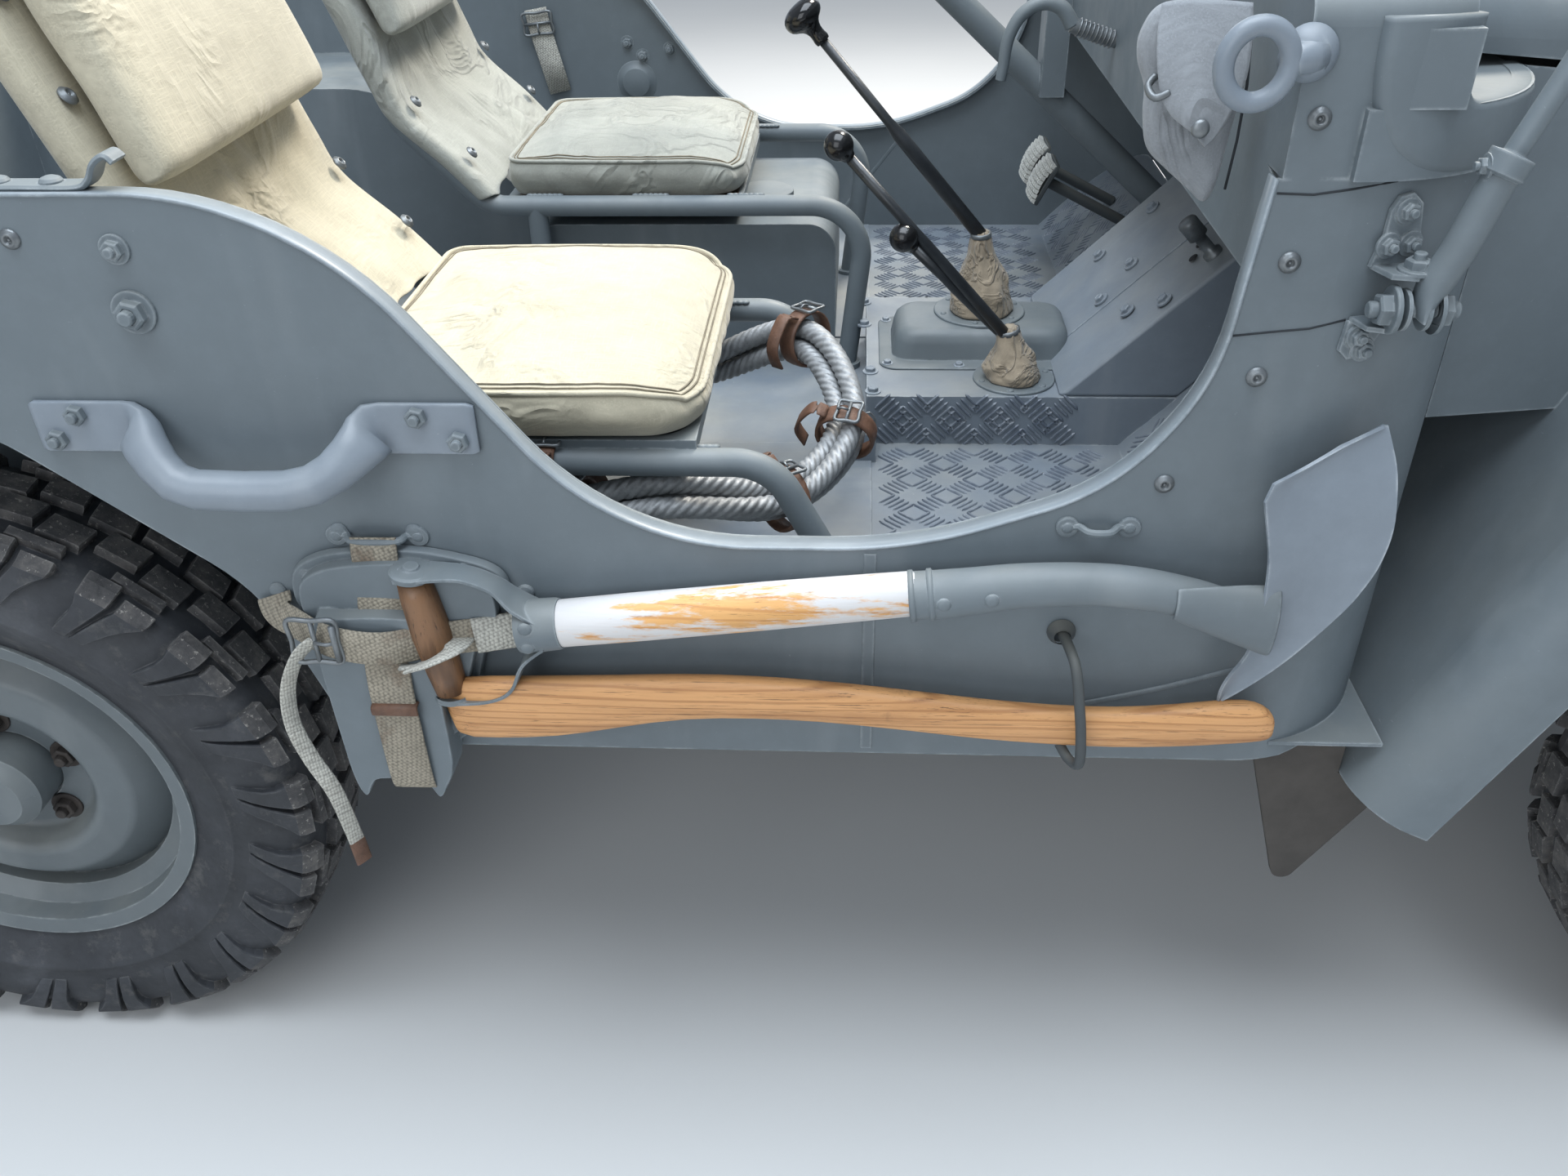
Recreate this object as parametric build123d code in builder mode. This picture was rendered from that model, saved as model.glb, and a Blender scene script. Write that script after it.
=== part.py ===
"""Light open army 4x4 car, as an assembly of separate sub-parts, in millimetres.

+X points forward, +Y to the car's left and +Z up. The origin is on the ground, in the middle of the
car's length and width. Places along the car are set from the rear axle or the front axle.
"""

import math
import os

from build123d import *

os.makedirs("parts", exist_ok=True)

# Overall layout
WHEELBASE = 2057.0
REAR_OVERHANG = 854.0
FRONT_OVERHANG = 610.0
TRACK = 1245.0
HALF_WIDTH = 730.0
TYRE_RADIUS = 365.0
TYRE_WIDTH = 159.0

LENGTH = REAR_OVERHANG + WHEELBASE + FRONT_OVERHANG
REAR_AXLE_X = REAR_OVERHANG - LENGTH / 2
FRONT_AXLE_X = REAR_AXLE_X + WHEELBASE
TAIL_X = REAR_AXLE_X - REAR_OVERHANG
NOSE_X = FRONT_AXLE_X + FRONT_OVERHANG
WHEEL_Y = TRACK / 2
AXLE_Z = TYRE_RADIUS

# Sheet metal and running clearances
SHEET = 4.0
FLANGE = 22.0
FIT = 0.3
RUNNING = 0.05

# Stations of the tub, ahead of the rear axle
REAR_PANEL_X = REAR_AXLE_X - 590.0
DASH_X = REAR_AXLE_X + 1238.0
COWL_FACE_X = REAR_AXLE_X + 1350.0
FIREWALL_X = REAR_AXLE_X + 1440.0
COWL_CORNER_R = 147.0
TAIL_CORNER_R = 60.0
CORNER_LEAD = 2.0
TAIL_LAMP_Y = 600.0
TAIL_LAMP_Z = 640.0
TAIL_LAMP_R = 36.0
TAIL_FLAT = HALF_WIDTH - TAIL_CORNER_R - CORNER_LEAD
COWL_FLAT = HALF_WIDTH - COWL_CORNER_R - CORNER_LEAD

# Heights of the tub
SILL_Z = 491.0
TAIL_SKIRT_Z = 505.0
TAIL_PANEL_Z = 526.0
FLOOR_Z = 540.0
RAIL_Z = 1031.0
COWL_SEAM_Z = 1040.0
COWL_SHELF_Z = 1089.0
COWL_TOP_Z = 1165.0
DASH_LOW_Z = 955.0
STEP_Z = 512.0

# Door cut-out, between the rear rail and the cowl
CUTOUT_LOW_Z = 723.0
CUTOUT_POINTS = (  # ahead of rear axle, height, corner radius
    (497.0, RAIL_Z, 262.0),
    (728.0, CUTOUT_LOW_Z, 240.0),
    (985.0, CUTOUT_LOW_Z, 400.0),
    (1150.0, 783.0, 190.0),
    (1218.0, 880.0, 190.0),
)

# Rear wheel arch
ARCH_TOP_Z = 850.0
ARCH_POINTS = (  # ahead of rear axle, height, corner radius
    (450.0, SILL_Z, 0.0),
    (392.0, 672.0, 150.0),
    (170.0, ARCH_TOP_Z, 200.0),
    (-170.0, ARCH_TOP_Z, 200.0),
    (-392.0, 672.0, 150.0),
    (-450.0, TAIL_SKIRT_Z, 0.0),
)
WHEELHOUSE_Y = 440.0

# Floor, tunnel and toe board
TUNNEL_HALF = 174.0
TUNNEL_Z = 607.0
TUNNEL_REAR_X = REAR_AXLE_X + 950.0
TOE_X = REAR_AXLE_X + 1277.0
TOE_TOP_Z = 704.0

# Raised rim around the rear corner of the hood opening
RIM_PROUD = 8.0
RIM_BAND = 50.0
RIM_DEPTH = 24.0
RIM_LEAD = 8.0
COWL_EDGE_R = 24.0
DASH_CORNER_R = 40.0

# Ribs of the rear panel and the floor
RIB_Y = 300.0
RIB_WIDTH = 60.0
RIB_DEPTH = 14.0
RAIL_LIP = 24.0
FLOOR_RIBS_Y = (-300.0, -100.0, 100.0, 300.0)
FLOOR_RIB_X = REAR_AXLE_X
FLOOR_RIB_LENGTH = 900.0
FLOOR_RIB_WIDTH = 36.0
FLOOR_RIB_HEIGHT = 6.0

# Hood, apron and grille
HOOD_REAR_X = COWL_FACE_X + 6.0
HOOD_FRONT_X = FRONT_AXLE_X + 205.0
HOOD_REAR_HALF = 610.0
HOOD_FRONT_HALF = 462.0
HOOD_REAR_LOW_Z = COWL_SHELF_Z + 16.0
HOOD_FRONT_LOW_Z = 1002.0
HOOD_REAR_TOP_Z = COWL_TOP_Z + 1.0
HOOD_FRONT_TOP_Z = 1094.0
HOOD_CROWN = 12.0
HOOD_CROWN_R = 6000.0
HOOD_EDGE_R = 40.0
HOOD_NOSE_R = 30.0
HOOD_GAP = 6.0
GRILLE_X = FRONT_AXLE_X + 228.0
GRILLE_LOW_Z = 560.0
GRILLE_TOP_Z = HOOD_FRONT_LOW_Z - HOOD_GAP
GRILLE_EDGE_R = 18.0
GRILLE_DEPTH = 30.0
GRILLE_CORNER = (56.0, 112.0)  # cut across and up, clear of the steered tyres
SLOT_COUNT = 9
SLOT_WIDTH = 28.0
SLOT_PITCH = 46.0
SLOT_LOW_Z = 640.0
SLOT_TOP_Z = 930.0
LAMP_Y = 346.0
LAMP_Z = 862.0
LAMP_R = 88.0
MARKER_Y = 346.0
MARKER_Z = 690.0
MARKER_R = 34.0
LAMP_BEZEL = 9.0
LAMP_BEZEL_DEPTH = 10.0

# Where the hood's side passes the firewall
HOOD_TAPER = (HOOD_REAR_HALF - HOOD_FRONT_HALF) / (HOOD_FRONT_X - HOOD_REAR_X)
HOOD_DROP = (HOOD_REAR_LOW_Z - HOOD_FRONT_LOW_Z) / (HOOD_FRONT_X - HOOD_REAR_X)
HOOD_SIDE_AT_FIREWALL = HOOD_REAR_HALF - HOOD_TAPER * (FIREWALL_X - HOOD_REAR_X)
HOOD_LOW_AT_FIREWALL = HOOD_REAR_LOW_Z - HOOD_DROP * (FIREWALL_X - HOOD_REAR_X)

# Front fenders
FENDER_OUTER_Y = 762.0
FENDER_SKIRT = 80.0
FENDER_EDGE_R = 55.0
FENDER_TOP_Z = 915.0
FENDER_FOOT = (FIREWALL_X - 26.0, 457.0)
FENDER_INNER_Y = 398.0
APRON_SHELF_Z = 792.0

# Frame
GEARBOX_LOW_Z = 445.0
RAIL_OUTER_Y = 372.0
RAIL_DEPTH = 100.0
RAIL_FLANGE = 45.0
RAIL_TOP_Z = 525.0
RAIL_WALL = 5.0
FRAME_REAR_X = REAR_PANEL_X - 30.0
BUMPER_HALF = 640.0
BUMPER_LOW_Z = 440.0
BUMPER_TOP_Z = 585.0
BUMPER_DEPTH = 60.0
BUMPER_WALL = 6.0
SHACKLE_Y = 340.0
SHACKLE_R = 20.0
SHACKLE_BORE_R = 14.0
SHACKLE_BAR = 18.0
REAR_BUMPER_X = FRAME_REAR_X - 70.0
REAR_BUMPER_INNER_Y = 250.0
REAR_BUMPER_OUTER_Y = 620.0
REAR_BUMPER_LOW_Z = 430.0
REAR_BUMPER_HEIGHT = 90.0
REAR_BUMPER_R = 45.0
PINTLE_Z = 470.0
PINTLE_WIDTH = 40.0
PINTLE_BAR = 22.0
CROSS_MEMBERS = (  # ahead of rear axle, height of the top, depth
    (-590.0, RAIL_TOP_Z - RAIL_WALL, 70.0),
    (-250.0, RAIL_TOP_Z - RAIL_WALL, 70.0),
    (560.0, RAIL_TOP_Z - RAIL_WALL, 70.0),
    (1150.0, GEARBOX_LOW_Z - FIT, 30.0),
    (WHEELBASE + 340.0, RAIL_TOP_Z - RAIL_WALL, 70.0),
)
BODY_MOUNTS_X = (-520.0, 100.0, 700.0, 1230.0)
BODY_MOUNT_R = 20.0
CROSS_MEMBER_WIDTH = 60.0
EAR = 6.0
EYE_R = 18.0

# Wheels
RIM_FLANGE_R = 220.0
TYRE_BORE_R = 208.5
HUB_R = 50.0
SPINDLE_R = 22.0
SPINDLE_LENGTH = 40.0
DISC_FACE = 14.0
HUB_FACE = 58.0
RIM_HALF = 62.0
RIM_SEAT_R = 203.0
RIM_WELL_R = 180.0
RIM_WALL = 5.0
TREAD_HALF = 62.5
DRUM_R = 115.0

# Axles and springs
TUBE_R = 35.0
DIFF_WIDTH = 170.0
PINION_REACH = 160.0
SHAFT_R = 25.0
YOKE = 45.0
PAD_LENGTH = 60.0
BACKING = 6.0
DIFF_Y = -165.0
DIFF_R = 115.0
KINGPIN_Y = 545.0
BALL_R = 58.0
KNUCKLE_GAP = 2.0
CUP_R = 72.0
CUP_BACK = 15.0
KNUCKLE_OUT = 58.0
SPINDLE_STOP = KINGPIN_Y + KNUCKLE_OUT + FIT - WHEEL_Y
REAR_FLANGE_Y = KINGPIN_Y + KNUCKLE_OUT
TIE_END_Y = 500.0
TIE_BAR_R = 11.0
TIE_EYE_R = 18.0
ARM_WIDTH = 30.0
ARM_THICKNESS = 12.0
LEAF_STEP = 0.17
SPRING_Y = 349.0
SPRING_WIDTH = 44.0
SPRING_HALF_LENGTH = 460.0
SPRING_CAMBER = 62.0
LEAF = 9.0
LEAF_COUNT = 5
SPRING_TOP_Z = AXLE_Z - TUBE_R - 8.0
SPRING_EYE_Z = SPRING_TOP_Z + SPRING_CAMBER
TIE_ARM = 160.0
TIE_Z = 400.0

# Seats
TUBE_SEAT_R = 14.0
SEAT_HALF = 195.0
DRIVER_Y = 270.0
PASSENGER_Y = -400.0
DRIVER_TUBE_Z = 776.0
PASSENGER_TUBE_Z = 735.0
DRIVER_CUSHION_Z = 850.0
PASSENGER_CUSHION_Z = 828.0
PASSENGER_PIVOT = (945.0, 562.0)
FOOT_EYE = 32.0
FOOT_EYE_R = 16.0
SEAT_REAR = 442.0
BOARD = 15.0
CUSHION_HALF = 190.0
SLING = 5.0
SLING_POINTS = ((437.0, 800.0), (334.0, 902.0), (246.0, 1150.0))
PAD = 55.0
PAD_POINTS = ((334.0, 1004.0), (255.0, 1226.0))

# Steering
STEERING_Y = 350.0
STEERING_WHEEL_X = REAR_AXLE_X + 763.0
STEERING_WHEEL_Z = 1265.0
STEERING_R = 209.0
STEERING_RIM_R = 11.0
SPOKE_R = 6.0
HUB_DROP = 40.0
COLUMN_FOOT_X = REAR_AXLE_X + 1423.0
COLUMN_FOOT_Z = 681.0
COLUMN_R = 20.0
STEERING_BOX_Z = 580.0

# Pedals, levers and brake handle
PEDALS_Y = (430.0, 540.0)
PEDAL_X = REAR_AXLE_X + 1222.0
PEDAL_Z = 716.0
PEDAL_FOOT_X = REAR_AXLE_X + 1370.0
PEDAL_ROD_R = 9.0
PEDAL_LIFT = 3.1
ACCELERATOR_Y = 300.0
ACCELERATOR_X = TOE_X + 12.0
TOWER_X = REAR_AXLE_X + 1085.0
TOWER_LENGTH = 210.0
TOWER_HALF = 60.0
TOWER_HEIGHT = 42.0
TOWER_TOP_Z = TUNNEL_Z + FIT + TOWER_HEIGHT
LEVER_R = 8.0
KNOB_R = 18.0
BOOTS = (  # place, height of the base, boot's height and base radius
    (REAR_AXLE_X + 1116.0, 0.0, TOWER_TOP_Z, 108.0, 40.0),
    (REAR_AXLE_X + 1147.0, -124.0, TUNNEL_Z + FIT, 62.0, 34.0),
)
LEVERS = (  # foot inside the boot, knob
    ((REAR_AXLE_X + 1116.0, 0.0, 740.0), (REAR_AXLE_X + 867.0, 0.0, 1024.0)),
    ((REAR_AXLE_X + 1152.0, -134.0, 645.0), (REAR_AXLE_X + 912.0, -160.0, 917.0)),
    ((REAR_AXLE_X + 1138.0, -113.0, 645.0), (REAR_AXLE_X + 991.0, -160.0, 800.0)),
)
BRAKE_Y = -30.0
BRAKE_Z = 1010.0
BRAKE_REACH = 108.0

# Windshield and hood hinges
WINDSHIELD_X = REAR_AXLE_X + 1290.0
WINDSHIELD_Z = COWL_TOP_Z + 27.0
WINDSHIELD_HALF = 612.0
WINDSHIELD_HEIGHT = 530.0
WINDSHIELD_DEPTH = 25.0
WINDSHIELD_DROP = 20.0
PANE_MID_Y = 293.0
PANE_WIDTH = 530.0
PANE_LOW_Z = WINDSHIELD_Z + 75.0
PANE_HEIGHT = 385.0
GLASS = 5.0
HINGE_PIN_R = 8.0
HINGE_GAP = 2.0
HINGE_EAR_R = 16.0
HOOD_PIVOT_X = COWL_FACE_X + 3.0
HOOD_PIVOT_Z = COWL_TOP_Z + 7.0
HOOD_HINGE_Y = 210.0
BARREL_R = 6.0
BARREL_LENGTH = 60.0
HOOD_LEAF = 50.0

# Handles, tools, rope, flaps and mirrors
HANDLE_Z = 837.0
HANDLE_PLATE = 6.0
HANDLE_R = 15.0
RING_X = 1190.0
RING_Y = HALF_WIDTH + 16.0
RING_Z = 1110.0
RING_R = 37.5
RING_BAR_R = 12.5
TOOL_Y = HALF_WIDTH + 28.0
HELVE = 26.0
SHOVEL_R = 20.0
BLADE = 4.0
BLADE_POINTS = (  # ahead of rear axle, height, corner radius
    (1240.0, 705.0, 10.0),
    (1279.0, 742.0, 20.0),
    (1260.0, 808.0, 12.0),
    (1352.0, 858.0, 40.0),
    (1372.0, 770.0, 90.0),
    (1340.0, 680.0, 90.0),
    (1262.0, 574.0, 12.0),
    (1279.0, 645.0, 20.0),
    (1240.0, 670.0, 10.0),
)
SHEATH = 44.0
HOOK_Y = HALF_WIDTH + 48.0
HOOK_R = 5.0
ROPE_BUNDLE_R = 32.0
ROPE_POINTS = (  # ahead of rear axle, across, height
    (640.0, -300.0, 655.0),
    (760.0, -262.0, 690.0),
    (880.0, -300.0, 738.0),
    (928.0, -415.0, 690.0),
    (865.0, -520.0, 655.0),
    (740.0, -585.0, 688.0),
    (600.0, -560.0, 655.0),
    (550.0, -450.0, 645.0),
    (585.0, -365.0, 648.0),
)
ROPE_RADII = [120.0, 60.0, 60.0, 70.0, 100.0, 60.0, 50.0]
FLAP_Y = HALF_WIDTH - 30.0
FLAP = 8.0
MIRROR_STRAP = 5.0
MIRROR_ARM_R = 9.0
MIRROR_R = 68.0
MIRROR_Z = 1290.0

TANK_REAR_X = REAR_AXLE_X + 470.0
TANK_FRONT_X = REAR_AXLE_X + 905.0
TANK_HALF = 170.0
TANK_TOP_Z = 742.0
TANK_EDGE_R = 40.0

# Power train blocks: lowest and highest corners
ENGINE_BLOCKS = (
    ((FIREWALL_X + 40.0, -150.0, 500.0), (FRONT_AXLE_X + 60.0, 170.0, 960.0)),
    ((REAR_AXLE_X + 1000.0, -125.0, GEARBOX_LOW_Z), (FIREWALL_X + 40.0, 125.0, TUNNEL_Z - SHEET - 8.0)),
    ((REAR_AXLE_X + 820.0, -235.0, 345.0), (REAR_AXLE_X + 1000.0, 60.0, 520.0)),
)
RADIATOR_X = FRONT_AXLE_X + 150.0
RADIATOR_DEPTH = 55.0
RADIATOR_HALF = 250.0
RADIATOR_LOW_Z = 570.0
RADIATOR_TOP_Z = 985.0

SPARE_X = TAIL_X + TYRE_WIDTH / 2
SPARE_Y = -330.0
SPARE_Z = 850.0
SPARE_REACH = REAR_PANEL_X - SPARE_X + DISC_FACE - RIM_WALL / 2 - FIT
CARRIER_ARM = 300.0
CARRIER_BAND = 90.0
CARRIER_PLATE = 8.0


def wheel_plane(x, y, outward):
    """Local x is radial and local y points outward along the wheel's axis."""
    return Plane(origin=(x, y, AXLE_Z), x_dir=(1, 0, 0), z_dir=(0, 0, outward))


def side_plane(y):
    """A plane across the car's width, seen from the right: local x forward, local y up."""
    return Plane.XZ.offset(-y)


def cross_plane(x):
    """A plane across the car's length: local x to the left, local y up."""
    return Plane.YZ.offset(x)


def closed_outline(points, mode=Mode.ADD):
    """A closed face from (x, height, corner radius) rows, in the sketch being drawn."""
    with BuildLine() as outline:
        FilletPolyline(*[(x, z) for x, z, _ in points], radius=[r for _, _, r in points], close=True)
    make_face(outline.edges(), mode=mode)


def finish(piece, label):
    piece.part.label = label
    export_step(piece.part, f"parts/{label}.step")


def swept_tube(points, radii, radius):
    """A round bar along straight runs joined by tangent arcs, added to the part being built."""
    with BuildLine() as route:
        FilletPolyline(*points, radius=radii)
    with BuildSketch(Plane(origin=route.line @ 0, z_dir=route.line % 0)) as section:
        Circle(radius)
    sweep(section.sketch, path=route.line)


def turned(centre, direction, rows, mode=Mode.ADD):
    """A turned piece from (distance along its axis, radius) rows."""
    along = Vector(*direction)
    across = Vector(0, 0, 1).cross(along) if abs(along.Z) < 1 else Vector(1, 0, 0)
    with BuildSketch(Plane(origin=centre, x_dir=along, z_dir=along.cross(across))) as section:
        with BuildLine() as edge:
            Polyline((rows[0][0], 0), *rows, (rows[-1][0], 0), close=True)
        make_face(edge.edges())
    revolve(section.sketch, axis=Axis(centre, direction), mode=mode)


def from_rear(rows):
    """Rows of (ahead of rear axle, height, radius) moved to the car's frame."""
    return [(REAR_AXLE_X + x, z, r) for x, z, r in rows]


# Tub sides: one sheet that wraps round the tail corner and the cowl corner
def draw_side_outline():
    closed_outline(
        [(REAR_PANEL_X, TAIL_SKIRT_Z, 0), (REAR_PANEL_X, RAIL_Z, 0)]
        + from_rear(CUTOUT_POINTS)
        + [
            (DASH_X - 4.0, COWL_SEAM_Z, 0),
            (FIREWALL_X, COWL_SEAM_Z, 0),
            (FIREWALL_X, STEP_Z, 0),
            (FIREWALL_X - 95.0, SILL_Z, 0),
        ]
        + from_rear(ARCH_POINTS)
    )


def draw_plan_strip(rear_x, proud=0.0, width=SHEET):
    """The right side sheet seen from above, with its two rounded corners."""
    line_y = -(HALF_WIDTH - SHEET / 2 + proud)
    corner = COWL_CORNER_R - SHEET / 2 + proud
    with BuildLine() as strip:
        FilletPolyline(
            (rear_x, -TAIL_FLAT),
            (rear_x, line_y),
            (FIREWALL_X - SHEET / 2 + proud, line_y),
            (FIREWALL_X - SHEET / 2 + proud, -COWL_FLAT),
            radius=[TAIL_CORNER_R - SHEET / 2, corner],
        )
    trace(strip.line, line_width=width)


def draw_plan_inside(inset=SHEET, mode=Mode.ADD):
    """The tub's inside seen from above."""
    rear_x, front_x, side_y = REAR_PANEL_X + inset, FIREWALL_X - inset, HALF_WIDTH - inset
    tail_r, cowl_r = TAIL_CORNER_R - inset, COWL_CORNER_R - inset
    closed_outline(
        [
            (rear_x, -side_y, tail_r),
            (front_x, -side_y, cowl_r),
            (front_x, side_y, cowl_r),
            (rear_x, side_y, tail_r),
        ],
        mode,
    )


with BuildPart() as body_side_right:
    with BuildSketch(Plane.XY.offset(SILL_Z)):
        draw_plan_strip(REAR_PANEL_X + SHEET / 2)
    extrude(amount=COWL_TOP_Z - SILL_Z)
    with BuildSketch(Plane.XZ):
        draw_side_outline()
    extrude(amount=HALF_WIDTH, mode=Mode.INTERSECT)
    with BuildSketch(side_plane(-HALF_WIDTH + SHEET)):
        draw_side_outline()
        offset(amount=-SHEET, mode=Mode.SUBTRACT)
        with Locations((REAR_PANEL_X, SILL_Z)):
            Rectangle(
                FIREWALL_X - COWL_CORNER_R - TAIL_CORNER_R - REAR_PANEL_X,
                2 * COWL_TOP_Z,
                align=(Align.MIN, Align.CENTER),
                mode=Mode.INTERSECT,
            )
        with Locations((REAR_PANEL_X, SILL_Z)):
            Rectangle(2 * TAIL_CORNER_R, 2 * COWL_TOP_Z, mode=Mode.SUBTRACT)
    extrude(amount=SHEET - FLANGE)
    with BuildSketch(Plane.XY.offset(STEP_Z - SHEET)):
        with Locations((FIREWALL_X - SHEET, -HALF_WIDTH + SHEET)):
            Rectangle(106.0, COWL_CORNER_R - SHEET, align=(Align.MAX, Align.MIN))
        draw_plan_inside(0.0, Mode.SUBTRACT)
    extrude(amount=SHEET)
finish(body_side_right, "body_side_right")

with BuildPart() as body_side_left:
    mirror(body_side_right.part, about=Plane.XZ)
finish(body_side_left, "body_side_left")

with BuildPart() as rear_panel:
    with BuildSketch(cross_plane(REAR_PANEL_X)):
        with Locations((0, TAIL_PANEL_Z)):
            Rectangle(
                2 * TAIL_FLAT,
                RAIL_Z - TAIL_PANEL_Z,
                align=(Align.CENTER, Align.MIN),
            )
    extrude(amount=SHEET)
    with BuildSketch(cross_plane(REAR_PANEL_X + SHEET)):
        for rib_y in (-RIB_Y, RIB_Y):
            with Locations((rib_y, (FLOOR_Z + RAIL_Z) / 2)):
                Rectangle(RIB_WIDTH, RAIL_Z - FLOOR_Z)
        with Locations((0, RAIL_Z - RAIL_LIP / 2)):
            Rectangle(2 * TAIL_FLAT, RAIL_LIP)
    extrude(amount=RIB_DEPTH)
    with Locations((REAR_PANEL_X, SPARE_Y, SPARE_Z)):
        for width, height in ((CARRIER_ARM, CARRIER_BAND), (CARRIER_BAND, CARRIER_ARM)):
            Box(CARRIER_PLATE, width, height, align=(Align.MAX, Align.CENTER, Align.CENTER))
    turned((REAR_PANEL_X, SPARE_Y, SPARE_Z), (-1, 0, 0), [(0, HUB_R), (SPARE_REACH, HUB_R)])
finish(rear_panel, "rear_panel")


# Floor, tunnel and toe board as one pressing, with the wheel arches cut away
def draw_arch(grow=0.0, mode=Mode.ADD):
    rows = [
        (ARCH_POINTS[0][0] + grow, ARCH_POINTS[0][1] - ARCH_TOP_Z, 0),
        (ARCH_POINTS[0][0] + grow, ARCH_POINTS[0][1], 0),
        (ARCH_POINTS[1][0] + grow, ARCH_POINTS[1][1] + grow, ARCH_POINTS[1][2] + grow),
        (ARCH_POINTS[2][0], ARCH_POINTS[2][1] + grow, ARCH_POINTS[2][2] + grow),
        (ARCH_POINTS[3][0], ARCH_POINTS[3][1] + grow, ARCH_POINTS[3][2] + grow),
        (ARCH_POINTS[4][0] - grow, ARCH_POINTS[4][1] + grow, ARCH_POINTS[4][2] + grow),
        (ARCH_POINTS[5][0] - grow, ARCH_POINTS[5][1], 0),
        (ARCH_POINTS[5][0] - grow, ARCH_POINTS[5][1] - ARCH_TOP_Z, 0),
    ]
    closed_outline(from_rear(rows), mode)


INSIDE_Y = HALF_WIDTH - SHEET
with BuildPart() as body_floor:
    with BuildLine() as floor_line:
        Polyline(
            (REAR_PANEL_X, FLOOR_Z - SHEET / 2),
            (TOE_X, FLOOR_Z - SHEET / 2),
            (FIREWALL_X, TOE_TOP_Z),
        )
    with BuildSketch(side_plane(-INSIDE_Y)):
        trace(floor_line.line, line_width=SHEET)
    extrude(amount=-2 * INSIDE_Y)
    with BuildSketch(Plane.XY.offset(FLOOR_Z - SHEET)):
        draw_plan_inside(SHEET)
    extrude(amount=COWL_TOP_Z - FLOOR_Z, mode=Mode.INTERSECT)
    for side in (-1, 1):
        with BuildSketch(side_plane(side * WHEELHOUSE_Y)):
            draw_arch(SHEET)
        extrude(amount=-side * HALF_WIDTH, mode=Mode.SUBTRACT)
    with BuildSketch(cross_plane(TUNNEL_REAR_X)):
        with Locations((0, FLOOR_Z - SHEET)):
            Rectangle(2 * TUNNEL_HALF, TUNNEL_Z - FLOOR_Z + SHEET, align=(Align.CENTER, Align.MIN))
    extrude(amount=TOE_X + TUNNEL_Z - FLOOR_Z - TUNNEL_REAR_X)
    with BuildSketch(cross_plane(TUNNEL_REAR_X + SHEET)):
        with Locations((0, FLOOR_Z - 2 * SHEET)):
            Rectangle(
                2 * (TUNNEL_HALF - SHEET),
                TUNNEL_Z - FLOOR_Z + SHEET,
                align=(Align.CENTER, Align.MIN),
            )
    extrude(amount=FIREWALL_X - TUNNEL_REAR_X, mode=Mode.SUBTRACT)
    with BuildSketch(Plane.XY.offset(FLOOR_Z)):
        for rib_y in FLOOR_RIBS_Y:
            with Locations((FLOOR_RIB_X, rib_y)):
                SlotOverall(FLOOR_RIB_LENGTH, FLOOR_RIB_WIDTH)
    extrude(amount=FLOOR_RIB_HEIGHT)
    turned(
        (STEERING_WHEEL_X, STEERING_Y, STEERING_WHEEL_Z),
        tuple(Vector(COLUMN_FOOT_X - STEERING_WHEEL_X, 0, COLUMN_FOOT_Z - STEERING_WHEEL_Z).normalized()),
        [(0, COLUMN_R + 1.0), (1200.0, COLUMN_R + 1.0)],
        Mode.SUBTRACT,
    )
    for side in (-1, 1):
        for face in (-1, 1):
            ear_y = PASSENGER_Y + side * SEAT_HALF + face * (FOOT_EYE / 2 + FIT + EAR / 2)
            with BuildSketch(side_plane(ear_y - EAR / 2)):
                with Locations((REAR_AXLE_X + PASSENGER_PIVOT[0], PASSENGER_PIVOT[1])):
                    Circle(FOOT_EYE_R + 2.0)
                    Rectangle(
                        2 * FOOT_EYE_R + 4.0,
                        PASSENGER_PIVOT[1] - FLOOR_Z + SHEET / 2,
                        align=(Align.CENTER, Align.MAX),
                    )
            extrude(amount=-EAR)
finish(body_floor, "body_floor")

with BuildPart() as wheelhouses:
    for side in (-1, 1):
        with BuildSketch(side_plane(side * (HALF_WIDTH - FLANGE))):
            draw_arch(SHEET)
            draw_arch(0.0, Mode.SUBTRACT)
            with Locations((REAR_AXLE_X, TAIL_SKIRT_Z)):
                Rectangle(2 * HALF_WIDTH, ARCH_TOP_Z, align=(Align.CENTER, Align.MIN), mode=Mode.INTERSECT)
        extrude(amount=side * (HALF_WIDTH - FLANGE - WHEELHOUSE_Y))
        with BuildSketch(side_plane(side * (WHEELHOUSE_Y + SHEET))):
            draw_arch(SHEET)
            with Locations((REAR_AXLE_X, TAIL_SKIRT_Z)):
                Rectangle(2 * HALF_WIDTH, ARCH_TOP_Z, align=(Align.CENTER, Align.MIN), mode=Mode.INTERSECT)
        extrude(amount=side * SHEET)
finish(wheelhouses, "wheelhouses")


# Cowl: a box over the dash with rounded front corners, the dash panel, the shelf and the firewall
def draw_cowl_plan(inset, front_x):
    rear_x, side_y = DASH_X + inset, HALF_WIDTH - inset
    closed_outline(
        [
            (rear_x, -side_y, 0),
            (FIREWALL_X - inset, -side_y, COWL_CORNER_R - inset),
            (FIREWALL_X - inset, side_y, COWL_CORNER_R - inset),
            (rear_x, side_y, 0),
        ]
    )
    with Locations((rear_x, 0)):
        Rectangle(
            front_x - rear_x, 2 * HALF_WIDTH, align=(Align.MIN, Align.CENTER), mode=Mode.INTERSECT
        )


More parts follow.
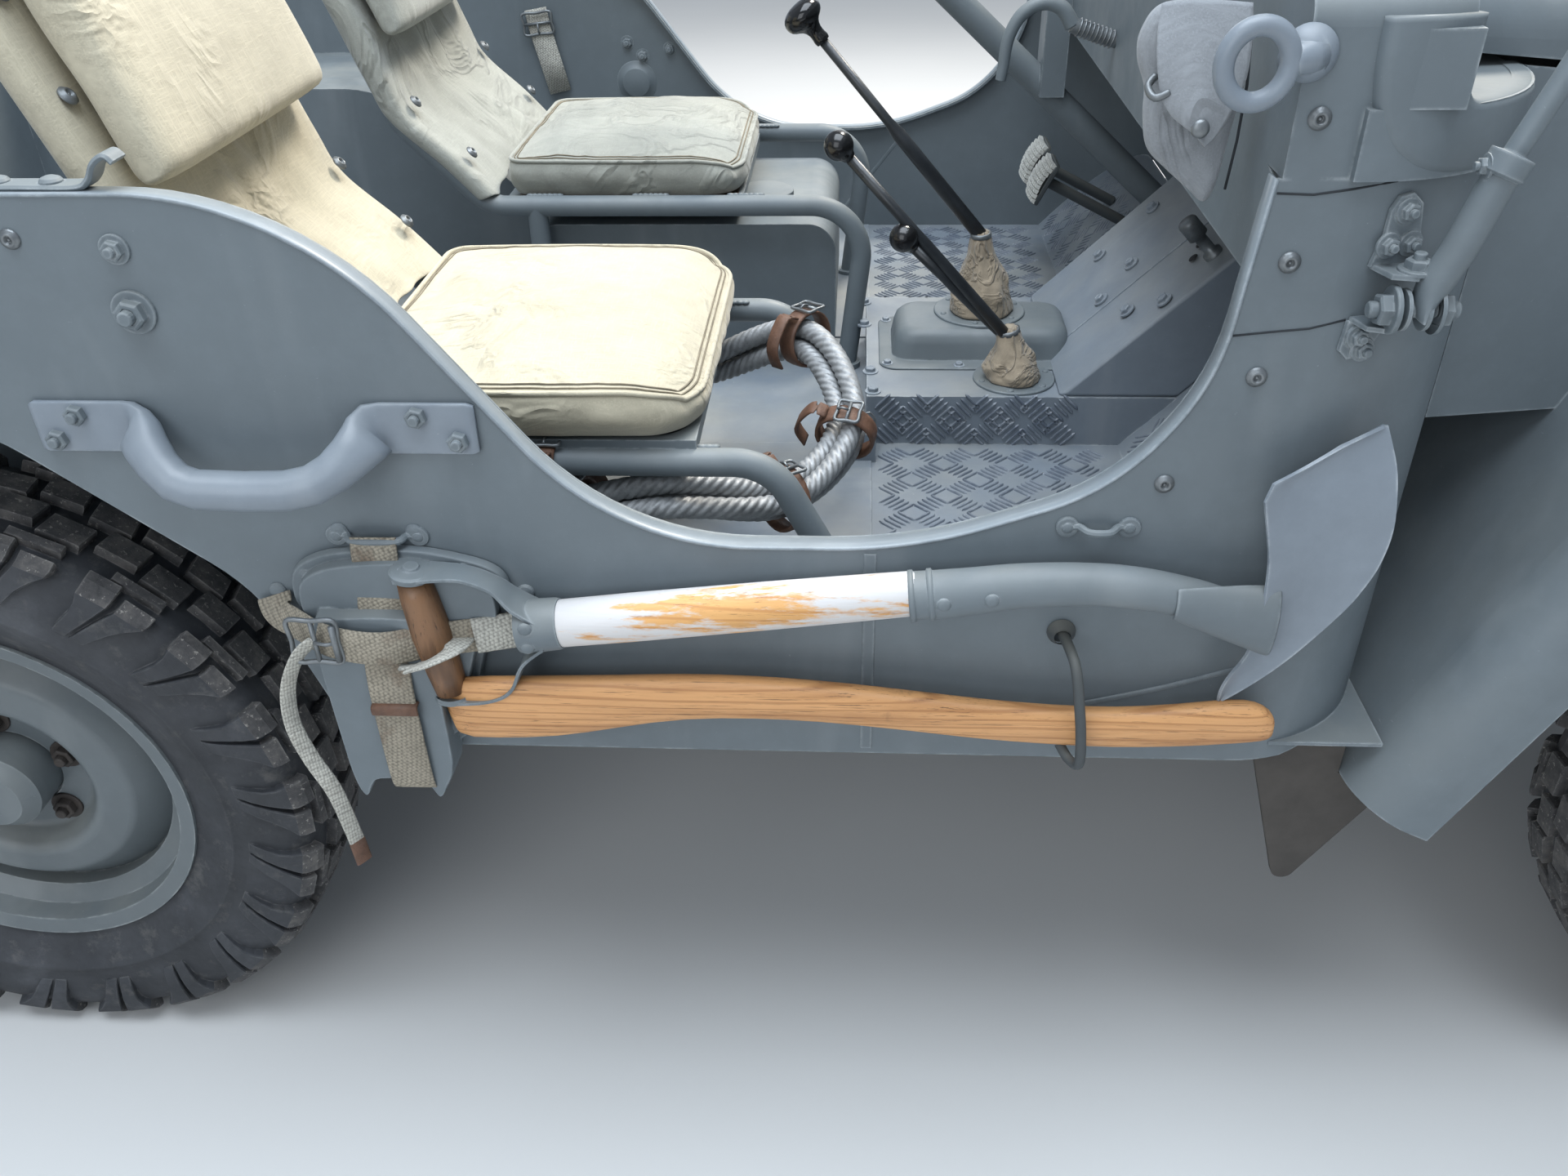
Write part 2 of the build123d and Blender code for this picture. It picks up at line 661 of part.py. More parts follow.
with BuildPart() as cowl:
    with BuildSketch(Plane.XY.offset(COWL_SEAM_Z)):
        draw_cowl_plan(0.0, COWL_FACE_X)
    extrude(amount=COWL_TOP_Z - COWL_SEAM_Z)
    fillet(
        [e for e in edges().group_by(Axis.Z)[-1] if abs(e.center().Y) > COWL_EDGE_R],
        radius=COWL_EDGE_R,
    )
    offset(amount=-SHEET, openings=faces().sort_by(Axis.Z)[0])
    with BuildSketch(Plane.XY.offset(COWL_SEAM_Z)):
        draw_cowl_plan(0.0, FIREWALL_X)
        with Locations((COWL_FACE_X - SHEET, 0)):
            Rectangle(
                FIREWALL_X - COWL_FACE_X + SHEET,
                2 * HALF_WIDTH,
                align=(Align.MIN, Align.CENTER),
                mode=Mode.INTERSECT,
            )
    extrude(amount=COWL_SHELF_Z - COWL_SEAM_Z)
    with BuildSketch(Plane.XY.offset(COWL_SEAM_Z)):
        draw_cowl_plan(SHEET, FIREWALL_X - SHEET)
        with Locations((COWL_FACE_X - SHEET, 0)):
            Rectangle(
                FIREWALL_X - COWL_FACE_X,
                2 * HALF_WIDTH,
                align=(Align.MIN, Align.CENTER),
                mode=Mode.INTERSECT,
            )
    extrude(amount=COWL_SHELF_Z - SHEET - COWL_SEAM_Z, mode=Mode.SUBTRACT)
    with BuildSketch(cross_plane(DASH_X)):
        with Locations((0, DASH_LOW_Z)):
            RectangleRounded(2 * INSIDE_Y, 2 * (COWL_SEAM_Z - DASH_LOW_Z), DASH_CORNER_R)
        with Locations((0, DASH_LOW_Z)):
            Rectangle(
                2 * INSIDE_Y, COWL_SEAM_Z - DASH_LOW_Z, align=(Align.CENTER, Align.MIN), mode=Mode.INTERSECT
            )
    extrude(amount=SHEET)
    with BuildSketch(cross_plane(FIREWALL_X - SHEET)):
        with Locations((0, TOE_TOP_Z)):
            Rectangle(
                2 * COWL_FLAT,
                COWL_SEAM_Z - TOE_TOP_Z,
                align=(Align.CENTER, Align.MIN),
            )
    extrude(amount=SHEET)
    for side in (-1, 1):
        rim_y = side * (HALF_WIDTH + RIM_PROUD / 2)
        rim_x = FIREWALL_X + RIM_PROUD / 2
        with BuildLine() as rim_line:
            FilletPolyline(
                (FIREWALL_X - COWL_CORNER_R - RIM_LEAD, rim_y),
                (rim_x, rim_y),
                (rim_x, side * COWL_FLAT),
                radius=COWL_CORNER_R + RIM_PROUD / 2,
            )
        with BuildSketch(Plane.XY.offset(COWL_SEAM_Z)):
            trace(rim_line.line, line_width=RIM_PROUD)
        extrude(amount=COWL_SHELF_Z - COWL_SEAM_Z)
        with BuildSketch(Plane.XY.offset(COWL_SHELF_Z)):
            with Locations((COWL_FACE_X, side * (HALF_WIDTH + RIM_PROUD))):
                Rectangle(
                    RIM_BAND,
                    RIM_DEPTH,
                    align=(Align.MAX, Align.MAX if side > 0 else Align.MIN),
                )
        extrude(amount=COWL_TOP_Z - COWL_EDGE_R - COWL_SHELF_Z)
    for side in (-1, 1):
        ear_y = side * (WINDSHIELD_HALF + HINGE_GAP + EAR / 2)
        with BuildSketch(side_plane(ear_y - EAR / 2)):
            with Locations((WINDSHIELD_X, WINDSHIELD_Z)):
                Circle(HINGE_EAR_R)
                Rectangle(
                    2 * HINGE_EAR_R, WINDSHIELD_Z - COWL_TOP_Z + SHEET / 2, align=(Align.CENTER, Align.MAX)
                )
                Circle(HINGE_PIN_R + RUNNING, mode=Mode.SUBTRACT)
        extrude(amount=-EAR)
        turned(
            (HOOD_PIVOT_X, side * HOOD_HINGE_Y, HOOD_PIVOT_Z),
            (0, -side, 0),
            [(0, BARREL_R), (BARREL_LENGTH, BARREL_R)],
        )
        with Locations((HOOD_PIVOT_X, side * (HOOD_HINGE_Y - BARREL_LENGTH / 2), COWL_TOP_Z - 1.0)):
            Box(
                2 * (HOOD_PIVOT_X - COWL_FACE_X + BARREL_R) + 14.0,
                BARREL_LENGTH,
                3.0,
                align=(Align.MAX, Align.CENTER, Align.MIN),
            )
finish(cowl, "cowl")


# Hood: a lofted shell that narrows and drops towards the grille
def draw_hood_section(half, low_z, top_z, edge_r):
    closed_outline(
        [
            (-half, low_z, 0),
            (-half, top_z - HOOD_CROWN, edge_r),
            (0, top_z, HOOD_CROWN_R),
            (half, top_z - HOOD_CROWN, edge_r),
            (half, low_z, 0),
        ]
    )


def loft_hood(inset):
    """The hood's outer form, or with an inset the space under it, open behind and below."""
    drop = 0.0 if inset == 0 else RIB_DEPTH
    with BuildSketch(cross_plane(HOOD_REAR_X)) as rear_section:
        draw_hood_section(
            HOOD_REAR_HALF - inset, HOOD_REAR_LOW_Z - drop, HOOD_REAR_TOP_Z - inset, HOOD_EDGE_R - inset
        )
    with BuildSketch(cross_plane(HOOD_FRONT_X - inset)) as front_section:
        draw_hood_section(
            HOOD_FRONT_HALF - inset, HOOD_FRONT_LOW_Z - drop, HOOD_FRONT_TOP_Z - inset, HOOD_EDGE_R - inset
        )
    loft([rear_section.sketch, front_section.sketch], ruled=True)
    nose = faces().sort_by(Axis.X)[-1].edges()
    fillet([e for e in nose if e.center().Z > HOOD_FRONT_LOW_Z + 1], radius=HOOD_NOSE_R - inset)


with BuildPart() as hood_space:
    loft_hood(SHEET)
with BuildPart() as hood:
    loft_hood(0.0)
    add(hood_space.part, mode=Mode.SUBTRACT)
    for side in (-1, 1):
        turned(
            (HOOD_PIVOT_X, side * (HOOD_HINGE_Y + FIT), HOOD_PIVOT_Z),
            (0, side, 0),
            [(0, BARREL_R), (BARREL_LENGTH, BARREL_R)],
        )
        with Locations((HOOD_PIVOT_X, side * (HOOD_HINGE_Y + FIT + BARREL_LENGTH / 2), HOOD_PIVOT_Z - 3.0)):
            Box(HOOD_LEAF, BARREL_LENGTH, 14.0, align=(Align.MIN, Align.CENTER, Align.MAX))
finish(hood, "hood")

# Grille: upright slots between the two lamp openings, with folded edges
with BuildPart() as grille:
    with BuildSketch(cross_plane(GRILLE_X - GRILLE_DEPTH)):
        with Locations((0, GRILLE_LOW_Z)):
            Rectangle(
                2 * HOOD_FRONT_HALF, GRILLE_TOP_Z - GRILLE_LOW_Z, align=(Align.CENTER, Align.MIN)
            )
        for side in (-1, 1):
            with BuildLine():
                Polyline(
                    (side * HOOD_FRONT_HALF, GRILLE_LOW_Z),
                    (side * (HOOD_FRONT_HALF - GRILLE_CORNER[0]), GRILLE_LOW_Z),
                    (side * HOOD_FRONT_HALF, GRILLE_LOW_Z + GRILLE_CORNER[1]),
                    close=True,
                )
            make_face(mode=Mode.SUBTRACT)
    extrude(amount=GRILLE_DEPTH)
    fillet(edges().filter_by(Axis.Z).sort_by(Axis.X)[-2:], radius=GRILLE_EDGE_R)
    offset(amount=-SHEET, openings=faces().sort_by(Axis.X)[0])
    with BuildSketch(cross_plane(GRILLE_X)):
        with Locations((0, (SLOT_LOW_Z + SLOT_TOP_Z) / 2)):
            with GridLocations(SLOT_PITCH, 1, SLOT_COUNT, 1):
                SlotOverall(SLOT_TOP_Z - SLOT_LOW_Z, SLOT_WIDTH, rotation=90)
        for side in (-1, 1):
            with Locations((side * LAMP_Y, LAMP_Z)):
                Circle(LAMP_R)
            with Locations((side * MARKER_Y, MARKER_Z)):
                Circle(MARKER_R)
    extrude(amount=-2 * SHEET, mode=Mode.SUBTRACT)
finish(grille, "grille")

# Head lamps and marker lamps: domed lens, rim and bowl, one solid each
LAMP_ROWS = (  # place across, height, opening radius, bowl depth, dome height
    (LAMP_Y, LAMP_Z, LAMP_R, 85.0, 14.0),
    (MARKER_Y, MARKER_Z, MARKER_R, 45.0, 8.0),
)
with BuildPart() as lamps:
    for side in (-1, 1):
        for place_y, lamp_z, opening_r, bowl_depth, dome in LAMP_ROWS:
            lamp_r = opening_r - FIT
            with BuildSketch(Plane.XY.offset(lamp_z)):
                with BuildLine() as lamp_line:
                    mid = side * place_y
                    Polyline(
                        (GRILLE_X - bowl_depth, mid),
                        (GRILLE_X - bowl_depth, mid + 0.45 * lamp_r),
                        (GRILLE_X - SHEET, mid + lamp_r),
                        (GRILLE_X, mid + lamp_r),
                        (GRILLE_X, mid + lamp_r + LAMP_BEZEL),
                        (GRILLE_X + LAMP_BEZEL_DEPTH, mid + lamp_r + LAMP_BEZEL),
                        (GRILLE_X + LAMP_BEZEL_DEPTH, mid + lamp_r - LAMP_BEZEL),
                    )
                    glass_r = lamp_r - LAMP_BEZEL
                    ball_r = (glass_r**2 + dome**2) / (2 * dome)
                    half_turn = math.asin(glass_r / ball_r) / 2
                    ThreePointArc(
                        (GRILLE_X + LAMP_BEZEL_DEPTH, mid + glass_r),
                        (
                            GRILLE_X + LAMP_BEZEL_DEPTH + dome - ball_r * (1 - math.cos(half_turn)),
                            mid + ball_r * math.sin(half_turn),
                        ),
                        (GRILLE_X + LAMP_BEZEL_DEPTH + dome, mid),
                    )
                    Line(
                        (GRILLE_X + LAMP_BEZEL_DEPTH + dome, mid),
                        (GRILLE_X - bowl_depth, mid),
                    )
                make_face()
            revolve(axis=Axis((0, mid, lamp_z), (1, 0, 0)))
        turned(
            (REAR_PANEL_X - FIT, side * TAIL_LAMP_Y, TAIL_LAMP_Z),
            (-1, 0, 0),
            [(0, 28.0), (12.0, TAIL_LAMP_R), (38.0, TAIL_LAMP_R), (44.0, TAIL_LAMP_R - 10.0)],
        )
finish(lamps, "lamps")

# Front fenders: a crowned band with a rounded skirt, and the apron beside the engine
FENDER_CROWN = (  # place along the car, height
    FENDER_FOOT,
    (FIREWALL_X + 194.0, FENDER_TOP_Z),
    (FRONT_AXLE_X + 268.0, FENDER_TOP_Z - 8.0),
    (FRONT_AXLE_X + 383.0, 700.0),
)
with BuildPart() as fender_right:
    with BuildLine() as crown:
        FilletPolyline(*[(x, 0, z) for x, z in FENDER_CROWN], radius=[110.0, 150.0])
    with BuildSketch(Plane(origin=crown.line @ 0, x_dir=(0, 1, 0), z_dir=crown.line % 0)):
        with BuildLine() as band:
            FilletPolyline(
                (-FENDER_INNER_Y, -SHEET / 2),
                (-FENDER_OUTER_Y + SHEET / 2, -SHEET / 2),
                (-FENDER_OUTER_Y + SHEET / 2, -FENDER_SKIRT),
                radius=FENDER_EDGE_R,
            )
        trace(band.line, line_width=SHEET)
    sweep(path=crown.line)
    with BuildSketch(Plane.XY.offset(APRON_SHELF_Z)):
        with BuildLine():
            Polyline(
                (FIREWALL_X, 0),
                (FIREWALL_X, -(HOOD_SIDE_AT_FIREWALL)),
                (HOOD_FRONT_X, -HOOD_FRONT_HALF),
                (NOSE_X, -HOOD_FRONT_HALF),
                (NOSE_X, 0),
                close=True,
            )
        make_face()
    extrude(amount=COWL_TOP_Z - APRON_SHELF_Z, mode=Mode.SUBTRACT)
    with Locations((HOOD_FRONT_X - GRILLE_DEPTH, 0, GRILLE_LOW_Z)):
        Box(
            NOSE_X - HOOD_FRONT_X,
            2 * (HOOD_FRONT_HALF + FIT),
            COWL_TOP_Z,
            align=(Align.MIN, Align.CENTER, Align.CENTER),
            mode=Mode.SUBTRACT,
        )
    with BuildLine() as apron_line:
        Line(
            (FIREWALL_X + RIM_PROUD + 2.0, -HOOD_SIDE_AT_FIREWALL + SHEET / 2),
            (HOOD_FRONT_X, -HOOD_FRONT_HALF + SHEET / 2),
        )
    with BuildSketch(side_plane(0)):
        with BuildLine():
            Polyline(
                (FIREWALL_X, APRON_SHELF_Z - SHEET),
                (FIREWALL_X, HOOD_LOW_AT_FIREWALL - HOOD_GAP),
                (GRILLE_X - GRILLE_DEPTH, HOOD_FRONT_LOW_Z - HOOD_GAP),
                (GRILLE_X - GRILLE_DEPTH, APRON_SHELF_Z - SHEET),
                close=True,
            )
        make_face()
    apron_side = extrude(amount=HALF_WIDTH, mode=Mode.PRIVATE)
    with BuildSketch(Plane.XY.offset(APRON_SHELF_Z - SHEET)) as apron_plan:
        trace(apron_line.line, line_width=SHEET)
    apron_wall = extrude(amount=COWL_TOP_Z - APRON_SHELF_Z, mode=Mode.PRIVATE)
    add(apron_wall & apron_side)
    with BuildLine() as inner_line:
        Polyline(
            (-RAIL_OUTER_Y, RAIL_TOP_Z + 0.5),
            (-FENDER_INNER_Y + SHEET / 2, APRON_SHELF_Z - SHEET / 2),
            (-HOOD_FRONT_HALF + SHEET, APRON_SHELF_Z - SHEET / 2),
        )
    with BuildSketch(cross_plane(FIREWALL_X)):
        trace(inner_line.line, line_width=SHEET)
    extrude(amount=GRILLE_X - GRILLE_DEPTH - FIREWALL_X)
finish(fender_right, "fender_right")

with BuildPart() as fender_left:
    mirror(fender_right.part, about=Plane.XZ)
finish(fender_left, "fender_left")

# Frame: two channel rails, cross members and spring hangers
RAIL_FRONT_X = NOSE_X - BUMPER_DEPTH
with BuildPart() as frame:
    for side in (-1, 1):
        with BuildSketch(cross_plane(FRAME_REAR_X)):
            with Locations((side * RAIL_OUTER_Y, RAIL_TOP_Z)):
                Rectangle(
                    RAIL_FLANGE, RAIL_DEPTH, align=(Align.MAX if side > 0 else Align.MIN, Align.MAX)
                )
            with Locations((side * (RAIL_OUTER_Y - RAIL_WALL), RAIL_TOP_Z - RAIL_WALL)):
                Rectangle(
                    RAIL_FLANGE,
                    RAIL_DEPTH - 2 * RAIL_WALL,
                    align=(Align.MAX if side > 0 else Align.MIN, Align.MAX),
                    mode=Mode.SUBTRACT,
                )
        extrude(amount=RAIL_FRONT_X - FRAME_REAR_X)
    for member_x, member_top_z, member_depth in CROSS_MEMBERS:
        with Locations((REAR_AXLE_X + member_x, 0, member_top_z)):
            Box(
                CROSS_MEMBER_WIDTH,
                2 * (RAIL_OUTER_Y - RAIL_WALL),
                member_depth,
                align=(Align.CENTER, Align.CENTER, Align.MAX),
            )
    for axle_x in (REAR_AXLE_X, FRONT_AXLE_X):
        for end in (-1, 1):
            for side in (-1, 1):
                for face in (-1, 1):
                    ear_y = side * SPRING_Y + face * (SPRING_WIDTH / 2 + FIT + EAR / 2)
                    with BuildSketch(side_plane(ear_y - EAR / 2)):
                        with Locations((axle_x + end * SPRING_HALF_LENGTH, SPRING_EYE_Z)):
                            Circle(EYE_R)
                            Rectangle(
                                2 * EYE_R,
                                RAIL_TOP_Z - RAIL_DEPTH - SPRING_EYE_Z,
                                align=(Align.CENTER, Align.MIN),
                            )
                    extrude(amount=-EAR)
                with Locations(
                    (axle_x + end * SPRING_HALF_LENGTH, side * SPRING_Y, RAIL_TOP_Z - RAIL_DEPTH + RAIL_WALL)
                ):
                    Box(
                        2 * EYE_R,
                        SPRING_WIDTH + 2 * (FIT + EAR),
                        EAR + RAIL_WALL,
                        align=(Align.CENTER, Align.CENTER, Align.MAX),
                    )
    for mount_x in BODY_MOUNTS_X:
        for side in (-1, 1):
            with Locations((REAR_AXLE_X + mount_x, side * (RAIL_OUTER_Y - RAIL_FLANGE / 2), RAIL_TOP_Z)):
                Cylinder(
                    BODY_MOUNT_R,
                    FLOOR_Z - SHEET - FIT - RAIL_TOP_Z,
                    align=(Align.CENTER, Align.CENTER, Align.MIN),
                )
finish(frame, "frame")

with BuildPart() as bumpers:
    with BuildSketch(side_plane(-BUMPER_HALF)):
        with Locations((NOSE_X, BUMPER_LOW_Z)):
            Rectangle(BUMPER_DEPTH, BUMPER_TOP_Z - BUMPER_LOW_Z, align=(Align.MAX, Align.MIN))
        with Locations((NOSE_X - BUMPER_WALL, BUMPER_LOW_Z + BUMPER_WALL)):
            Rectangle(
                BUMPER_DEPTH,
                BUMPER_TOP_Z - BUMPER_LOW_Z - 2 * BUMPER_WALL,
                align=(Align.MAX, Align.MIN),
                mode=Mode.SUBTRACT,
            )
    extrude(amount=-2 * BUMPER_HALF)
    with Locations(*[(RAIL_FRONT_X, side * (RAIL_OUTER_Y - RAIL_FLANGE / 2), RAIL_TOP_Z) for side in (-1, 1)]):
        Box(
            BUMPER_DEPTH - BUMPER_WALL,
            RAIL_FLANGE,
            RAIL_DEPTH,
            align=(Align.MIN, Align.CENTER, Align.MAX),
        )
    for side in (-1, 1):
        with BuildSketch(side_plane(side * SHACKLE_Y - SHACKLE_BAR / 2)):
            with Locations((NOSE_X - BUMPER_DEPTH / 2, BUMPER_TOP_Z + SHACKLE_R)):
                Circle(SHACKLE_R + SHACKLE_BAR / 2)
                Circle(SHACKLE_BORE_R, mode=Mode.SUBTRACT)
        extrude(amount=-SHACKLE_BAR)
    for side in (-1, 1):
        with BuildSketch(Plane.XY.offset(REAR_BUMPER_LOW_Z)):
            with BuildLine():
                FilletPolyline(
                    (FRAME_REAR_X - FIT, side * REAR_BUMPER_INNER_Y),
                    (REAR_BUMPER_X, side * REAR_BUMPER_INNER_Y),
                    (REAR_BUMPER_X, side * REAR_BUMPER_OUTER_Y),
                    (FRAME_REAR_X - FIT, side * REAR_BUMPER_OUTER_Y),
                    radius=REAR_BUMPER_R,
                )
            trace(line_width=BUMPER_WALL)
        extrude(amount=REAR_BUMPER_HEIGHT)
    with BuildSketch(Plane.XZ.offset(-PINTLE_WIDTH / 2)):
        with BuildLine() as pintle_line:
            FilletPolyline(
                (FRAME_REAR_X, PINTLE_Z),
                (FRAME_REAR_X - 70.0, PINTLE_Z),
                (FRAME_REAR_X - 120.0, PINTLE_Z + 30.0),
                (FRAME_REAR_X - 130.0, PINTLE_Z + 75.0),
                (FRAME_REAR_X - 90.0, PINTLE_Z + 80.0),
                radius=20.0,
            )
        trace(pintle_line.line, line_width=PINTLE_BAR)
    extrude(amount=PINTLE_WIDTH)
finish(bumpers, "bumpers")

# Power train: engine, gearbox and transfer case as plain blocks
with BuildPart() as engine:
    for low, high in ENGINE_BLOCKS:
        with Locations(tuple((a + b) / 2 for a, b in zip(low, high))):
            Box(*[b - a for a, b in zip(low, high)])
finish(engine, "engine")

with BuildPart() as radiator:
    with Locations((RADIATOR_X, 0, RADIATOR_LOW_Z)):
        Box(
            RADIATOR_DEPTH,
            2 * RADIATOR_HALF,
            RADIATOR_TOP_Z - RADIATOR_LOW_Z,
            align=(Align.CENTER, Align.CENTER, Align.MIN),
        )
    fillet(edges().filter_by(Axis.X), radius=20.0)
    for side in (-1, 1):
        with Locations((RADIATOR_X, side * (RADIATOR_HALF - 20.0), RADIATOR_LOW_Z)):
            Box(
                RADIATOR_DEPTH,
                30.0,
                RADIATOR_LOW_Z - RAIL_TOP_Z - FIT,
                align=(Align.CENTER, Align.CENTER, Align.MAX),
            )
        with Locations((RADIATOR_X, side * (RADIATOR_HALF - 20.0), RAIL_TOP_Z + FIT)):
            Box(
                RADIATOR_DEPTH,
                RAIL_OUTER_Y - RADIATOR_HALF,
                SHEET,
                align=(Align.CENTER, Align.MIN if side > 0 else Align.MAX, Align.MIN),
            )
finish(radiator, "radiator")

with BuildPart() as fuel_tank:
    with Locations((TANK_REAR_X, DRIVER_Y, FLOOR_Z + FIT)):
        Box(
            TANK_FRONT_X - TANK_REAR_X,
            2 * TANK_HALF,
            TANK_TOP_Z - FLOOR_Z - FIT,
            align=(Align.MIN, Align.CENTER, Align.MIN),
        )
    fillet(edges().filter_by(Axis.Y), radius=TANK_EDGE_R)
finish(fuel_tank, "fuel_tank")


# Axles: tube, differential and propeller shaft; the front one ends in the knuckle balls
def axle(axle_x, tube_end, pinion_dir, shaft_start):
    turned(
        (axle_x, 0, AXLE_Z),
        (0, 1, 0),
        [
            (-tube_end, TUBE_R),
            (DIFF_Y - DIFF_WIDTH, TUBE_R),
            (DIFF_Y - DIFF_WIDTH / 2, DIFF_R * 0.8),
            (DIFF_Y - DIFF_WIDTH / 4, DIFF_R),
            (DIFF_Y + DIFF_WIDTH / 4, DIFF_R),
            (DIFF_Y + DIFF_WIDTH / 2, DIFF_R * 0.8),
            (DIFF_Y + DIFF_WIDTH, TUBE_R),
            (tube_end, TUBE_R),
        ],
    )
    pinion_x = axle_x + pinion_dir * PINION_REACH
    turned(
        (axle_x, DIFF_Y, AXLE_Z),
        (pinion_dir, 0, 0),
        [(0, 80.0), (0.8 * PINION_REACH, 55.0), (PINION_REACH, 42.0)],
    )
    shaft_run = Vector(*shaft_start) - Vector(pinion_x, DIFF_Y, AXLE_Z)
    turned(
        (pinion_x, DIFF_Y, AXLE_Z),
        tuple(shaft_run.normalized()),
        [
            (-10.0, 30.0),
            (YOKE, 30.0),
            (2 * YOKE, SHAFT_R),
            (shaft_run.length - 2 * YOKE, SHAFT_R),
            (shaft_run.length - YOKE, 30.0),
            (shaft_run.length - FIT - 30.0 * abs(shaft_run.normalized().Z), 30.0),
        ],
    )
    for side in (-1, 1):
        with Locations((axle_x, side * SPRING_Y, SPRING_TOP_Z + FIT)):
            Box(
                PAD_LENGTH,
                SPRING_WIDTH,
                AXLE_Z - SPRING_TOP_Z - FIT,
                align=(Align.CENTER, Align.CENTER, Align.MIN),
            )


TRANSFER_LOW, TRANSFER_HIGH = ENGINE_BLOCKS[2]
OUTPUT_Z = TRANSFER_LOW[2] + 40.0
with BuildPart() as rear_axle:
    axle(REAR_AXLE_X, REAR_FLANGE_Y, 1, (TRANSFER_LOW[0], DIFF_Y, OUTPUT_Z))
    for side in (-1, 1):
        turned(
            (REAR_AXLE_X, side * REAR_FLANGE_Y, AXLE_Z),
            (0, side, 0),
            [
                (-BACKING, TUBE_R + 6.0),
                (-BACKING, DRUM_R),
                (0, DRUM_R),
                (0, SPINDLE_R + 10.0),
                (FIT, SPINDLE_R + 10.0),
                (FIT, SPINDLE_R),
                (SPINDLE_LENGTH, SPINDLE_R),
            ],
        )
finish(rear_axle, "rear_axle")

with BuildPart() as front_axle:
    axle(
        FRONT_AXLE_X,
        KINGPIN_Y - BALL_R * 0.6,
        -1,
        (TRANSFER_HIGH[0], DIFF_Y, OUTPUT_Z),
    )
    for side in (-1, 1):
        with Locations((FRONT_AXLE_X, side * KINGPIN_Y, AXLE_Z)):
            Sphere(BALL_R)
finish(front_axle, "front_axle")

# Steering knuckles: an open cup over the ball, kingpin caps, backing plate, spindle and arm
for hand, side in (("right", -1), ("left", 1)):
    with BuildPart() as knuckle:
        turned(
            (FRONT_AXLE_X, side * KINGPIN_Y, AXLE_Z),
            (0, side, 0),
            [
                (-CUP_BACK, CUP_R),
                (CUP_BACK, CUP_R),
                (KNUCKLE_OUT - BACKING, SPINDLE_R + 22.0),
                (KNUCKLE_OUT - BACKING, DRUM_R),
                (KNUCKLE_OUT, DRUM_R),
                (KNUCKLE_OUT, SPINDLE_R + 10.0),
                (KNUCKLE_OUT + FIT, SPINDLE_R + 10.0),
                (KNUCKLE_OUT + FIT, SPINDLE_R),
                (KNUCKLE_OUT + SPINDLE_LENGTH, SPINDLE_R),
            ],
        )
        with Locations((FRONT_AXLE_X, side * KINGPIN_Y, AXLE_Z)):
            Cylinder(24.0, 2 * (CUP_R + 12.0))
            Sphere(BALL_R + KNUCKLE_GAP, mode=Mode.SUBTRACT)
        arm_end = (FRONT_AXLE_X + TIE_ARM, side * TIE_END_Y)
        with BuildLine() as arm_line:
            Line((FRONT_AXLE_X + CUP_R - 28.0, side * KINGPIN_Y), arm_end)
        with BuildSketch(Plane.XY.offset(TIE_Z + TIE_BAR_R + FIT)):
            trace(arm_line.line, line_width=ARM_WIDTH)
            with Locations(arm_end):
                Circle(TIE_EYE_R)
        extrude(amount=ARM_THICKNESS)
    finish(knuckle, f"knuckle_{hand}")

with BuildPart() as tie_rod:
    turned(
        (FRONT_AXLE_X + TIE_ARM, 0, TIE_Z),
        (0, 1, 0),
        [(-TIE_END_Y, TIE_BAR_R), (TIE_END_Y, TIE_BAR_R)],
    )
    with Locations(*[(FRONT_AXLE_X + TIE_ARM, side * TIE_END_Y, TIE_Z) for side in (-1, 1)]):
        Cylinder(TIE_EYE_R, 2 * TIE_BAR_R)
finish(tie_rod, "tie_rod")

# Leaf springs: five leaves each, shorter towards the bottom, with eyes on the main leaf
with BuildPart() as springs:
    for axle_x in (REAR_AXLE_X, FRONT_AXLE_X):
        for side in (-1, 1):
            for leaf in range(LEAF_COUNT):
                reach = SPRING_HALF_LENGTH * (1 - LEAF_STEP * leaf)
                rise = SPRING_CAMBER * (reach / SPRING_HALF_LENGTH) ** 2
                mid_z = SPRING_TOP_Z - LEAF / 2 - leaf * (LEAF - RUNNING)
                with BuildLine() as leaf_line:
                    ThreePointArc(
                        (axle_x - reach, mid_z + rise), (axle_x, mid_z), (axle_x + reach, mid_z + rise)
                    )
                with BuildSketch(side_plane(side * SPRING_Y - SPRING_WIDTH / 2)):
                    trace(leaf_line.line, line_width=LEAF)
                extrude(amount=-SPRING_WIDTH)
            with BuildSketch(side_plane(side * SPRING_Y - SPRING_WIDTH / 2)):
                for end in (-1, 1):
                    with Locations((axle_x + end * SPRING_HALF_LENGTH, SPRING_EYE_Z)):
                        Circle(EYE_R - 2.0)
            extrude(amount=-SPRING_WIDTH)
finish(springs, "springs")


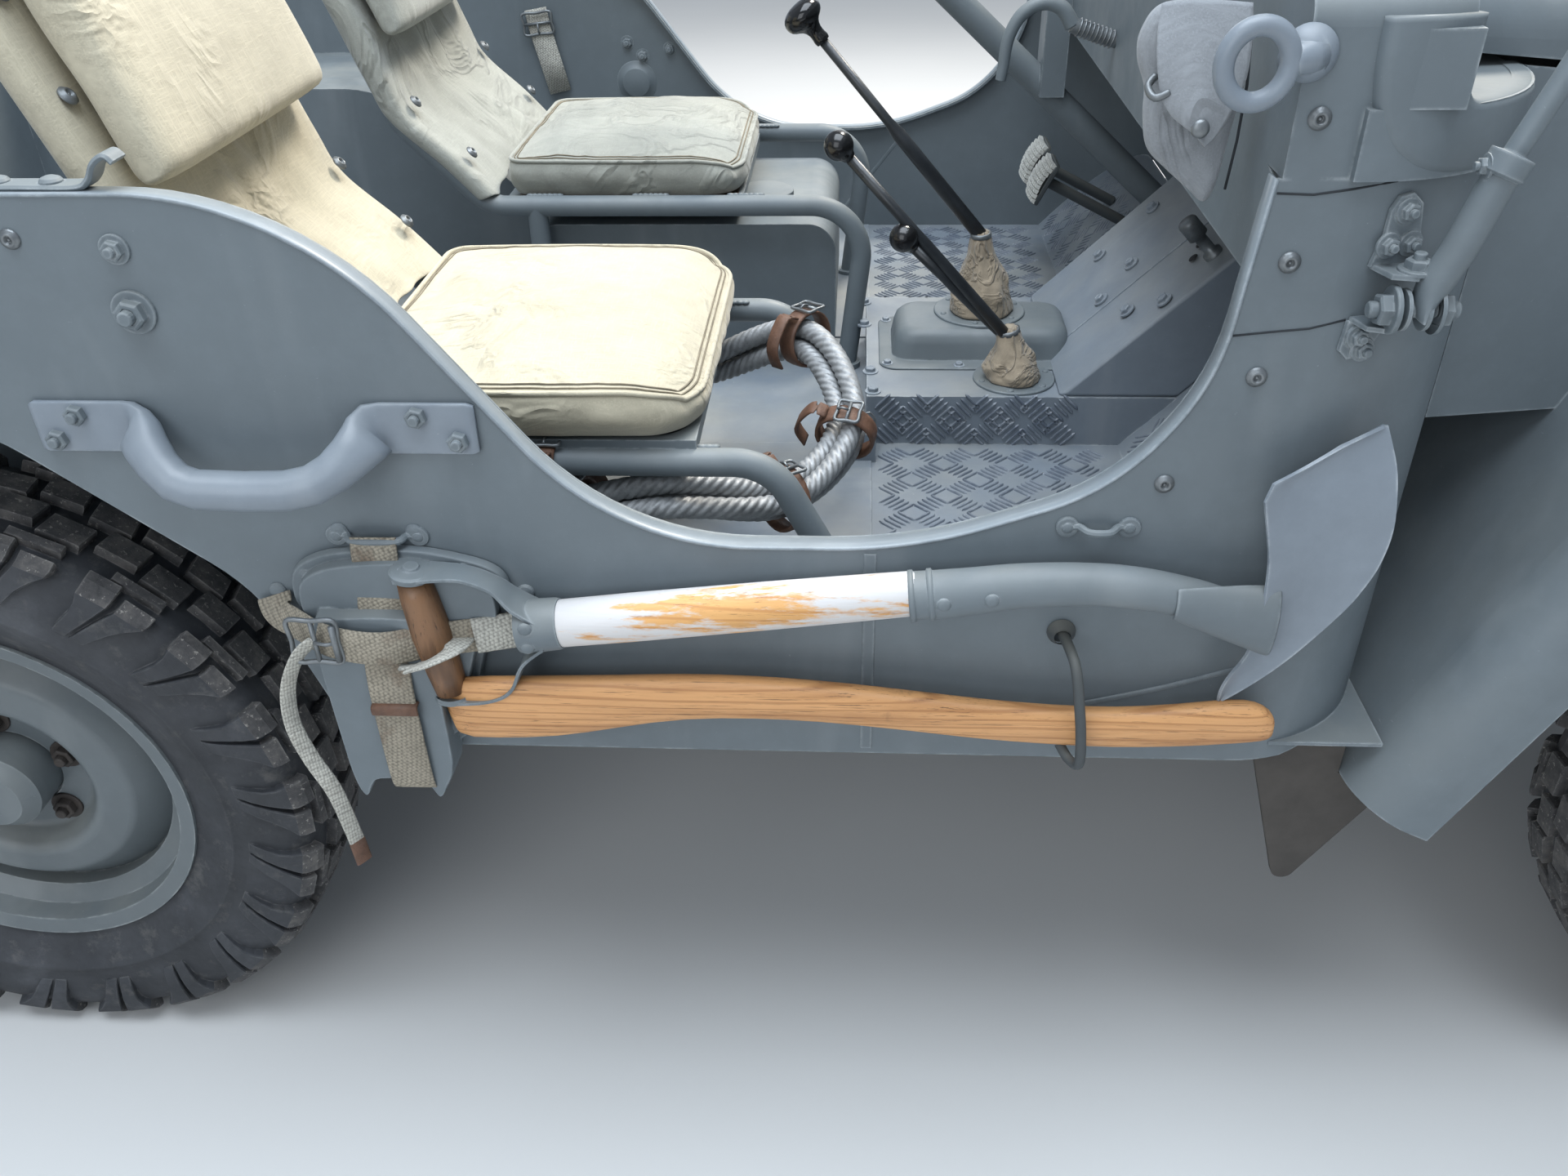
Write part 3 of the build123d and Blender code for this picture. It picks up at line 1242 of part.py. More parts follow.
# Road wheels and the spare: a drop-centre rim with a dished disc, hub and brake drum, and a tyre
def rim_profile(with_hub):
    with BuildLine() as barrel:
        Polyline(
            (RIM_FLANGE_R, RIM_HALF),
            (RIM_SEAT_R, RIM_HALF - 4.0),
            (RIM_SEAT_R - 3.0, RIM_HALF - 26.0),
            (RIM_WELL_R, RIM_HALF - 38.0),
            (RIM_WELL_R, -RIM_HALF + 38.0),
            (RIM_SEAT_R - 3.0, -RIM_HALF + 26.0),
            (RIM_SEAT_R, -RIM_HALF + 4.0),
            (RIM_FLANGE_R, -RIM_HALF),
        )
    with BuildLine() as disc:
        FilletPolyline(
            (HUB_R + 2.0, DISC_FACE),
            (88.0, DISC_FACE),
            (104.0, DISC_FACE + 30.0),
            (140.0, DISC_FACE + 24.0),
            (RIM_WELL_R, 0.0),
            radius=12.0,
        )
    trace(barrel.line, line_width=RIM_WALL)
    trace(disc.line, line_width=RIM_WALL)
    if with_hub:
        closed_outline(
            [
                (SPINDLE_R + RUNNING, SPINDLE_STOP, 0),
                (DRUM_R, SPINDLE_STOP, 0),
                (DRUM_R, DISC_FACE - RIM_WALL / 2, 0),
                (HUB_R, DISC_FACE - RIM_WALL / 2, 0),
                (HUB_R, HUB_FACE, 0),
                (HUB_R - 14.0, HUB_FACE + 14.0, 0),
                (0, HUB_FACE + 14.0, 0),
                (0, SPINDLE_STOP + SPINDLE_LENGTH + 2.0, 0),
                (SPINDLE_R + RUNNING, SPINDLE_STOP + SPINDLE_LENGTH + 2.0, 0),
            ]
        )
    else:
        closed_outline(
            [
                (0, DISC_FACE - RIM_WALL / 2, 0),
                (HUB_R + 6.0, DISC_FACE - RIM_WALL / 2, 0),
                (HUB_R + 6.0, DISC_FACE + RIM_WALL / 2, 0),
                (0, DISC_FACE + RIM_WALL / 2, 0),
            ]
        )


TYRE_HALF_PROFILE = (  # radius, place across from the middle
    (TYRE_BORE_R, 54.0),
    (RIM_FLANGE_R + 7.0, 60.0),
    (RIM_FLANGE_R + 66.0, TYRE_WIDTH / 2),
    (TYRE_RADIUS - 24.0, TYRE_WIDTH / 2 - 5.0),
    (TYRE_RADIUS, TREAD_HALF),
)


def wheel_rim(plane, with_hub):
    with BuildSketch(plane) as profile:
        rim_profile(with_hub)
    revolve(profile.sketch, axis=Axis(plane.origin, plane.y_dir))


def wheel_tyre(plane):
    with BuildSketch(plane) as profile:
        with BuildLine() as edge:
            Polyline(
                *TYRE_HALF_PROFILE,
                *[(r, -v) for r, v in reversed(TYRE_HALF_PROFILE)],
                close=True,
            )
        make_face(edge.edges())
    revolve(profile.sketch, axis=Axis(plane.origin, plane.y_dir))


ROAD_WHEELS = (  # name, axle, side of the car
    ("rear_right", REAR_AXLE_X, -1),
    ("rear_left", REAR_AXLE_X, 1),
    ("front_right", FRONT_AXLE_X, -1),
    ("front_left", FRONT_AXLE_X, 1),
)
for name, axle_x, side in ROAD_WHEELS:
    centre_plane = wheel_plane(axle_x, side * WHEEL_Y, side)
    with BuildPart() as rim:
        wheel_rim(centre_plane, True)
    finish(rim, f"rim_{name}")
    with BuildPart() as tyre:
        wheel_tyre(centre_plane)
    finish(tyre, f"tyre_{name}")

# The spare hangs on the rear panel's carrier, face outward
SPARE_PLANE = Plane(origin=(SPARE_X, SPARE_Y, SPARE_Z), x_dir=(0, 0, 1), z_dir=(0, -1, 0))
with BuildPart() as rim_spare:
    wheel_rim(SPARE_PLANE, False)
finish(rim_spare, "rim_spare")
with BuildPart() as tyre_spare:
    wheel_tyre(SPARE_PLANE)
finish(tyre_spare, "tyre_spare")

# Steering column: a jacket from the wheel through the toe board to the steering box on the left rail
COLUMN_RUN = Vector(COLUMN_FOOT_X - STEERING_WHEEL_X, 0, COLUMN_FOOT_Z - STEERING_WHEEL_Z)
COLUMN_DIR = tuple(COLUMN_RUN.normalized())
WHEEL_CENTRE = Vector(STEERING_WHEEL_X, STEERING_Y, STEERING_WHEEL_Z)
BOX_REACH = COLUMN_RUN.length * (STEERING_WHEEL_Z - STEERING_BOX_Z) / (STEERING_WHEEL_Z - COLUMN_FOOT_Z)
with BuildPart() as steering_column:
    turned(tuple(WHEEL_CENTRE), COLUMN_DIR, [(HUB_DROP + 2.0, COLUMN_R), (BOX_REACH, COLUMN_R)])
    box_centre = WHEEL_CENTRE + COLUMN_RUN.normalized() * BOX_REACH
    with Locations((box_centre.X, STEERING_Y - 11.0, RAIL_TOP_Z + FIT)):
        Box(130.0, 56.0, 110.0, align=(Align.CENTER, Align.CENTER, Align.MIN))
    bracket_x = DASH_X - 18.0
    bracket_z = STEERING_WHEEL_Z + (bracket_x - STEERING_WHEEL_X) * COLUMN_RUN.Z / COLUMN_RUN.X
    with Locations((bracket_x, STEERING_Y, bracket_z)):
        Box(36.0 - 2 * FIT, 60.0, DASH_LOW_Z + 40.0 - bracket_z, align=(Align.CENTER, Align.CENTER, Align.MIN))
finish(steering_column, "steering_column")

# Steering wheel: rim, three spokes, hub and horn button
WHEEL_PLANE = Plane(origin=tuple(WHEEL_CENTRE), x_dir=(0, 1, 0), z_dir=tuple(-COLUMN_RUN.normalized()))
with BuildPart() as steering_wheel:
    with BuildSketch(Plane(origin=WHEEL_PLANE.origin, x_dir=WHEEL_PLANE.x_dir, z_dir=WHEEL_PLANE.y_dir)) as ring:
        with Locations((STEERING_R, 0)):
            Circle(STEERING_RIM_R)
    revolve(ring.sketch, axis=Axis(WHEEL_PLANE.origin, WHEEL_PLANE.z_dir))
    turned(
        tuple(WHEEL_CENTRE),
        COLUMN_DIR,
        [(-18.0, 14.0), (-12.0, 24.0), (8.0, 28.0), (HUB_DROP, 18.0)],
    )
    for turn in (90, 210, 330):
        spoke = WHEEL_PLANE.x_dir * math.cos(math.radians(turn)) + WHEEL_PLANE.y_dir * math.sin(math.radians(turn))
        turned(tuple(WHEEL_CENTRE), tuple(spoke), [(0, SPOKE_R), (STEERING_R - SPOKE_R, SPOKE_R)])
finish(steering_wheel, "steering_wheel")

# Controls: pedals on the toe board, the shift tower with its levers, and the brake handle
TOE_SLOPE = (TOE_TOP_Z - FLOOR_Z + SHEET / 2) / (FIREWALL_X - TOE_X)
TOE_UP = Vector(-TOE_SLOPE, 0, 1).normalized()


def toe_z(x, lift):
    """Height of the toe board's upper face at x, with a lift square to it."""
    return FLOOR_Z - SHEET / 2 + (x - TOE_X) * TOE_SLOPE + (lift + SHEET / 2) / TOE_UP.Z


with BuildPart() as controls:
    for pedal_y in PEDALS_Y:
        pad = Vector(PEDAL_X, pedal_y, PEDAL_Z)
        foot = Vector(PEDAL_FOOT_X, pedal_y, toe_z(PEDAL_FOOT_X, PEDAL_LIFT))
        run = foot - pad
        turned(tuple(pad), tuple(run.normalized()), [(0, PEDAL_ROD_R), (run.length, PEDAL_ROD_R)])
        with BuildSketch(Plane(origin=tuple(pad), x_dir=(0, 1, 0), z_dir=tuple(-run.normalized()))):
            RectangleRounded(76.0, 64.0, 12.0)
        extrude(amount=-12.0)
    with BuildSketch(side_plane(ACCELERATOR_Y - 30.0)):
        with BuildLine() as treadle:
            Line(
                (ACCELERATOR_X, toe_z(ACCELERATOR_X, 7.0)),
                (ACCELERATOR_X + 105.0, toe_z(ACCELERATOR_X + 105.0, 30.0)),
            )
        trace(treadle.line, line_width=10.0)
        with Locations((ACCELERATOR_X + 22.0, toe_z(ACCELERATOR_X + 22.0, 5.0 + FIT))):
            Circle(5.0)
    extrude(amount=-60.0)
    with Locations((TOWER_X, 0, TUNNEL_Z + FIT)):
        Box(TOWER_LENGTH, 2 * TOWER_HALF, TOWER_HEIGHT, align=(Align.CENTER, Align.CENTER, Align.MIN))
    fillet(edges().filter_by(Axis.Z).filter_by(lambda e: abs(e.center().Z - TOWER_TOP_Z) < TOWER_HEIGHT), 30.0)
    for base_x, base_y, base_z, boot_height, boot_r in BOOTS:
        turned(
            (base_x, base_y, base_z),
            (0, 0, 1),
            [(0, boot_r + 9.0), (6.0, boot_r + 9.0), (6.0, boot_r), (boot_height, 15.0)],
        )
    for foot, knob in LEVERS:
        run = Vector(*knob) - Vector(*foot)
        reach = run.length
        turned(
            foot,
            tuple(run.normalized()),
            [
                (0, LEVER_R),
                (reach - KNOB_R, LEVER_R),
                (reach - KNOB_R / 2, KNOB_R * 0.9),
                (reach, KNOB_R),
                (reach + KNOB_R / 2, KNOB_R * 0.8),
                (reach + KNOB_R * 0.8, KNOB_R * 0.4),
            ],
        )
    turned(
        (DASH_X - FIT, BRAKE_Y, BRAKE_Z),
        (-1, 0, 0),
        [(0, 16.0), (10.0, 16.0), (10.0, 7.0), (BRAKE_REACH, 7.0)],
    )
    turned(
        (DASH_X - BRAKE_REACH, BRAKE_Y - 45.0, BRAKE_Z),
        (0, 1, 0),
        [(0, 8.0), (6.0, 10.0), (84.0, 10.0), (90.0, 8.0)],
    )
finish(controls, "controls")

# Windshield: a folding frame with a middle post and two panes, on pins at the cowl's sides
with BuildPart() as windshield_frame:
    with BuildSketch(cross_plane(WINDSHIELD_X - WINDSHIELD_DEPTH / 2)):
        with Locations((0, WINDSHIELD_Z - WINDSHIELD_DROP)):
            Rectangle(2 * WINDSHIELD_HALF, WINDSHIELD_HEIGHT, align=(Align.CENTER, Align.MIN))
        fillet([v for v in vertices() if v.Z > WINDSHIELD_Z + 10], radius=60.0)
        for side in (-1, 1):
            with Locations((side * PANE_MID_Y, PANE_LOW_Z)):
                Rectangle(PANE_WIDTH, PANE_HEIGHT, align=(Align.CENTER, Align.MIN), mode=Mode.SUBTRACT)
    extrude(amount=WINDSHIELD_DEPTH)
    for side in (-1, 1):
        turned(
            (WINDSHIELD_X, side * (WINDSHIELD_HALF - 10.0), WINDSHIELD_Z),
            (0, side, 0),
            [(0, HINGE_PIN_R), (10.0 + HINGE_GAP + EAR + 2.0, HINGE_PIN_R)],
        )
finish(windshield_frame, "windshield_frame")

with BuildPart() as windshield_glass:
    with BuildSketch(cross_plane(WINDSHIELD_X - GLASS / 2)):
        for side in (-1, 1):
            with Locations((side * PANE_MID_Y, PANE_LOW_Z + RUNNING)):
                Rectangle(
                    PANE_WIDTH - 2 * RUNNING,
                    PANE_HEIGHT - 2 * RUNNING,
                    align=(Align.CENTER, Align.MIN),
                )
    extrude(amount=GLASS)
finish(windshield_glass, "windshield_glass")


# Seats: bent tube frames with a base board; the passenger's tips forward on its front feet
def seat_frame(rows, half_rows, foot_rows):
    """A tube up one side, over the back and down the other, with cross tubes and rear legs."""
    near_y, far_y = half_rows
    side_run = [(REAR_AXLE_X + x, z) for x, z, _ in rows]
    radii = [r for _, _, r in rows[1:]]
    swept_tube(
        [(x, near_y, z) for x, z in side_run] + [(x, far_y, z) for x, z in reversed(side_run)],
        radii + radii[::-1],
        TUBE_SEAT_R,
    )
    for x, z in foot_rows:
        for leg_y in half_rows:
            with Locations((REAR_AXLE_X + x, leg_y, FLOOR_Z + FIT)):
                Cylinder(TUBE_SEAT_R, z - FLOOR_Z - FIT, align=(Align.CENTER, Align.CENTER, Align.MIN))


def seat_board(front_x, low_z, near_y, far_y):
    with Locations((REAR_AXLE_X + SEAT_REAR, (near_y + far_y) / 2, low_z)):
        Box(front_x - SEAT_REAR, far_y - near_y, BOARD, align=(Align.MIN, Align.CENTER, Align.MIN))


def cushion(front_x, low_z, high_z, near_y, far_y):
    with Locations((REAR_AXLE_X + SEAT_REAR, (near_y + far_y) / 2, low_z)):
        block = Box(
            front_x - SEAT_REAR,
            far_y - near_y,
            high_z - low_z,
            align=(Align.MIN, Align.CENTER, Align.MIN),
        )
    fillet(block.edges().filter_by(Axis.Z), radius=45.0)
    fillet(faces().sort_by(Axis.Z)[-1].edges(), radius=22.0)


def back_pad(near_y, far_y):
    """The sling between the back tubes and the pad in front of it."""
    for points, thickness in ((SLING_POINTS, SLING), (PAD_POINTS, PAD)):
        with BuildLine() as middle:
            Polyline(*[(REAR_AXLE_X + x, z) for x, z in points])
        with BuildSketch(side_plane(near_y)) as section:
            trace(middle.line, line_width=thickness)
        extrude(section.sketch, amount=near_y - far_y)


SEAT_BACK = ((316.0, 889.0, 90.0), (218.0, 1162.0, 60.0))
with BuildPart() as driver_seat_frame:
    seat_frame(
        (
            (922.0, FLOOR_Z + 4.0, 0.0),
            (950.0, DRIVER_TUBE_Z, 70.0),
            (424.0, DRIVER_TUBE_Z, 60.0),
            SEAT_BACK[0],
            SEAT_BACK[1],
        ),
        (DRIVER_Y - SEAT_HALF, DRIVER_Y + SEAT_HALF),
        ((490.0, DRIVER_TUBE_Z),),
    )
    seat_board(775.0, DRIVER_TUBE_Z - 12.0, DRIVER_Y - SEAT_HALF, DRIVER_Y + SEAT_HALF)
    for foot_y in (DRIVER_Y - SEAT_HALF, DRIVER_Y + SEAT_HALF):
        with Locations((REAR_AXLE_X + 922.0, foot_y, FLOOR_Z + FIT)):
            Cylinder(20.0, 8.0, align=(Align.CENTER, Align.CENTER, Align.MIN))
finish(driver_seat_frame, "driver_seat_frame")

with BuildPart() as driver_cushions:
    cushion(
        775.0,
        DRIVER_TUBE_Z - 12.0 + BOARD + FIT,
        DRIVER_CUSHION_Z,
        DRIVER_Y - CUSHION_HALF + 20.0,
        DRIVER_Y + CUSHION_HALF - 20.0,
    )
    back_pad(DRIVER_Y - CUSHION_HALF, DRIVER_Y + CUSHION_HALF)
finish(driver_cushions, "driver_cushions")

with BuildPart() as passenger_seat_frame:
    seat_frame(
        (
            (PASSENGER_PIVOT[0], PASSENGER_PIVOT[1], 0.0),
            (855.0, PASSENGER_TUBE_Z, 60.0),
            (440.0, PASSENGER_TUBE_Z, 60.0),
            SEAT_BACK[0],
            SEAT_BACK[1],
        ),
        (PASSENGER_Y - SEAT_HALF, PASSENGER_Y + SEAT_HALF),
        ((490.0, PASSENGER_TUBE_Z),),
    )
    seat_board(785.0, PASSENGER_TUBE_Z + 8.0, PASSENGER_Y - SEAT_HALF, PASSENGER_Y + SEAT_HALF)
    for side in (-1, 1):
        with BuildSketch(side_plane(PASSENGER_Y + side * SEAT_HALF - FOOT_EYE / 2)):
            with Locations((REAR_AXLE_X + PASSENGER_PIVOT[0], PASSENGER_PIVOT[1])):
                Circle(FOOT_EYE_R)
        extrude(amount=-FOOT_EYE)
finish(passenger_seat_frame, "passenger_seat_frame")

with BuildPart() as passenger_cushions:
    cushion(
        790.0,
        PASSENGER_TUBE_Z + 8.0 + BOARD + FIT,
        PASSENGER_CUSHION_Z,
        PASSENGER_Y - CUSHION_HALF - 5.0,
        PASSENGER_Y + CUSHION_HALF + 5.0,
    )
    back_pad(PASSENGER_Y - CUSHION_HALF, PASSENGER_Y + CUSHION_HALF)
finish(passenger_cushions, "passenger_cushions")

# Lifting handles at the rear quarters and ring eyes at the cowl
with BuildPart() as handles:
    for side in (-1, 1):
        for plate_x in (291.0, 568.0):
            with Locations((REAR_AXLE_X + plate_x, side * (HALF_WIDTH + FIT), HANDLE_Z)):
                Box(
                    90.0,
                    HANDLE_PLATE,
                    45.0,
                    align=(Align.CENTER, Align.MIN if side > 0 else Align.MAX, Align.CENTER),
                )
        swept_tube(
            [
                (REAR_AXLE_X + x, side * (HALF_WIDTH + y), z)
                for x, y, z in (
                    (300.0, 18.0, HANDLE_Z),
                    (332.0, 18.0, HANDLE_Z),
                    (362.0, 41.0, 798.0),
                    (470.0, 41.0, 798.0),
                    (528.0, 18.0, HANDLE_Z),
                    (560.0, 18.0, HANDLE_Z),
                )
            ],
            [20.0, 30.0, 40.0, 30.0],
            HANDLE_R,
        )
        with BuildSketch(Plane(origin=(REAR_AXLE_X + RING_X, side * RING_Y, RING_Z), z_dir=(0, 0, 1))) as bar:
            with Locations((RING_R, 0)):
                Circle(RING_BAR_R)
        revolve(bar.sketch, axis=Axis((REAR_AXLE_X + RING_X, side * RING_Y, RING_Z), (0, 1, 0)))
        turned(
            (REAR_AXLE_X + RING_X + RING_R, side * RING_Y, RING_Z),
            (1, 0, 0),
            [(0, RING_BAR_R - 2.0), (30.0, RING_BAR_R - 2.0)],
        )
        turned(
            (REAR_AXLE_X + RING_X + RING_R + 30.0, side * (HALF_WIDTH + FIT), RING_Z),
            (0, side, 0),
            [(0, 20.0), (6.0, 20.0), (6.0, 12.0), (24.0, 12.0)],
        )
finish(handles, "handles")

# Axe, shovel and their sheath on the right side
with BuildPart() as tools:
    with BuildSketch(side_plane(-TOOL_Y - HELVE / 2)):
        closed_outline(
            from_rear(
                (
                    (556.0, 524.0, 0.0),
                    (671.0, 526.0, 120.0),
                    (782.0, 556.0, 300.0),
                    (904.0, 557.0, 500.0),
                    (1055.0, 538.0, 500.0),
                    (1182.0, 533.0, 300.0),
                    (1321.0, 542.0, 4.0),
                    (1288.0, 588.0, 12.0),
                    (1177.0, 573.0, 300.0),
                    (1052.0, 579.0, 500.0),
                    (904.0, 597.0, 500.0),
                    (785.0, 603.0, 300.0),
                    (556.0, 599.0, 0.0),
                )
            )
        )
    extrude(amount=-HELVE)
    swept_tube(
        [
            (REAR_AXLE_X + x, -TOOL_Y, z)
            for x, z in ((640.0, 655.0), (1023.0, 701.0), (1136.0, 712.0), (1262.0, 688.0))
        ],
        [900.0, 120.0],
        SHOVEL_R,
    )
    with BuildSketch(side_plane(-TOOL_Y - 8.0)):
        with BuildLine() as yoke:
            FilletPolyline(
                *[(REAR_AXLE_X + x, z) for x, z in ((549.0, 702.0), (625.0, 702.0), (660.0, 657.0))],
                radius=25.0,
            )
        trace(yoke.line, line_width=9.0)
        with BuildLine() as yoke_low:
            FilletPolyline(
                *[(REAR_AXLE_X + x, z) for x, z in ((570.0, 585.0), (620.0, 590.0), (660.0, 657.0))],
                radius=25.0,
            )
        trace(yoke_low.line, line_width=9.0)
    extrude(amount=-16.0)
    grip_run = Vector(14.0, 0, -118.0)
    turned(
        (REAR_AXLE_X + 551.0, -TOOL_Y, 703.0),
        tuple(grip_run.normalized()),
        [(0, 15.0), (grip_run.length / 2, 18.0), (grip_run.length, 14.0)],
    )
    with BuildSketch(side_plane(-TOOL_Y - 26.0)):
        closed_outline(from_rear(BLADE_POINTS))
    blade = extrude(amount=-52.0, mode=Mode.PRIVATE)
    with BuildSketch(cross_plane(REAR_AXLE_X + 1220.0)) as blade_bow:
        with BuildLine() as bow:
            ThreePointArc((-TOOL_Y + 18.0, 560.0), (-TOOL_Y - 2.0, 700.0), (-TOOL_Y + 18.0, 860.0))
        trace(bow.line, line_width=BLADE)
    dish = extrude(amount=170.0, mode=Mode.PRIVATE)
    add(blade & dish)
    with BuildSketch(side_plane(-HALF_WIDTH - FIT - SHEET)):
        closed_outline(
            from_rear(
                (
                    (436.0, 613.0, 30.0),
                    (440.0, 706.0, 40.0),
                    (520.0, 724.0, 160.0),
                    (622.0, 700.0, 40.0),
                    (626.0, 625.0, 20.0),
                    (552.0, 500.0, 30.0),
                    (455.0, 500.0, 30.0),
                )
            )
        )
    extrude(amount=-SHEET)
    with BuildSketch(side_plane(-HALF_WIDTH - FIT - SHEET - SHEATH)):
        closed_outline(
            from_rear(
                (
                    (462.0, 660.0, 30.0),
                    (548.0, 660.0, 20.0),
                    (556.0, 500.0, 8.0),
                    (536.0, 454.0, 6.0),
                    (520.0, 470.0, 4.0),
                    (478.0, 470.0, 4.0),
                    (460.0, 454.0, 6.0),
                )
            )
        )
    extrude(amount=-SHEATH)
    swept_tube(
        [
            (REAR_AXLE_X + 1138.0, y, z)
            for y, z in ((-HALF_WIDTH - 1.0, 612.0), (-HOOK_Y, 606.0), (-HOOK_Y, 520.0), (-HOOK_Y + 34.0, 520.0))
        ],
        [12.0, 12.0],
        HOOK_R,
    )
finish(tools, "tools")

# Wire rope: a coil tied under and in front of the passenger's seat
with BuildPart() as wire_rope:
    with BuildLine() as coil:
        FilletPolyline(
            *[(REAR_AXLE_X + x, y, z) for x, y, z in ROPE_POINTS],
            radius=ROPE_RADII,
        )
    with BuildSketch(Plane(origin=coil.line @ 0, z_dir=coil.line % 0)) as rope_section:
        Circle(ROPE_BUNDLE_R)
    sweep(rope_section.sketch, path=coil.line)
finish(wire_rope, "wire_rope")

# Rubber flaps below the steps, mirrors on the cowl's corners, and the bag on the dash
with BuildPart() as mud_flaps:
    for side in (-1, 1):
        with BuildSketch(side_plane(side * FLAP_Y - FLAP / 2)):
            closed_outline(
                from_rear(
                    (
                        (1319.0, STEP_Z - SHEET - FIT, 0),
                        (1350.0, STEP_Z - SHEET - FIT, 0),
                        (1366.0, SILL_Z + 2.0, 0),
                        (1413.7, SILL_Z + 2.0, 0),
                        (1413.7, 455.0, 0),
                        (1468.0, 438.0, 6.0),
                        (1383.0, 291.0, 12.0),
                    )
                )
            )
        extrude(amount=-FLAP)
finish(mud_flaps, "mud_flaps")

CORNER_X = FIREWALL_X - COWL_CORNER_R
CORNER_Y = HALF_WIDTH - COWL_CORNER_R
with BuildPart() as mirrors:
    for side in (-1, 1):
        with BuildLine() as strap:
            CenterArc(
                (CORNER_X, side * CORNER_Y),
                COWL_CORNER_R + FIT + MIRROR_STRAP / 2,
                side * 66.0 - 7.0,
                14.0,
            )
        with BuildSketch(Plane.XY.offset(912.0)):
            trace(strap.line, line_width=MIRROR_STRAP)
            with Locations((REAR_AXLE_X + 1353.0, side * (HALF_WIDTH - 8.0))):
                Rectangle(20.0, 30.0, align=(Align.CENTER, Align.MIN if side > 0 else Align.MAX))
        extrude(amount=112.0)
        swept_tube(
            [
                (REAR_AXLE_X + x, side * (HALF_WIDTH + y), z)
                for x, y, z in (
                    (1353.0, 14.0, 925.0),
                    (1380.0, 22.0, 1043.0),
                    (1420.0, 14.0, 1160.0),
                    (1446.0, -18.0, MIRROR_Z),
                )
            ],
            [120.0, 120.0],
            MIRROR_ARM_R,
        )
        turned(
            (REAR_AXLE_X + 1438.0, side * (HALF_WIDTH - 18.0), MIRROR_Z),
            (1, 0, 0),
            [(0, MIRROR_R - 3.0), (0, MIRROR_R), (6.0, MIRROR_R), (18.0, MIRROR_R * 0.6)],
        )
finish(mirrors, "mirrors")

with BuildPart() as pouch:
    with Locations((DASH_X - FIT, -650.0, 1008.0)):
        Box(55.0, 86.0, 140.0, align=(Align.MAX, Align.CENTER, Align.MIN))
    fillet(edges(), radius=14.0)
finish(pouch, "pouch")
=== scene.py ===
"""Looks of the army 4x4 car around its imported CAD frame. Metres; x forward, y left, z up."""

import math

import bmesh
import bpy
from mathutils import Matrix, Vector, noise


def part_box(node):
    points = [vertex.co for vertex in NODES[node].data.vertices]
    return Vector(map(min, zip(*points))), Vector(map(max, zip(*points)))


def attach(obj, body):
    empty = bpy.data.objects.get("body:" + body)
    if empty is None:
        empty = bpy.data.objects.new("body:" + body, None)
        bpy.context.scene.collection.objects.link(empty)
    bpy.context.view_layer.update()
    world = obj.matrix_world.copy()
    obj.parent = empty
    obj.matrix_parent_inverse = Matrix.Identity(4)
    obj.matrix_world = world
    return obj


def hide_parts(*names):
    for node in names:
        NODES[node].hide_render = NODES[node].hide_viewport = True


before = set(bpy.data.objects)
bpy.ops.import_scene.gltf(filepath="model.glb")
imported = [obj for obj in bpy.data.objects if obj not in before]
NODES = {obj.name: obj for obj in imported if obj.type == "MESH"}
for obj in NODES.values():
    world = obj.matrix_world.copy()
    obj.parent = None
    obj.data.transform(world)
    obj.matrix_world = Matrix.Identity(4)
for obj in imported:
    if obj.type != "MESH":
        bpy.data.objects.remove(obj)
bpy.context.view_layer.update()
AXLE_X = -0.9065  # rear axle
SIDES = ((-1, "right"), (1, "left"))
UP, AHEAD, LEFT, RIGHT = (0, 0, 1), (1, 0, 0), (0, 1, 0), (0, -1, 0)
BLACK, WHITE = (0, 0, 0), (1, 1, 1)
HALF_TRACK, WHEEL_R, WHEELBASE = 622.5, 365, 2057  # mm
HALF_TUB = 730  # the tub's flat side, in mm from the middle
TUB_Y = HALF_TUB + 0.4  # just outside it
INNER_Y = HALF_TUB - 2.5  # just inside its sheet
CORNER_X, CORNER_R = 1293, 147  # where the cowl's rounded corner starts, and its radius
TOOLS_Y = -758  # the plane of the axe's and the shovel's handles
ROUND = 2 * math.pi


# ---------------------------------------------------------------- camera and light
CAM_AT = Vector((0.02741, -1.66463, 1.30734))
YAW, PITCH, ROLL = (math.radians(a) for a in (-3.6598, 33.7437, 1.2215))
FOCAL_PX, IMAGE_W = 1552.35, 1920
fwd = Vector((math.sin(YAW) * math.cos(PITCH), math.cos(YAW) * math.cos(PITCH), -math.sin(PITCH)))
right = Vector((math.cos(YAW), -math.sin(YAW), 0))
down = fwd.cross(right)
right, down = (
    right * math.cos(ROLL) + down * math.sin(ROLL),
    -right * math.sin(ROLL) + down * math.cos(ROLL),
)
cam = bpy.data.objects.new("camera", bpy.data.cameras.new("camera"))
bpy.context.scene.collection.objects.link(cam)
cam.data.sensor_fit = "HORIZONTAL"
cam.data.sensor_width = 36.0
cam.data.lens = FOCAL_PX / IMAGE_W * 36.0
cam.data.clip_start = 0.05
cam.data.clip_end = 60
turn = Matrix((right, -down, -fwd)).transposed()
cam.matrix_world = Matrix.Translation(CAM_AT) @ turn.to_4x4()
bpy.context.scene.camera = cam
bpy.context.scene.view_settings.view_transform = "Standard"


def lamp(name, at, target, power, size, colour=(1, 1, 1)):
    """An area lamp at a place, facing target."""
    data = bpy.data.lights.new(name, "AREA")
    data.energy, data.size, data.color = power, size, colour
    obj = bpy.data.objects.new(name, data)
    bpy.context.scene.collection.objects.link(obj)
    obj.location = at
    obj.rotation_euler = (Vector(target) - Vector(at)).to_track_quat("-Z", "Y").to_euler()


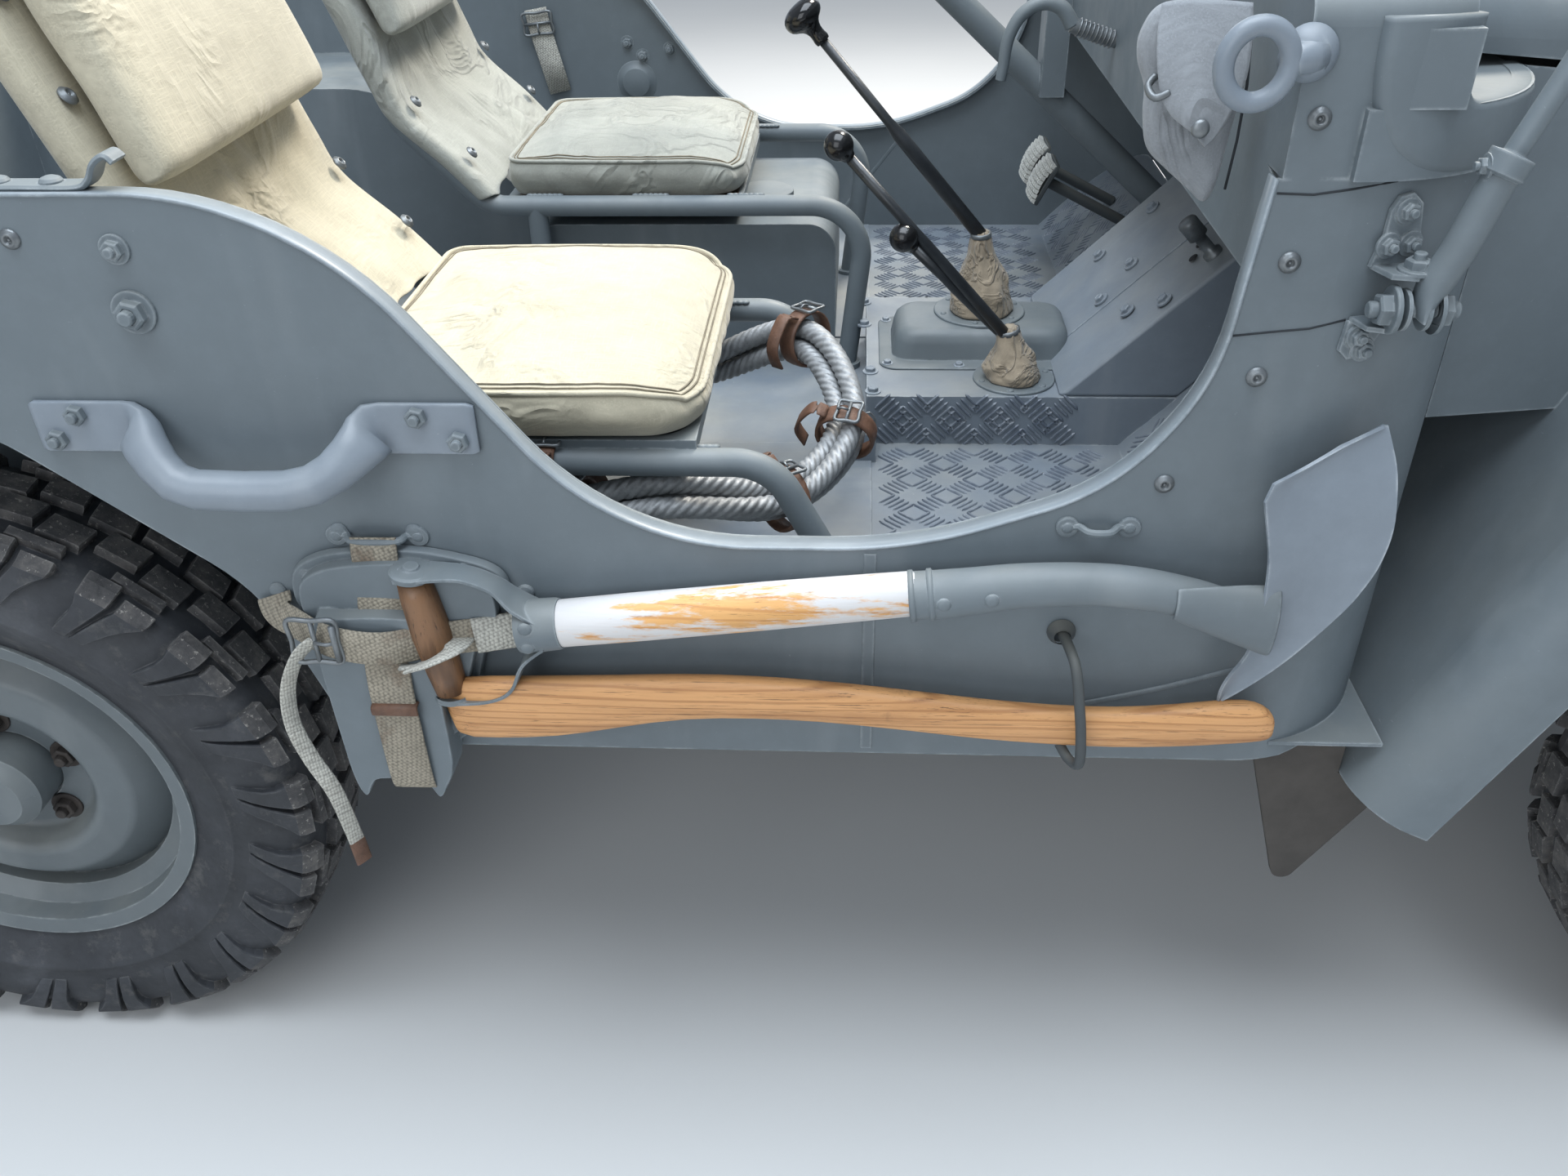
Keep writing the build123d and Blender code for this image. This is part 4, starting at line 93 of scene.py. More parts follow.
lamp("sun", (1.5, 2.4, 4.8), (-0.1, -0.2, 0.6), 300, 1.3, (1.0, 0.93, 0.83))
lamp("sky", (-0.2, -0.8, 5.2), (0, -0.2, 0.6), 350, 4.0, (0.83, 0.91, 1.0))
lamp("side", (-1.6, -4.4, 2.6), (0, -0.4, 0.7), 68, 3.0, (0.92, 0.96, 1.0))
lamp("back", (0.5, 4.5, 3.0), (0, 0, 0.7), 45, 3.0)
world = bpy.data.worlds.new("world")
bpy.context.scene.world = world
world.use_nodes = True
world.node_tree.nodes["Background"].inputs[0].default_value = (0.76, 0.86, 1.0, 1)
world.node_tree.nodes["Background"].inputs[1].default_value = 0.5


# ---------------------------------------------------------------- materials


def rgb(r, g, b):
    """Display values from 0 to 255, as a linear colour."""
    return tuple(
        ((c / 255) / 12.92 if c <= 10 else ((c / 255 + 0.055) / 1.055) ** 2.4) for c in (r, g, b)
    ) + (1,)


class Mat:
    """A node material with short calls for the usual nodes."""

    def __init__(self, name, rough=0.6, metal=0.0):
        self.m = bpy.data.materials.new(name)
        self.m.use_nodes = True
        self.t = self.m.node_tree
        self.b = self.t.nodes["Principled BSDF"]
        self.b.inputs["Roughness"].default_value = rough
        self.b.inputs["Metallic"].default_value = metal
        self.coord = self.t.nodes.new("ShaderNodeTexCoord").outputs["Object"]

    def new(self, kind, link=None, **values):
        n = self.t.nodes.new("ShaderNode" + kind)
        for k, v in values.items():
            if k.startswith("i_"):
                key = k[2:].replace("_", " ")
                key = next(s for s in n.inputs.keys() if s.lower() == key.lower())
                self.feed(n.inputs[key], v)
            else:
                setattr(n, k, v)
        return n

    def mapping(self, scale=(1, 1, 1), rot=(0, 0, 0)):
        return self.new("Mapping", i_Scale=scale, i_Rotation=rot, i_Vector=self.coord).outputs[0]

    def noise(self, scale, detail=4.0, rough=0.6, vec=None, distort=0.0):
        n = self.new(
            "TexNoise", i_Scale=scale, i_Detail=detail, i_Roughness=rough, i_Distortion=distort,
            i_Vector=vec or self.coord,
        )
        return n.outputs["Fac"]

    def ramp(self, fac, *stops):
        n = self.t.nodes.new("ShaderNodeValToRGB")
        while len(n.color_ramp.elements) < len(stops):
            n.color_ramp.elements.new(0.5)
        for e, (p, c) in zip(n.color_ramp.elements, stops):
            e.position = p
            e.color = c if len(c) == 4 else (*c, 1)
        self.t.links.new(fac, n.inputs[0])
        return n.outputs[0]

    def greys(self, fac, low, low_grey, high, high_grey):
        """A grey ramp between two places."""
        return self.ramp(fac, (low, (low_grey,) * 3), (high, (high_grey,) * 3))

    def mask(self, fac, low, high, top=1.0):
        """0 below low, rising to top at high."""
        return self.greys(fac, low, 0.0, high, top)

    def feed(self, sock, v):
        """Link an output to the socket, or set its value."""
        if hasattr(v, "links"):
            self.t.links.new(v, sock)
        else:
            sock.default_value = v

    def mix(self, fac, a, b):
        n = self.new("Mix", data_type="RGBA")
        for i, v in ((0, fac), (6, a), (7, b)):
            self.feed(n.inputs[i], v)
        return n.outputs[2]

    def math(self, op, a, b=0.0):
        n = self.new("Math", operation=op)
        for i, v in enumerate((a, b)):
            self.feed(n.inputs[i], v)
        return n.outputs[0]

    def bump(self, height, strength=0.2, dist=0.001, normal=None):
        n = self.new("Bump", i_Strength=strength, i_Distance=dist, i_Height=height)
        if normal:
            self.feed(n.inputs["Normal"], normal)
        return n.outputs[0]

    def edge(self, radius=0.004):
        """0 on faces, rising to 1 at sharp edges."""
        bev = self.new("Bevel", samples=4, i_Radius=radius)
        geo = self.new("NewGeometry")
        dot = self.new("VectorMath", operation="DOT_PRODUCT")
        self.t.links.new(bev.outputs[0], dot.inputs[0])
        self.t.links.new(geo.outputs["Normal"], dot.inputs[1])
        return self.ramp(dot.outputs["Value"], (0.80, WHITE), (0.97, BLACK))

    def up(self):
        """How far a face looks up, from -1 to 1."""
        geo = self.new("NewGeometry")
        return self.new("SeparateXYZ", i_Vector=geo.outputs["Normal"]).outputs[2]

    def done(self, colour=None, rough=None, normal=None):
        for key, v in (("Base Color", colour), ("Roughness", rough), ("Normal", normal)):
            if v is not None:
                self.feed(self.b.inputs[key], v)
        return self.m


def shade(c, k):
    """The colour c, k times as bright."""
    return tuple(min(1, x * k) for x in c[:3]) + (1,)


def paint(name, colour, worn, wear=0.8, rough=0.52, dust=0.25):
    """Matt vehicle paint: cloudy colour, chipped pale edges, thin scratches and dust on top faces."""
    m = Mat(name)
    base = m.ramp(
        m.noise(2.2, 6, 0.62), (0.30, shade(colour, 0.91)), (0.52, colour),
        (0.74, shade(colour, 1.09))
    )
    base = m.mix(m.mask(m.noise(26, 8, 0.7), 0.45, 0.75, 0.35), base, shade(colour, 1.3))
    streak = m.noise(1, 3, 0.5, m.mapping((9, 9, 1.6)), 0.6)
    base = m.mix(m.mask(streak, 0.58, 0.75, 0.25), base, shade(worn, 0.8))
    scratch = m.noise(1, 6, 0.7, m.mapping((260, 40, 300), (0.3, 0.2, 0.4)))
    base = m.mix(m.mask(scratch, 0.69, 0.72, 0.5), base, worn)
    dusty = m.math("MULTIPLY", m.up(), m.mask(m.noise(5, 5, 0.6), 0.35, 0.7))
    base = m.mix(m.math("MULTIPLY", m.math("MAXIMUM", dusty, 0.0), dust), base, rgb(176, 170, 152))
    chips = m.math("MULTIPLY", m.edge(), m.mask(m.noise(38, 6, 0.7), 0.42, 0.60, wear))
    base = m.mix(chips, base, worn)
    r = m.greys(m.noise(14, 5, 0.6), 0.3, rough - 0.09, 0.7, rough + 0.12)
    n = m.bump(m.noise(240, 3, 0.6), 0.10, 0.0006, m.bump(m.noise(7, 3, 0.5), 0.05, 0.004))
    return m.done(base, r, n)


BODY = rgb(101, 110, 115)
WORN = rgb(168, 174, 176)
body_paint = paint("body_paint", BODY, WORN)
dark_paint = paint("dark_paint", rgb(66, 71, 73), rgb(120, 122, 120), 0.4, 0.6)
wheel_paint = paint("wheel_paint", rgb(92, 99, 102), rgb(166, 170, 168), 0.9, 0.42)
# lighter and bluer than the body paint: painted light from the sky on the up-facing floor, tunnel and
# slope; the dust mask adds real dust on top
lit_dusty_floor_paint = paint("lit_dusty_floor_paint", rgb(120, 129, 138), rgb(190, 194, 196), 1.0, 0.42, 0.4)
# darker and bluer than the floor paint: painted shade of the footwell on the treadplate's bars
shaded_tread_paint = paint("shaded_tread_paint", rgb(92, 101, 113), rgb(170, 176, 182), 1.0, 0.40, 0.2)
# a lighter, bluer copy of the body paint for the lifting handles, shovel blade and tunnel bolts: painted
# light from the sky
sky_lit_paint = paint("sky_lit_paint", rgb(122, 131, 140), rgb(176, 182, 186), 1.0, 0.40, 0.15)
# lighter and bluer than the body paint for the turned-in edge's up-facing top: painted highlight from
# above, with heavy real wear at its edges
lit_worn_lip_paint = paint("lit_worn_lip_paint", rgb(124, 133, 139), rgb(192, 198, 202), 1.0, 0.36, 0.1)


def simple(name, colour, rough, metal=0.0, amount=0.3, scale=30, bump=0.15, dist=0.001):
    """One colour, lighter and darker by amount, with an uneven surface."""
    m = Mat(name, rough, metal)
    base = m.ramp(
        m.noise(scale, 6, 0.65),
        (0.28, shade(colour, 1 - amount)),
        (0.5, colour),
        (0.75, shade(colour, 1 + amount)),
    )
    r = m.ramp(
        m.noise(scale * 0.6, 4), (0.3, (max(0.05, rough - 0.12),) * 3),
        (0.7, (min(1, rough + 0.12),) * 3)
    )
    return m.done(base, r, m.bump(m.noise(scale * 6, 4), bump, dist))


castings = simple("castings", rgb(74, 78, 76), 0.6, 0.0, 0.35, 14, 0.4, 0.002)
black_enamel = simple("black_enamel", rgb(26, 27, 28), 0.22, 0.0, 0.4, 12, 0.05)
knob_black = simple("knob_black", rgb(22, 22, 23), 0.16, 0.0, 0.3, 20, 0.03)
worn_steel = simple("worn_steel", rgb(118, 122, 124), 0.42, 0.55, 0.25, 60, 0.12)
rust_black = simple("rust_black", rgb(58, 52, 48), 0.7, 0.1, 0.4, 50, 0.3)
# near-black; used only for the flat discs that paint the shade inside the slope's holes
rubber = simple("rubber", rgb(42, 42, 43), 0.78, 0.0, 0.35, 24, 0.2)
rod_black = simple("rod_black", rgb(44, 47, 50), 0.36, 0.1, 0.35, 40, 0.1)
pad_white = simple("pad_white", rgb(196, 196, 190), 0.7, 0.0, 0.25, 90, 0.2)
thread_dark = simple("thread_dark", rgb(122, 114, 98), 0.9)
seam_dark = simple("seam_dark", rgb(38, 42, 46), 0.8)
mirror_silver = simple("mirror_silver", rgb(206, 210, 212), 0.06, 1.0, 0.02, 20, 0.0)
worn_tread = simple("worn_tread", rgb(146, 144, 142), 0.6, 0.1, 0.35, 60, 0.2)
brown_rubber = simple("brown_rubber", rgb(70, 66, 62), 0.8, 0.0, 0.4, 9, 0.25, 0.002)


def lamp_glass():
    """Fluted glass over a bright bowl at the front, red glass at the rear."""
    m = Mat("lens", 0.12, 0.35)
    flutes = m.new(
        "TexWave", wave_type="BANDS", bands_direction="Y", i_Scale=22.0, i_Vector=m.coord
    )
    sep = m.new("SeparateXYZ", i_Vector=m.coord)
    base = m.mix(m.math("LESS_THAN", sep.outputs[0]), rgb(186, 194, 196), rgb(118, 20, 16))
    return m.done(base, None, m.bump(flutes.outputs["Fac"], 0.5, 0.003))


lens = lamp_glass()
leather = simple("leather", rgb(98, 70, 54), 0.58, 0.0, 0.35, 90, 0.5, 0.0012)


def tyre_rubber():
    """Greyed sidewall rubber with pale edges."""
    m = Mat("tyre_rubber", 0.75)
    base = m.ramp(
        m.noise(9, 8, 0.7), (0.3, rgb(38, 40, 43)), (0.55, rgb(54, 56, 60)), (0.8, rgb(82, 84, 88))
    )
    base = m.mix(m.mask(m.noise(40, 6, 0.7), 0.55, 0.75, 0.5), base, rgb(104, 102, 98))
    chips = m.math("MULTIPLY", m.edge(0.003), m.mask(m.noise(60, 4), 0.4, 0.6, 0.5))
    base = m.mix(chips, base, rgb(118, 118, 118))
    r = m.greys(m.noise(20, 4), 0.3, 0.55, 0.7, 0.85)
    return m.done(base, r, m.bump(m.noise(160, 5), 0.25, 0.001))


tyre_mat = tyre_rubber()


def dusty_tread():
    """Worn rubber of the tread's tops, full of dust and grit."""
    m = Mat("tread_rubber", 0.85)
    base = m.ramp(
        m.noise(30, 8, 0.75), (0.3, rgb(52, 52, 54)), (0.5, rgb(78, 77, 77)),
        (0.72, rgb(112, 108, 104))
    )
    specks = m.mask(m.noise(190, 4, 0.7), 0.60, 0.66, 0.85)
    base = m.mix(specks, base, rgb(150, 146, 140))
    chips = m.math("MULTIPLY", m.edge(0.003), m.mask(m.noise(60, 4), 0.4, 0.6, 0.6))
    base = m.mix(chips, base, rgb(136, 134, 132))
    return m.done(base, 0.88, m.bump(m.noise(150, 6, 0.7), 0.45, 0.0015))


tread_mat = dusty_tread()


def canvas(name, colour, scale=1.0, stain=0.35, weave=620.0):
    """Plain-weave cotton duck: two crossed sets of threads, creased, faded and stained; painted shade
    darkens the gaps between threads and the creases, and a painted highlight lightens the thread crowns.
    """
    m = Mat(name, 0.9)
    m.b.inputs["Sheen Weight"].default_value = 0.25
    base = m.ramp(
        m.noise(3.2 * scale, 7, 0.65), (0.28, shade(colour, 0.74)), (0.5, colour),
        (0.72, shade(colour, 1.22))
    )
    spots = m.mask(m.noise(11 * scale, 9, 0.72), 0.56, 0.70, stain)
    base = m.mix(spots, base, shade(colour, 0.52))
    warp = m.noise(1, 2, 0.6, m.mapping((weave, weave * 0.07, weave)))
    weft = m.noise(1, 2, 0.6, m.mapping((weave * 0.07, weave, weave * 0.07)))
    thread = m.math("MAXIMUM", warp, weft)
    # painted shade: darker where the threads dip, in the gaps between them
    base = m.mix(m.greys(thread, 0.42, 0.30, 0.62, 0.0), base, shade(colour, 0.62))
    # painted highlight: lighter on the raised crowns of the threads
    base = m.mix(m.mask(thread, 0.62, 0.74, 0.25), base, shade(colour, 1.3))
    height = m.math(
        "ADD", m.math("MULTIPLY", thread, 0.8), m.math("MULTIPLY", m.noise(520, 2, 0.8), 0.3)
    )
    ridge = m.math("ABSOLUTE", m.math("SUBTRACT", m.noise(6.5 * scale, 3, 0.55, None, 1.8), 0.5))
    crease = m.ramp(ridge, (0.0, WHITE), (0.075, BLACK))
    crease = m.math("MULTIPLY", crease, m.mask(m.noise(4.0 * scale, 2), 0.42, 0.6))
    # painted shade: the colour darkens along the creases
    base = m.mix(m.math("MULTIPLY", crease, 0.22), base, shade(colour, 0.6))
    soft = m.bump(crease, 0.55, 0.007, m.bump(m.noise(30, 5, 0.6), 0.25, 0.005))
    return m.done(base, 0.92, m.bump(height, 0.5, 0.0008, soft))


def webbing(name, colour, stain):
    """Coarse woven strap: raised cells for the crossing threads, with painted shade in the hollows between
    them, and rust-brown stains.
    """
    m = Mat(name, 0.9)
    cells = m.new("TexVoronoi", i_Scale=330.0, i_Randomness=0.28)
    m.feed(cells.inputs["Vector"], m.mapping((1, 1, 1), (0.5, 0.4, 0.78)))
    base = m.ramp(
        m.noise(26, 5, 0.65), (0.3, shade(colour, 0.78)), (0.55, colour), (0.75, shade(colour, 1.2))
    )
    base = m.mix(m.mask(m.noise(12, 6, 0.6), 0.52, 0.62, stain), base, rgb(96, 70, 52))
    # painted shade: darker away from each cell's middle, in the hollows between the raised threads
    base = m.mix(m.mask(cells.outputs["Distance"], 0.35, 0.75, 0.75), base, shade(colour, 0.32))
    return m.done(
        base, 0.92, m.bump(m.math("SUBTRACT", 1.0, cells.outputs["Distance"]), 0.8, 0.0014)
    )


seat_canvas = canvas("seat_canvas", rgb(186, 178, 156))
back_canvas = canvas("back_canvas", rgb(158, 159, 150))
pouch_canvas = canvas("pouch_canvas", rgb(140, 144, 148), 1.6, 0.2)
web_canvas = webbing("web_canvas", rgb(158, 150, 134), 0.85)
light_web = webbing("light_web", rgb(192, 190, 180), 0.15)
boot_leather = canvas("boot_leather", rgb(156, 142, 122), 3.0, 0.5, 1500.0)


def wood(name, light, dark, line, grain=(1.4, 26, 26), worn=None, amount=0.5):
    """Long-grained ash: rings stretched along x, dark pores, and worn paint where given."""
    m = Mat(name, 0.5)
    vec = m.mapping(grain)
    base = m.ramp(
        m.noise(1.6, 6, 0.6, vec, 1.2), (0.25, dark), (0.5, light), (0.78, shade(light, 1.2))
    )
    rings = m.new(
        "TexWave", wave_type="BANDS", bands_direction="Z", i_Scale=1.3, i_Distortion=5.0,
        i_Detail=4.0, i_Detail_Scale=1.2, i_Vector=vec
    )
    base = m.mix(m.greys(rings.outputs["Fac"], 0.0, 0.65, 0.22, 0.0), base, dark)
    pores = m.noise(1, 4, 0.8, m.mapping((grain[0] * 9, grain[1] * 22, grain[2] * 22)))
    base = m.mix(m.mask(pores, 0.58, 0.66, 0.8), base, line)
    base = m.mix(m.mask(m.noise(7, 6, 0.7), 0.62, 0.72, 0.6), base, line)
    if worn:
        skin = m.math(
            "ADD", m.noise(1, 7, 0.72, m.mapping((3, 17, 17))),
            m.math("MULTIPLY", m.noise(3, 3), 0.35)
        )
        base = m.mix(m.mask(skin, amount, amount + 0.05, 0.94), base, worn)
    r = m.greys(m.noise(30, 4), 0.3, 0.36, 0.7, 0.56)
    return m.done(base, r, m.bump(pores, 0.35, 0.0008))


axe_wood = wood("axe_wood", rgb(204, 152, 100), rgb(160, 108, 64), rgb(70, 46, 30))
shaft_wood = wood(
    "shaft_wood", rgb(212, 160, 98), rgb(184, 126, 70), rgb(96, 62, 38), worn=rgb(206, 206, 206),
    amount=0.575
)
grip_wood = wood("grip_wood", rgb(124, 90, 62), rgb(80, 56, 38), rgb(30, 20, 14), (26, 26, 1.6))
board_wood = wood("board_wood", rgb(104, 84, 64), rgb(66, 52, 42), rgb(30, 24, 20))


def clear_glass():
    """Window glass with a thin film of dirt."""
    m = Mat("clear_glass", 0.05)
    m.b.inputs["Transmission Weight"].default_value = 1.0
    m.b.inputs["IOR"].default_value = 1.45
    dirt = m.greys(m.noise(18, 7, 0.7), 0.5, 0.04, 0.8, 0.16)
    return m.done(rgb(236, 242, 240), dirt, m.bump(m.noise(3, 2), 0.02, 0.002))


glass = clear_glass()
wire_steel = simple("wire_steel", rgb(150, 152, 153), 0.52, 0.35, 0.35, 110, 0.3)

NODE_MATS = {
    body_paint: (
        "body_side_right body_side_left rear_panel wheelhouses cowl fender_right fender_left grille hood "
        "windshield_frame handles bumpers mirrors fuel_tank steering_column driver_seat_frame "
        "passenger_seat_frame"
    ),
    lit_dusty_floor_paint: "body_floor",
    wheel_paint: "rim_rear_right rim_rear_left rim_front_right rim_front_left rim_spare",
    dark_paint: "frame front_axle rear_axle springs knuckle_left knuckle_right tie_rod radiator",
    castings: "engine",
    tyre_mat: "tyre_rear_right tyre_rear_left tyre_front_right tyre_front_left tyre_spare",
    seat_canvas: "driver_cushions passenger_cushions",
    pouch_canvas: "pouch",
    axe_wood: "tools",
    wire_steel: "wire_rope",
    brown_rubber: "mud_flaps",
    black_enamel: "steering_wheel controls",
    glass: "windshield_glass",
    lens: "lamps",
}
for mat, names in NODE_MATS.items():
    for name in names.split():
        mesh = NODES[name].data
        mesh.materials.clear()
        mesh.materials.append(mat)


# ---------------------------------------------------------------- mesh helpers


def P(x, y, z):
    """Millimetres ahead of the rear axle, left of the middle and up from the ground, in metres."""
    return Vector((AXLE_X + x / 1000, y / 1000, z / 1000))


def add_subdivision(obj, levels):
    mod = obj.modifiers.new("subsurf", "SUBSURF")
    mod.levels = mod.render_levels = levels


def piece(name, bm, mat, body="root", smooth=True, bevel=0.0, subsurf=0, replaces=()):
    """A named mesh that rides on a body of the frame, in one material slot."""
    mesh = bpy.data.meshes.new(name)
    bmesh.ops.recalc_face_normals(bm, faces=bm.faces)
    bm.to_mesh(mesh)
    bm.free()
    obj = bpy.data.objects.new(name, mesh)
    bpy.context.scene.collection.objects.link(obj)
    mesh.materials.append(mat)
    if smooth is not None:
        mesh.polygons.foreach_set("use_smooth", [smooth] * len(mesh.polygons))
    if bevel:
        mod = obj.modifiers.new("bevel", "BEVEL")
        mod.width, mod.segments, mod.limit_method = bevel, 2, "ANGLE"
        mod.harden_normals = True
    if subsurf:
        add_subdivision(obj, subsurf)
    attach(obj, body)
    if replaces:
        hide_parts(*replaces)
    return obj


def curve_points(points, per=10, closed=False):
    """Points of a smooth line through the given ones."""
    pts = [Vector(p) for p in points]
    n, out = len(pts), []
    for i in range(n if closed else n - 1):
        a, b, c, d = (
            pts[(i + k) % n] if closed else pts[min(max(i + k, 0), n - 1)] for k in (-1, 0, 1, 2)
        )
        for k in range(per):
            t = k / per
            out.append(
                0.5 * (
                    (2 * b) + (c - a) * t + (2 * a - 5 * b + 4 * c - d) * t * t
                    + (3 * b - a - 3 * c + d) * t**3
                )
            )
    if not closed:
        out.append(pts[-1])
    return out


def skin(bm, rows, closed=True, ends=0):
    """Quads between neighbouring rows; closed rows are rings, and ends caps them either way up."""
    for a, b in zip(rows, rows[1:]):
        for k in range(len(a) if closed else len(a) - 1):
            k2 = (k + 1) % len(a)
            bm.faces.new((a[k], a[k2], b[k2], b[k]))
    if ends:
        bm.faces.new(rows[0][::ends])
        bm.faces.new(rows[-1][::-ends])


def sweep(bm, points, profile, up=UP, closed=False, twist=0.0, scale=None, follow=False):
    """Carry a closed profile of (side, height) pairs along points; up stays square to the line."""
    n, rings, up = len(points), [], Vector(up)
    last = None
    for i, p in enumerate(points):
        a = points[(i - 1) % n] if closed or i else p
        b = points[(i + 1) % n] if closed or i < n - 1 else p
        tan = (b - a).normalized()
        if follow and last is not None:
            h = (last - tan * last.dot(tan)).normalized()
        else:
            h = (up - tan * up.dot(tan)).normalized()
        last = h
        s = tan.cross(h)
        ang = twist * i
        ca, sa = math.cos(ang), math.sin(ang)
        k = scale(i / max(1, n - 1)) if scale else 1.0
        rings.append(
            [
                bm.verts.new(p + (s * (u * ca - v * sa) + h * (u * sa + v * ca)) * k) for u,
                v in profile
            ]
        )
    skin(bm, rings + rings[:1] if closed else rings, ends=0 if closed else 1)


def places(points):
    """Rows of millimetres as places; a place stays as it is."""
    return [P(*p) if isinstance(p, tuple) else p for p in points]


def rod(bm, points, per, r, n, up, **more):
    """A round bar along a smooth line through points."""
    sweep(bm, curve_points(places(points), per), ring_profile(r, n), up, **more)


def ring_profile(r, n, squash=1.0):
    return [(r * math.cos(ROUND * k / n), r * squash * math.sin(ROUND * k / n)) for k in range(n)]


def flat_profile(w, t):
    """A strap's cross-section with rounded edges."""
    a, b = w / 2, t / 2
    return [
        (-a, 0), (-a + b, -b), (0, -b * 1.05), (a - b, -b), (a, 0), (a - b, b), (0, b * 1.05),
        (-a + b, b)
    ]


def lathe(bm, centre, axis, rows, n):
    """Turn rows of (place along the axis, radius) about it; radius 0 closes the end."""
    axis = Vector(axis).normalized()
    u = axis.orthogonal().normalized()
    w = axis.cross(u)
    rings = []
    for at, r in rows:
        c = Vector(centre) + axis * at
        if r <= 0:
            rings.append([bm.verts.new(c)])
        else:
            rings.append([
                bm.verts.new(c + (u * math.cos(ROUND * k / n) + w * math.sin(ROUND * k / n)) * r)
                for k in range(n)
            ])
    for a, b in zip(rings, rings[1:]):
        for k in range(n):
            k2 = (k + 1) % n
            if len(a) == 1 and len(b) > 1:
                bm.faces.new((a[0], b[k], b[k2]))
            elif len(b) == 1 and len(a) > 1:
                bm.faces.new((a[k], b[0], a[k2]))
            elif len(a) > 1:
                bm.faces.new((a[k], b[k], b[k2], a[k2]))


def slab(bm, outline, lift, thick):
    """A flat outline of points, given thickness along lift, with its rim slightly drawn in."""
    lift = Vector(lift).normalized()
    mid = sum(outline, Vector()) / len(outline)
    rows = []
    for h, k in ((0, 1.0), (thick * 0.6, 1.0), (thick, 0.985)):
        rows.append([bm.verts.new(mid + (p - mid) * k + lift * h) for p in outline])
    skin(bm, rows, ends=-1)


def thicken(obj, thick, offset=0):
    """A sheet's thickness, and one level of subdivision over it."""
    mod = obj.modifiers.new("thick", "SOLIDIFY")
    mod.thickness, mod.offset = thick, offset
    add_subdivision(obj, 1)


def power_ring(a, half_u, half_v, power):
    """A point of a rounded rectangle at angle a."""
    c, s = math.cos(a), math.sin(a)
    u = math.copysign(abs(c) ** (2 / power), c) * half_u
    v = math.copysign(abs(s) ** (2 / power), s) * half_v
    return u, v


def hex_bolt(bm, at, axis, size, washer=True, stub=False):
    """Hexagon head on a washer; size is across the corners' radius."""
    axis = Vector(axis).normalized()
    at = Vector(at)
    if washer:
        lathe(
            bm, at, axis,
            [
                (-0.001, size * 1.45), (size * 0.16, size * 1.45), (size * 0.22, size * 1.38),
                (size * 0.22, 0)
            ],
            24
        )
    base = size * 0.2 if washer else 0.0
    lathe(
        bm, at, axis,
        [
            (base - 0.0005, size), (base + size * 0.62, size), (base + size * 0.75, size * 0.84),
            (base + size * 0.75, size * 0.6), (base + size * 0.68, size * 0.55),
            (base + size * 0.68, 0)
        ],
        6
    )
    if stub:
        lathe(
            bm, at, axis,
            [
                (base, size * 0.5), (base + size * 1.15, size * 0.5),
                (base + size * 1.25, size * 0.4), (base + size * 1.25, 0)
            ],
            16
        )


def round_head(bm, at, axis, r, dome=0.45):
    """Domed rivet or bolt head."""
    at, axis = Vector(at), Vector(axis).normalized()
    lathe(
        bm, at, axis,
        [
            (-0.0008, r), (r * 0.1, r), (r * dome * 0.7, r * 0.8), (r * dome, r * 0.4),
            (r * dome * 1.05, 0)
        ],
        20
    )


def snap(bm, at, axis, r):
    """Press fastener: a collar with a hollow stud."""
    lathe(
        bm, at, axis,
        [
            (-0.0008, r * 1.25), (r * 0.15, r * 1.25), (r * 0.25, r), (r * 0.55, r * 0.8),
            (r * 0.62, r * 0.62), (r * 0.5, r * 0.45), (r * 0.1, r * 0.42), (r * 0.1, r * 0.22),
            (r * 0.35, r * 0.18), (r * 0.4, 0)
        ],
        24
    )


# ---------------------------------------------------------------- tyres
LUGS = 22
TREAD_BASE = [
    (0.0795, 0.286), (0.0792, 0.305), (0.0770, 0.322), (0.0715, 0.337), (0.0625, 0.3465),
    (0.050, 0.351), (0.025, 0.3525), (0.0, 0.353)
]


def tread_at(s):
    """Place (across, radius) and way out on the half profile, s from 0 (sidewall) to 1 (middle)."""
    f = s * (len(TREAD_BASE) - 1)
    i = min(int(f), len(TREAD_BASE) - 2)
    a, b = Vector(TREAD_BASE[i]), Vector(TREAD_BASE[i + 1])
    p = a.lerp(b, f - i)
    before = Vector(TREAD_BASE[max(i - 1, 0)])
    after = Vector(TREAD_BASE[min(i + 2, len(TREAD_BASE) - 1)])
    d = (a - before + b - a).lerp(
        b - a + after - b, f - i
    ).normalized() if s < 0.999 else Vector((-1, 0))
    return p, Vector((-d.y, d.x)) if d.x > 0 else Vector((d.y, -d.x))


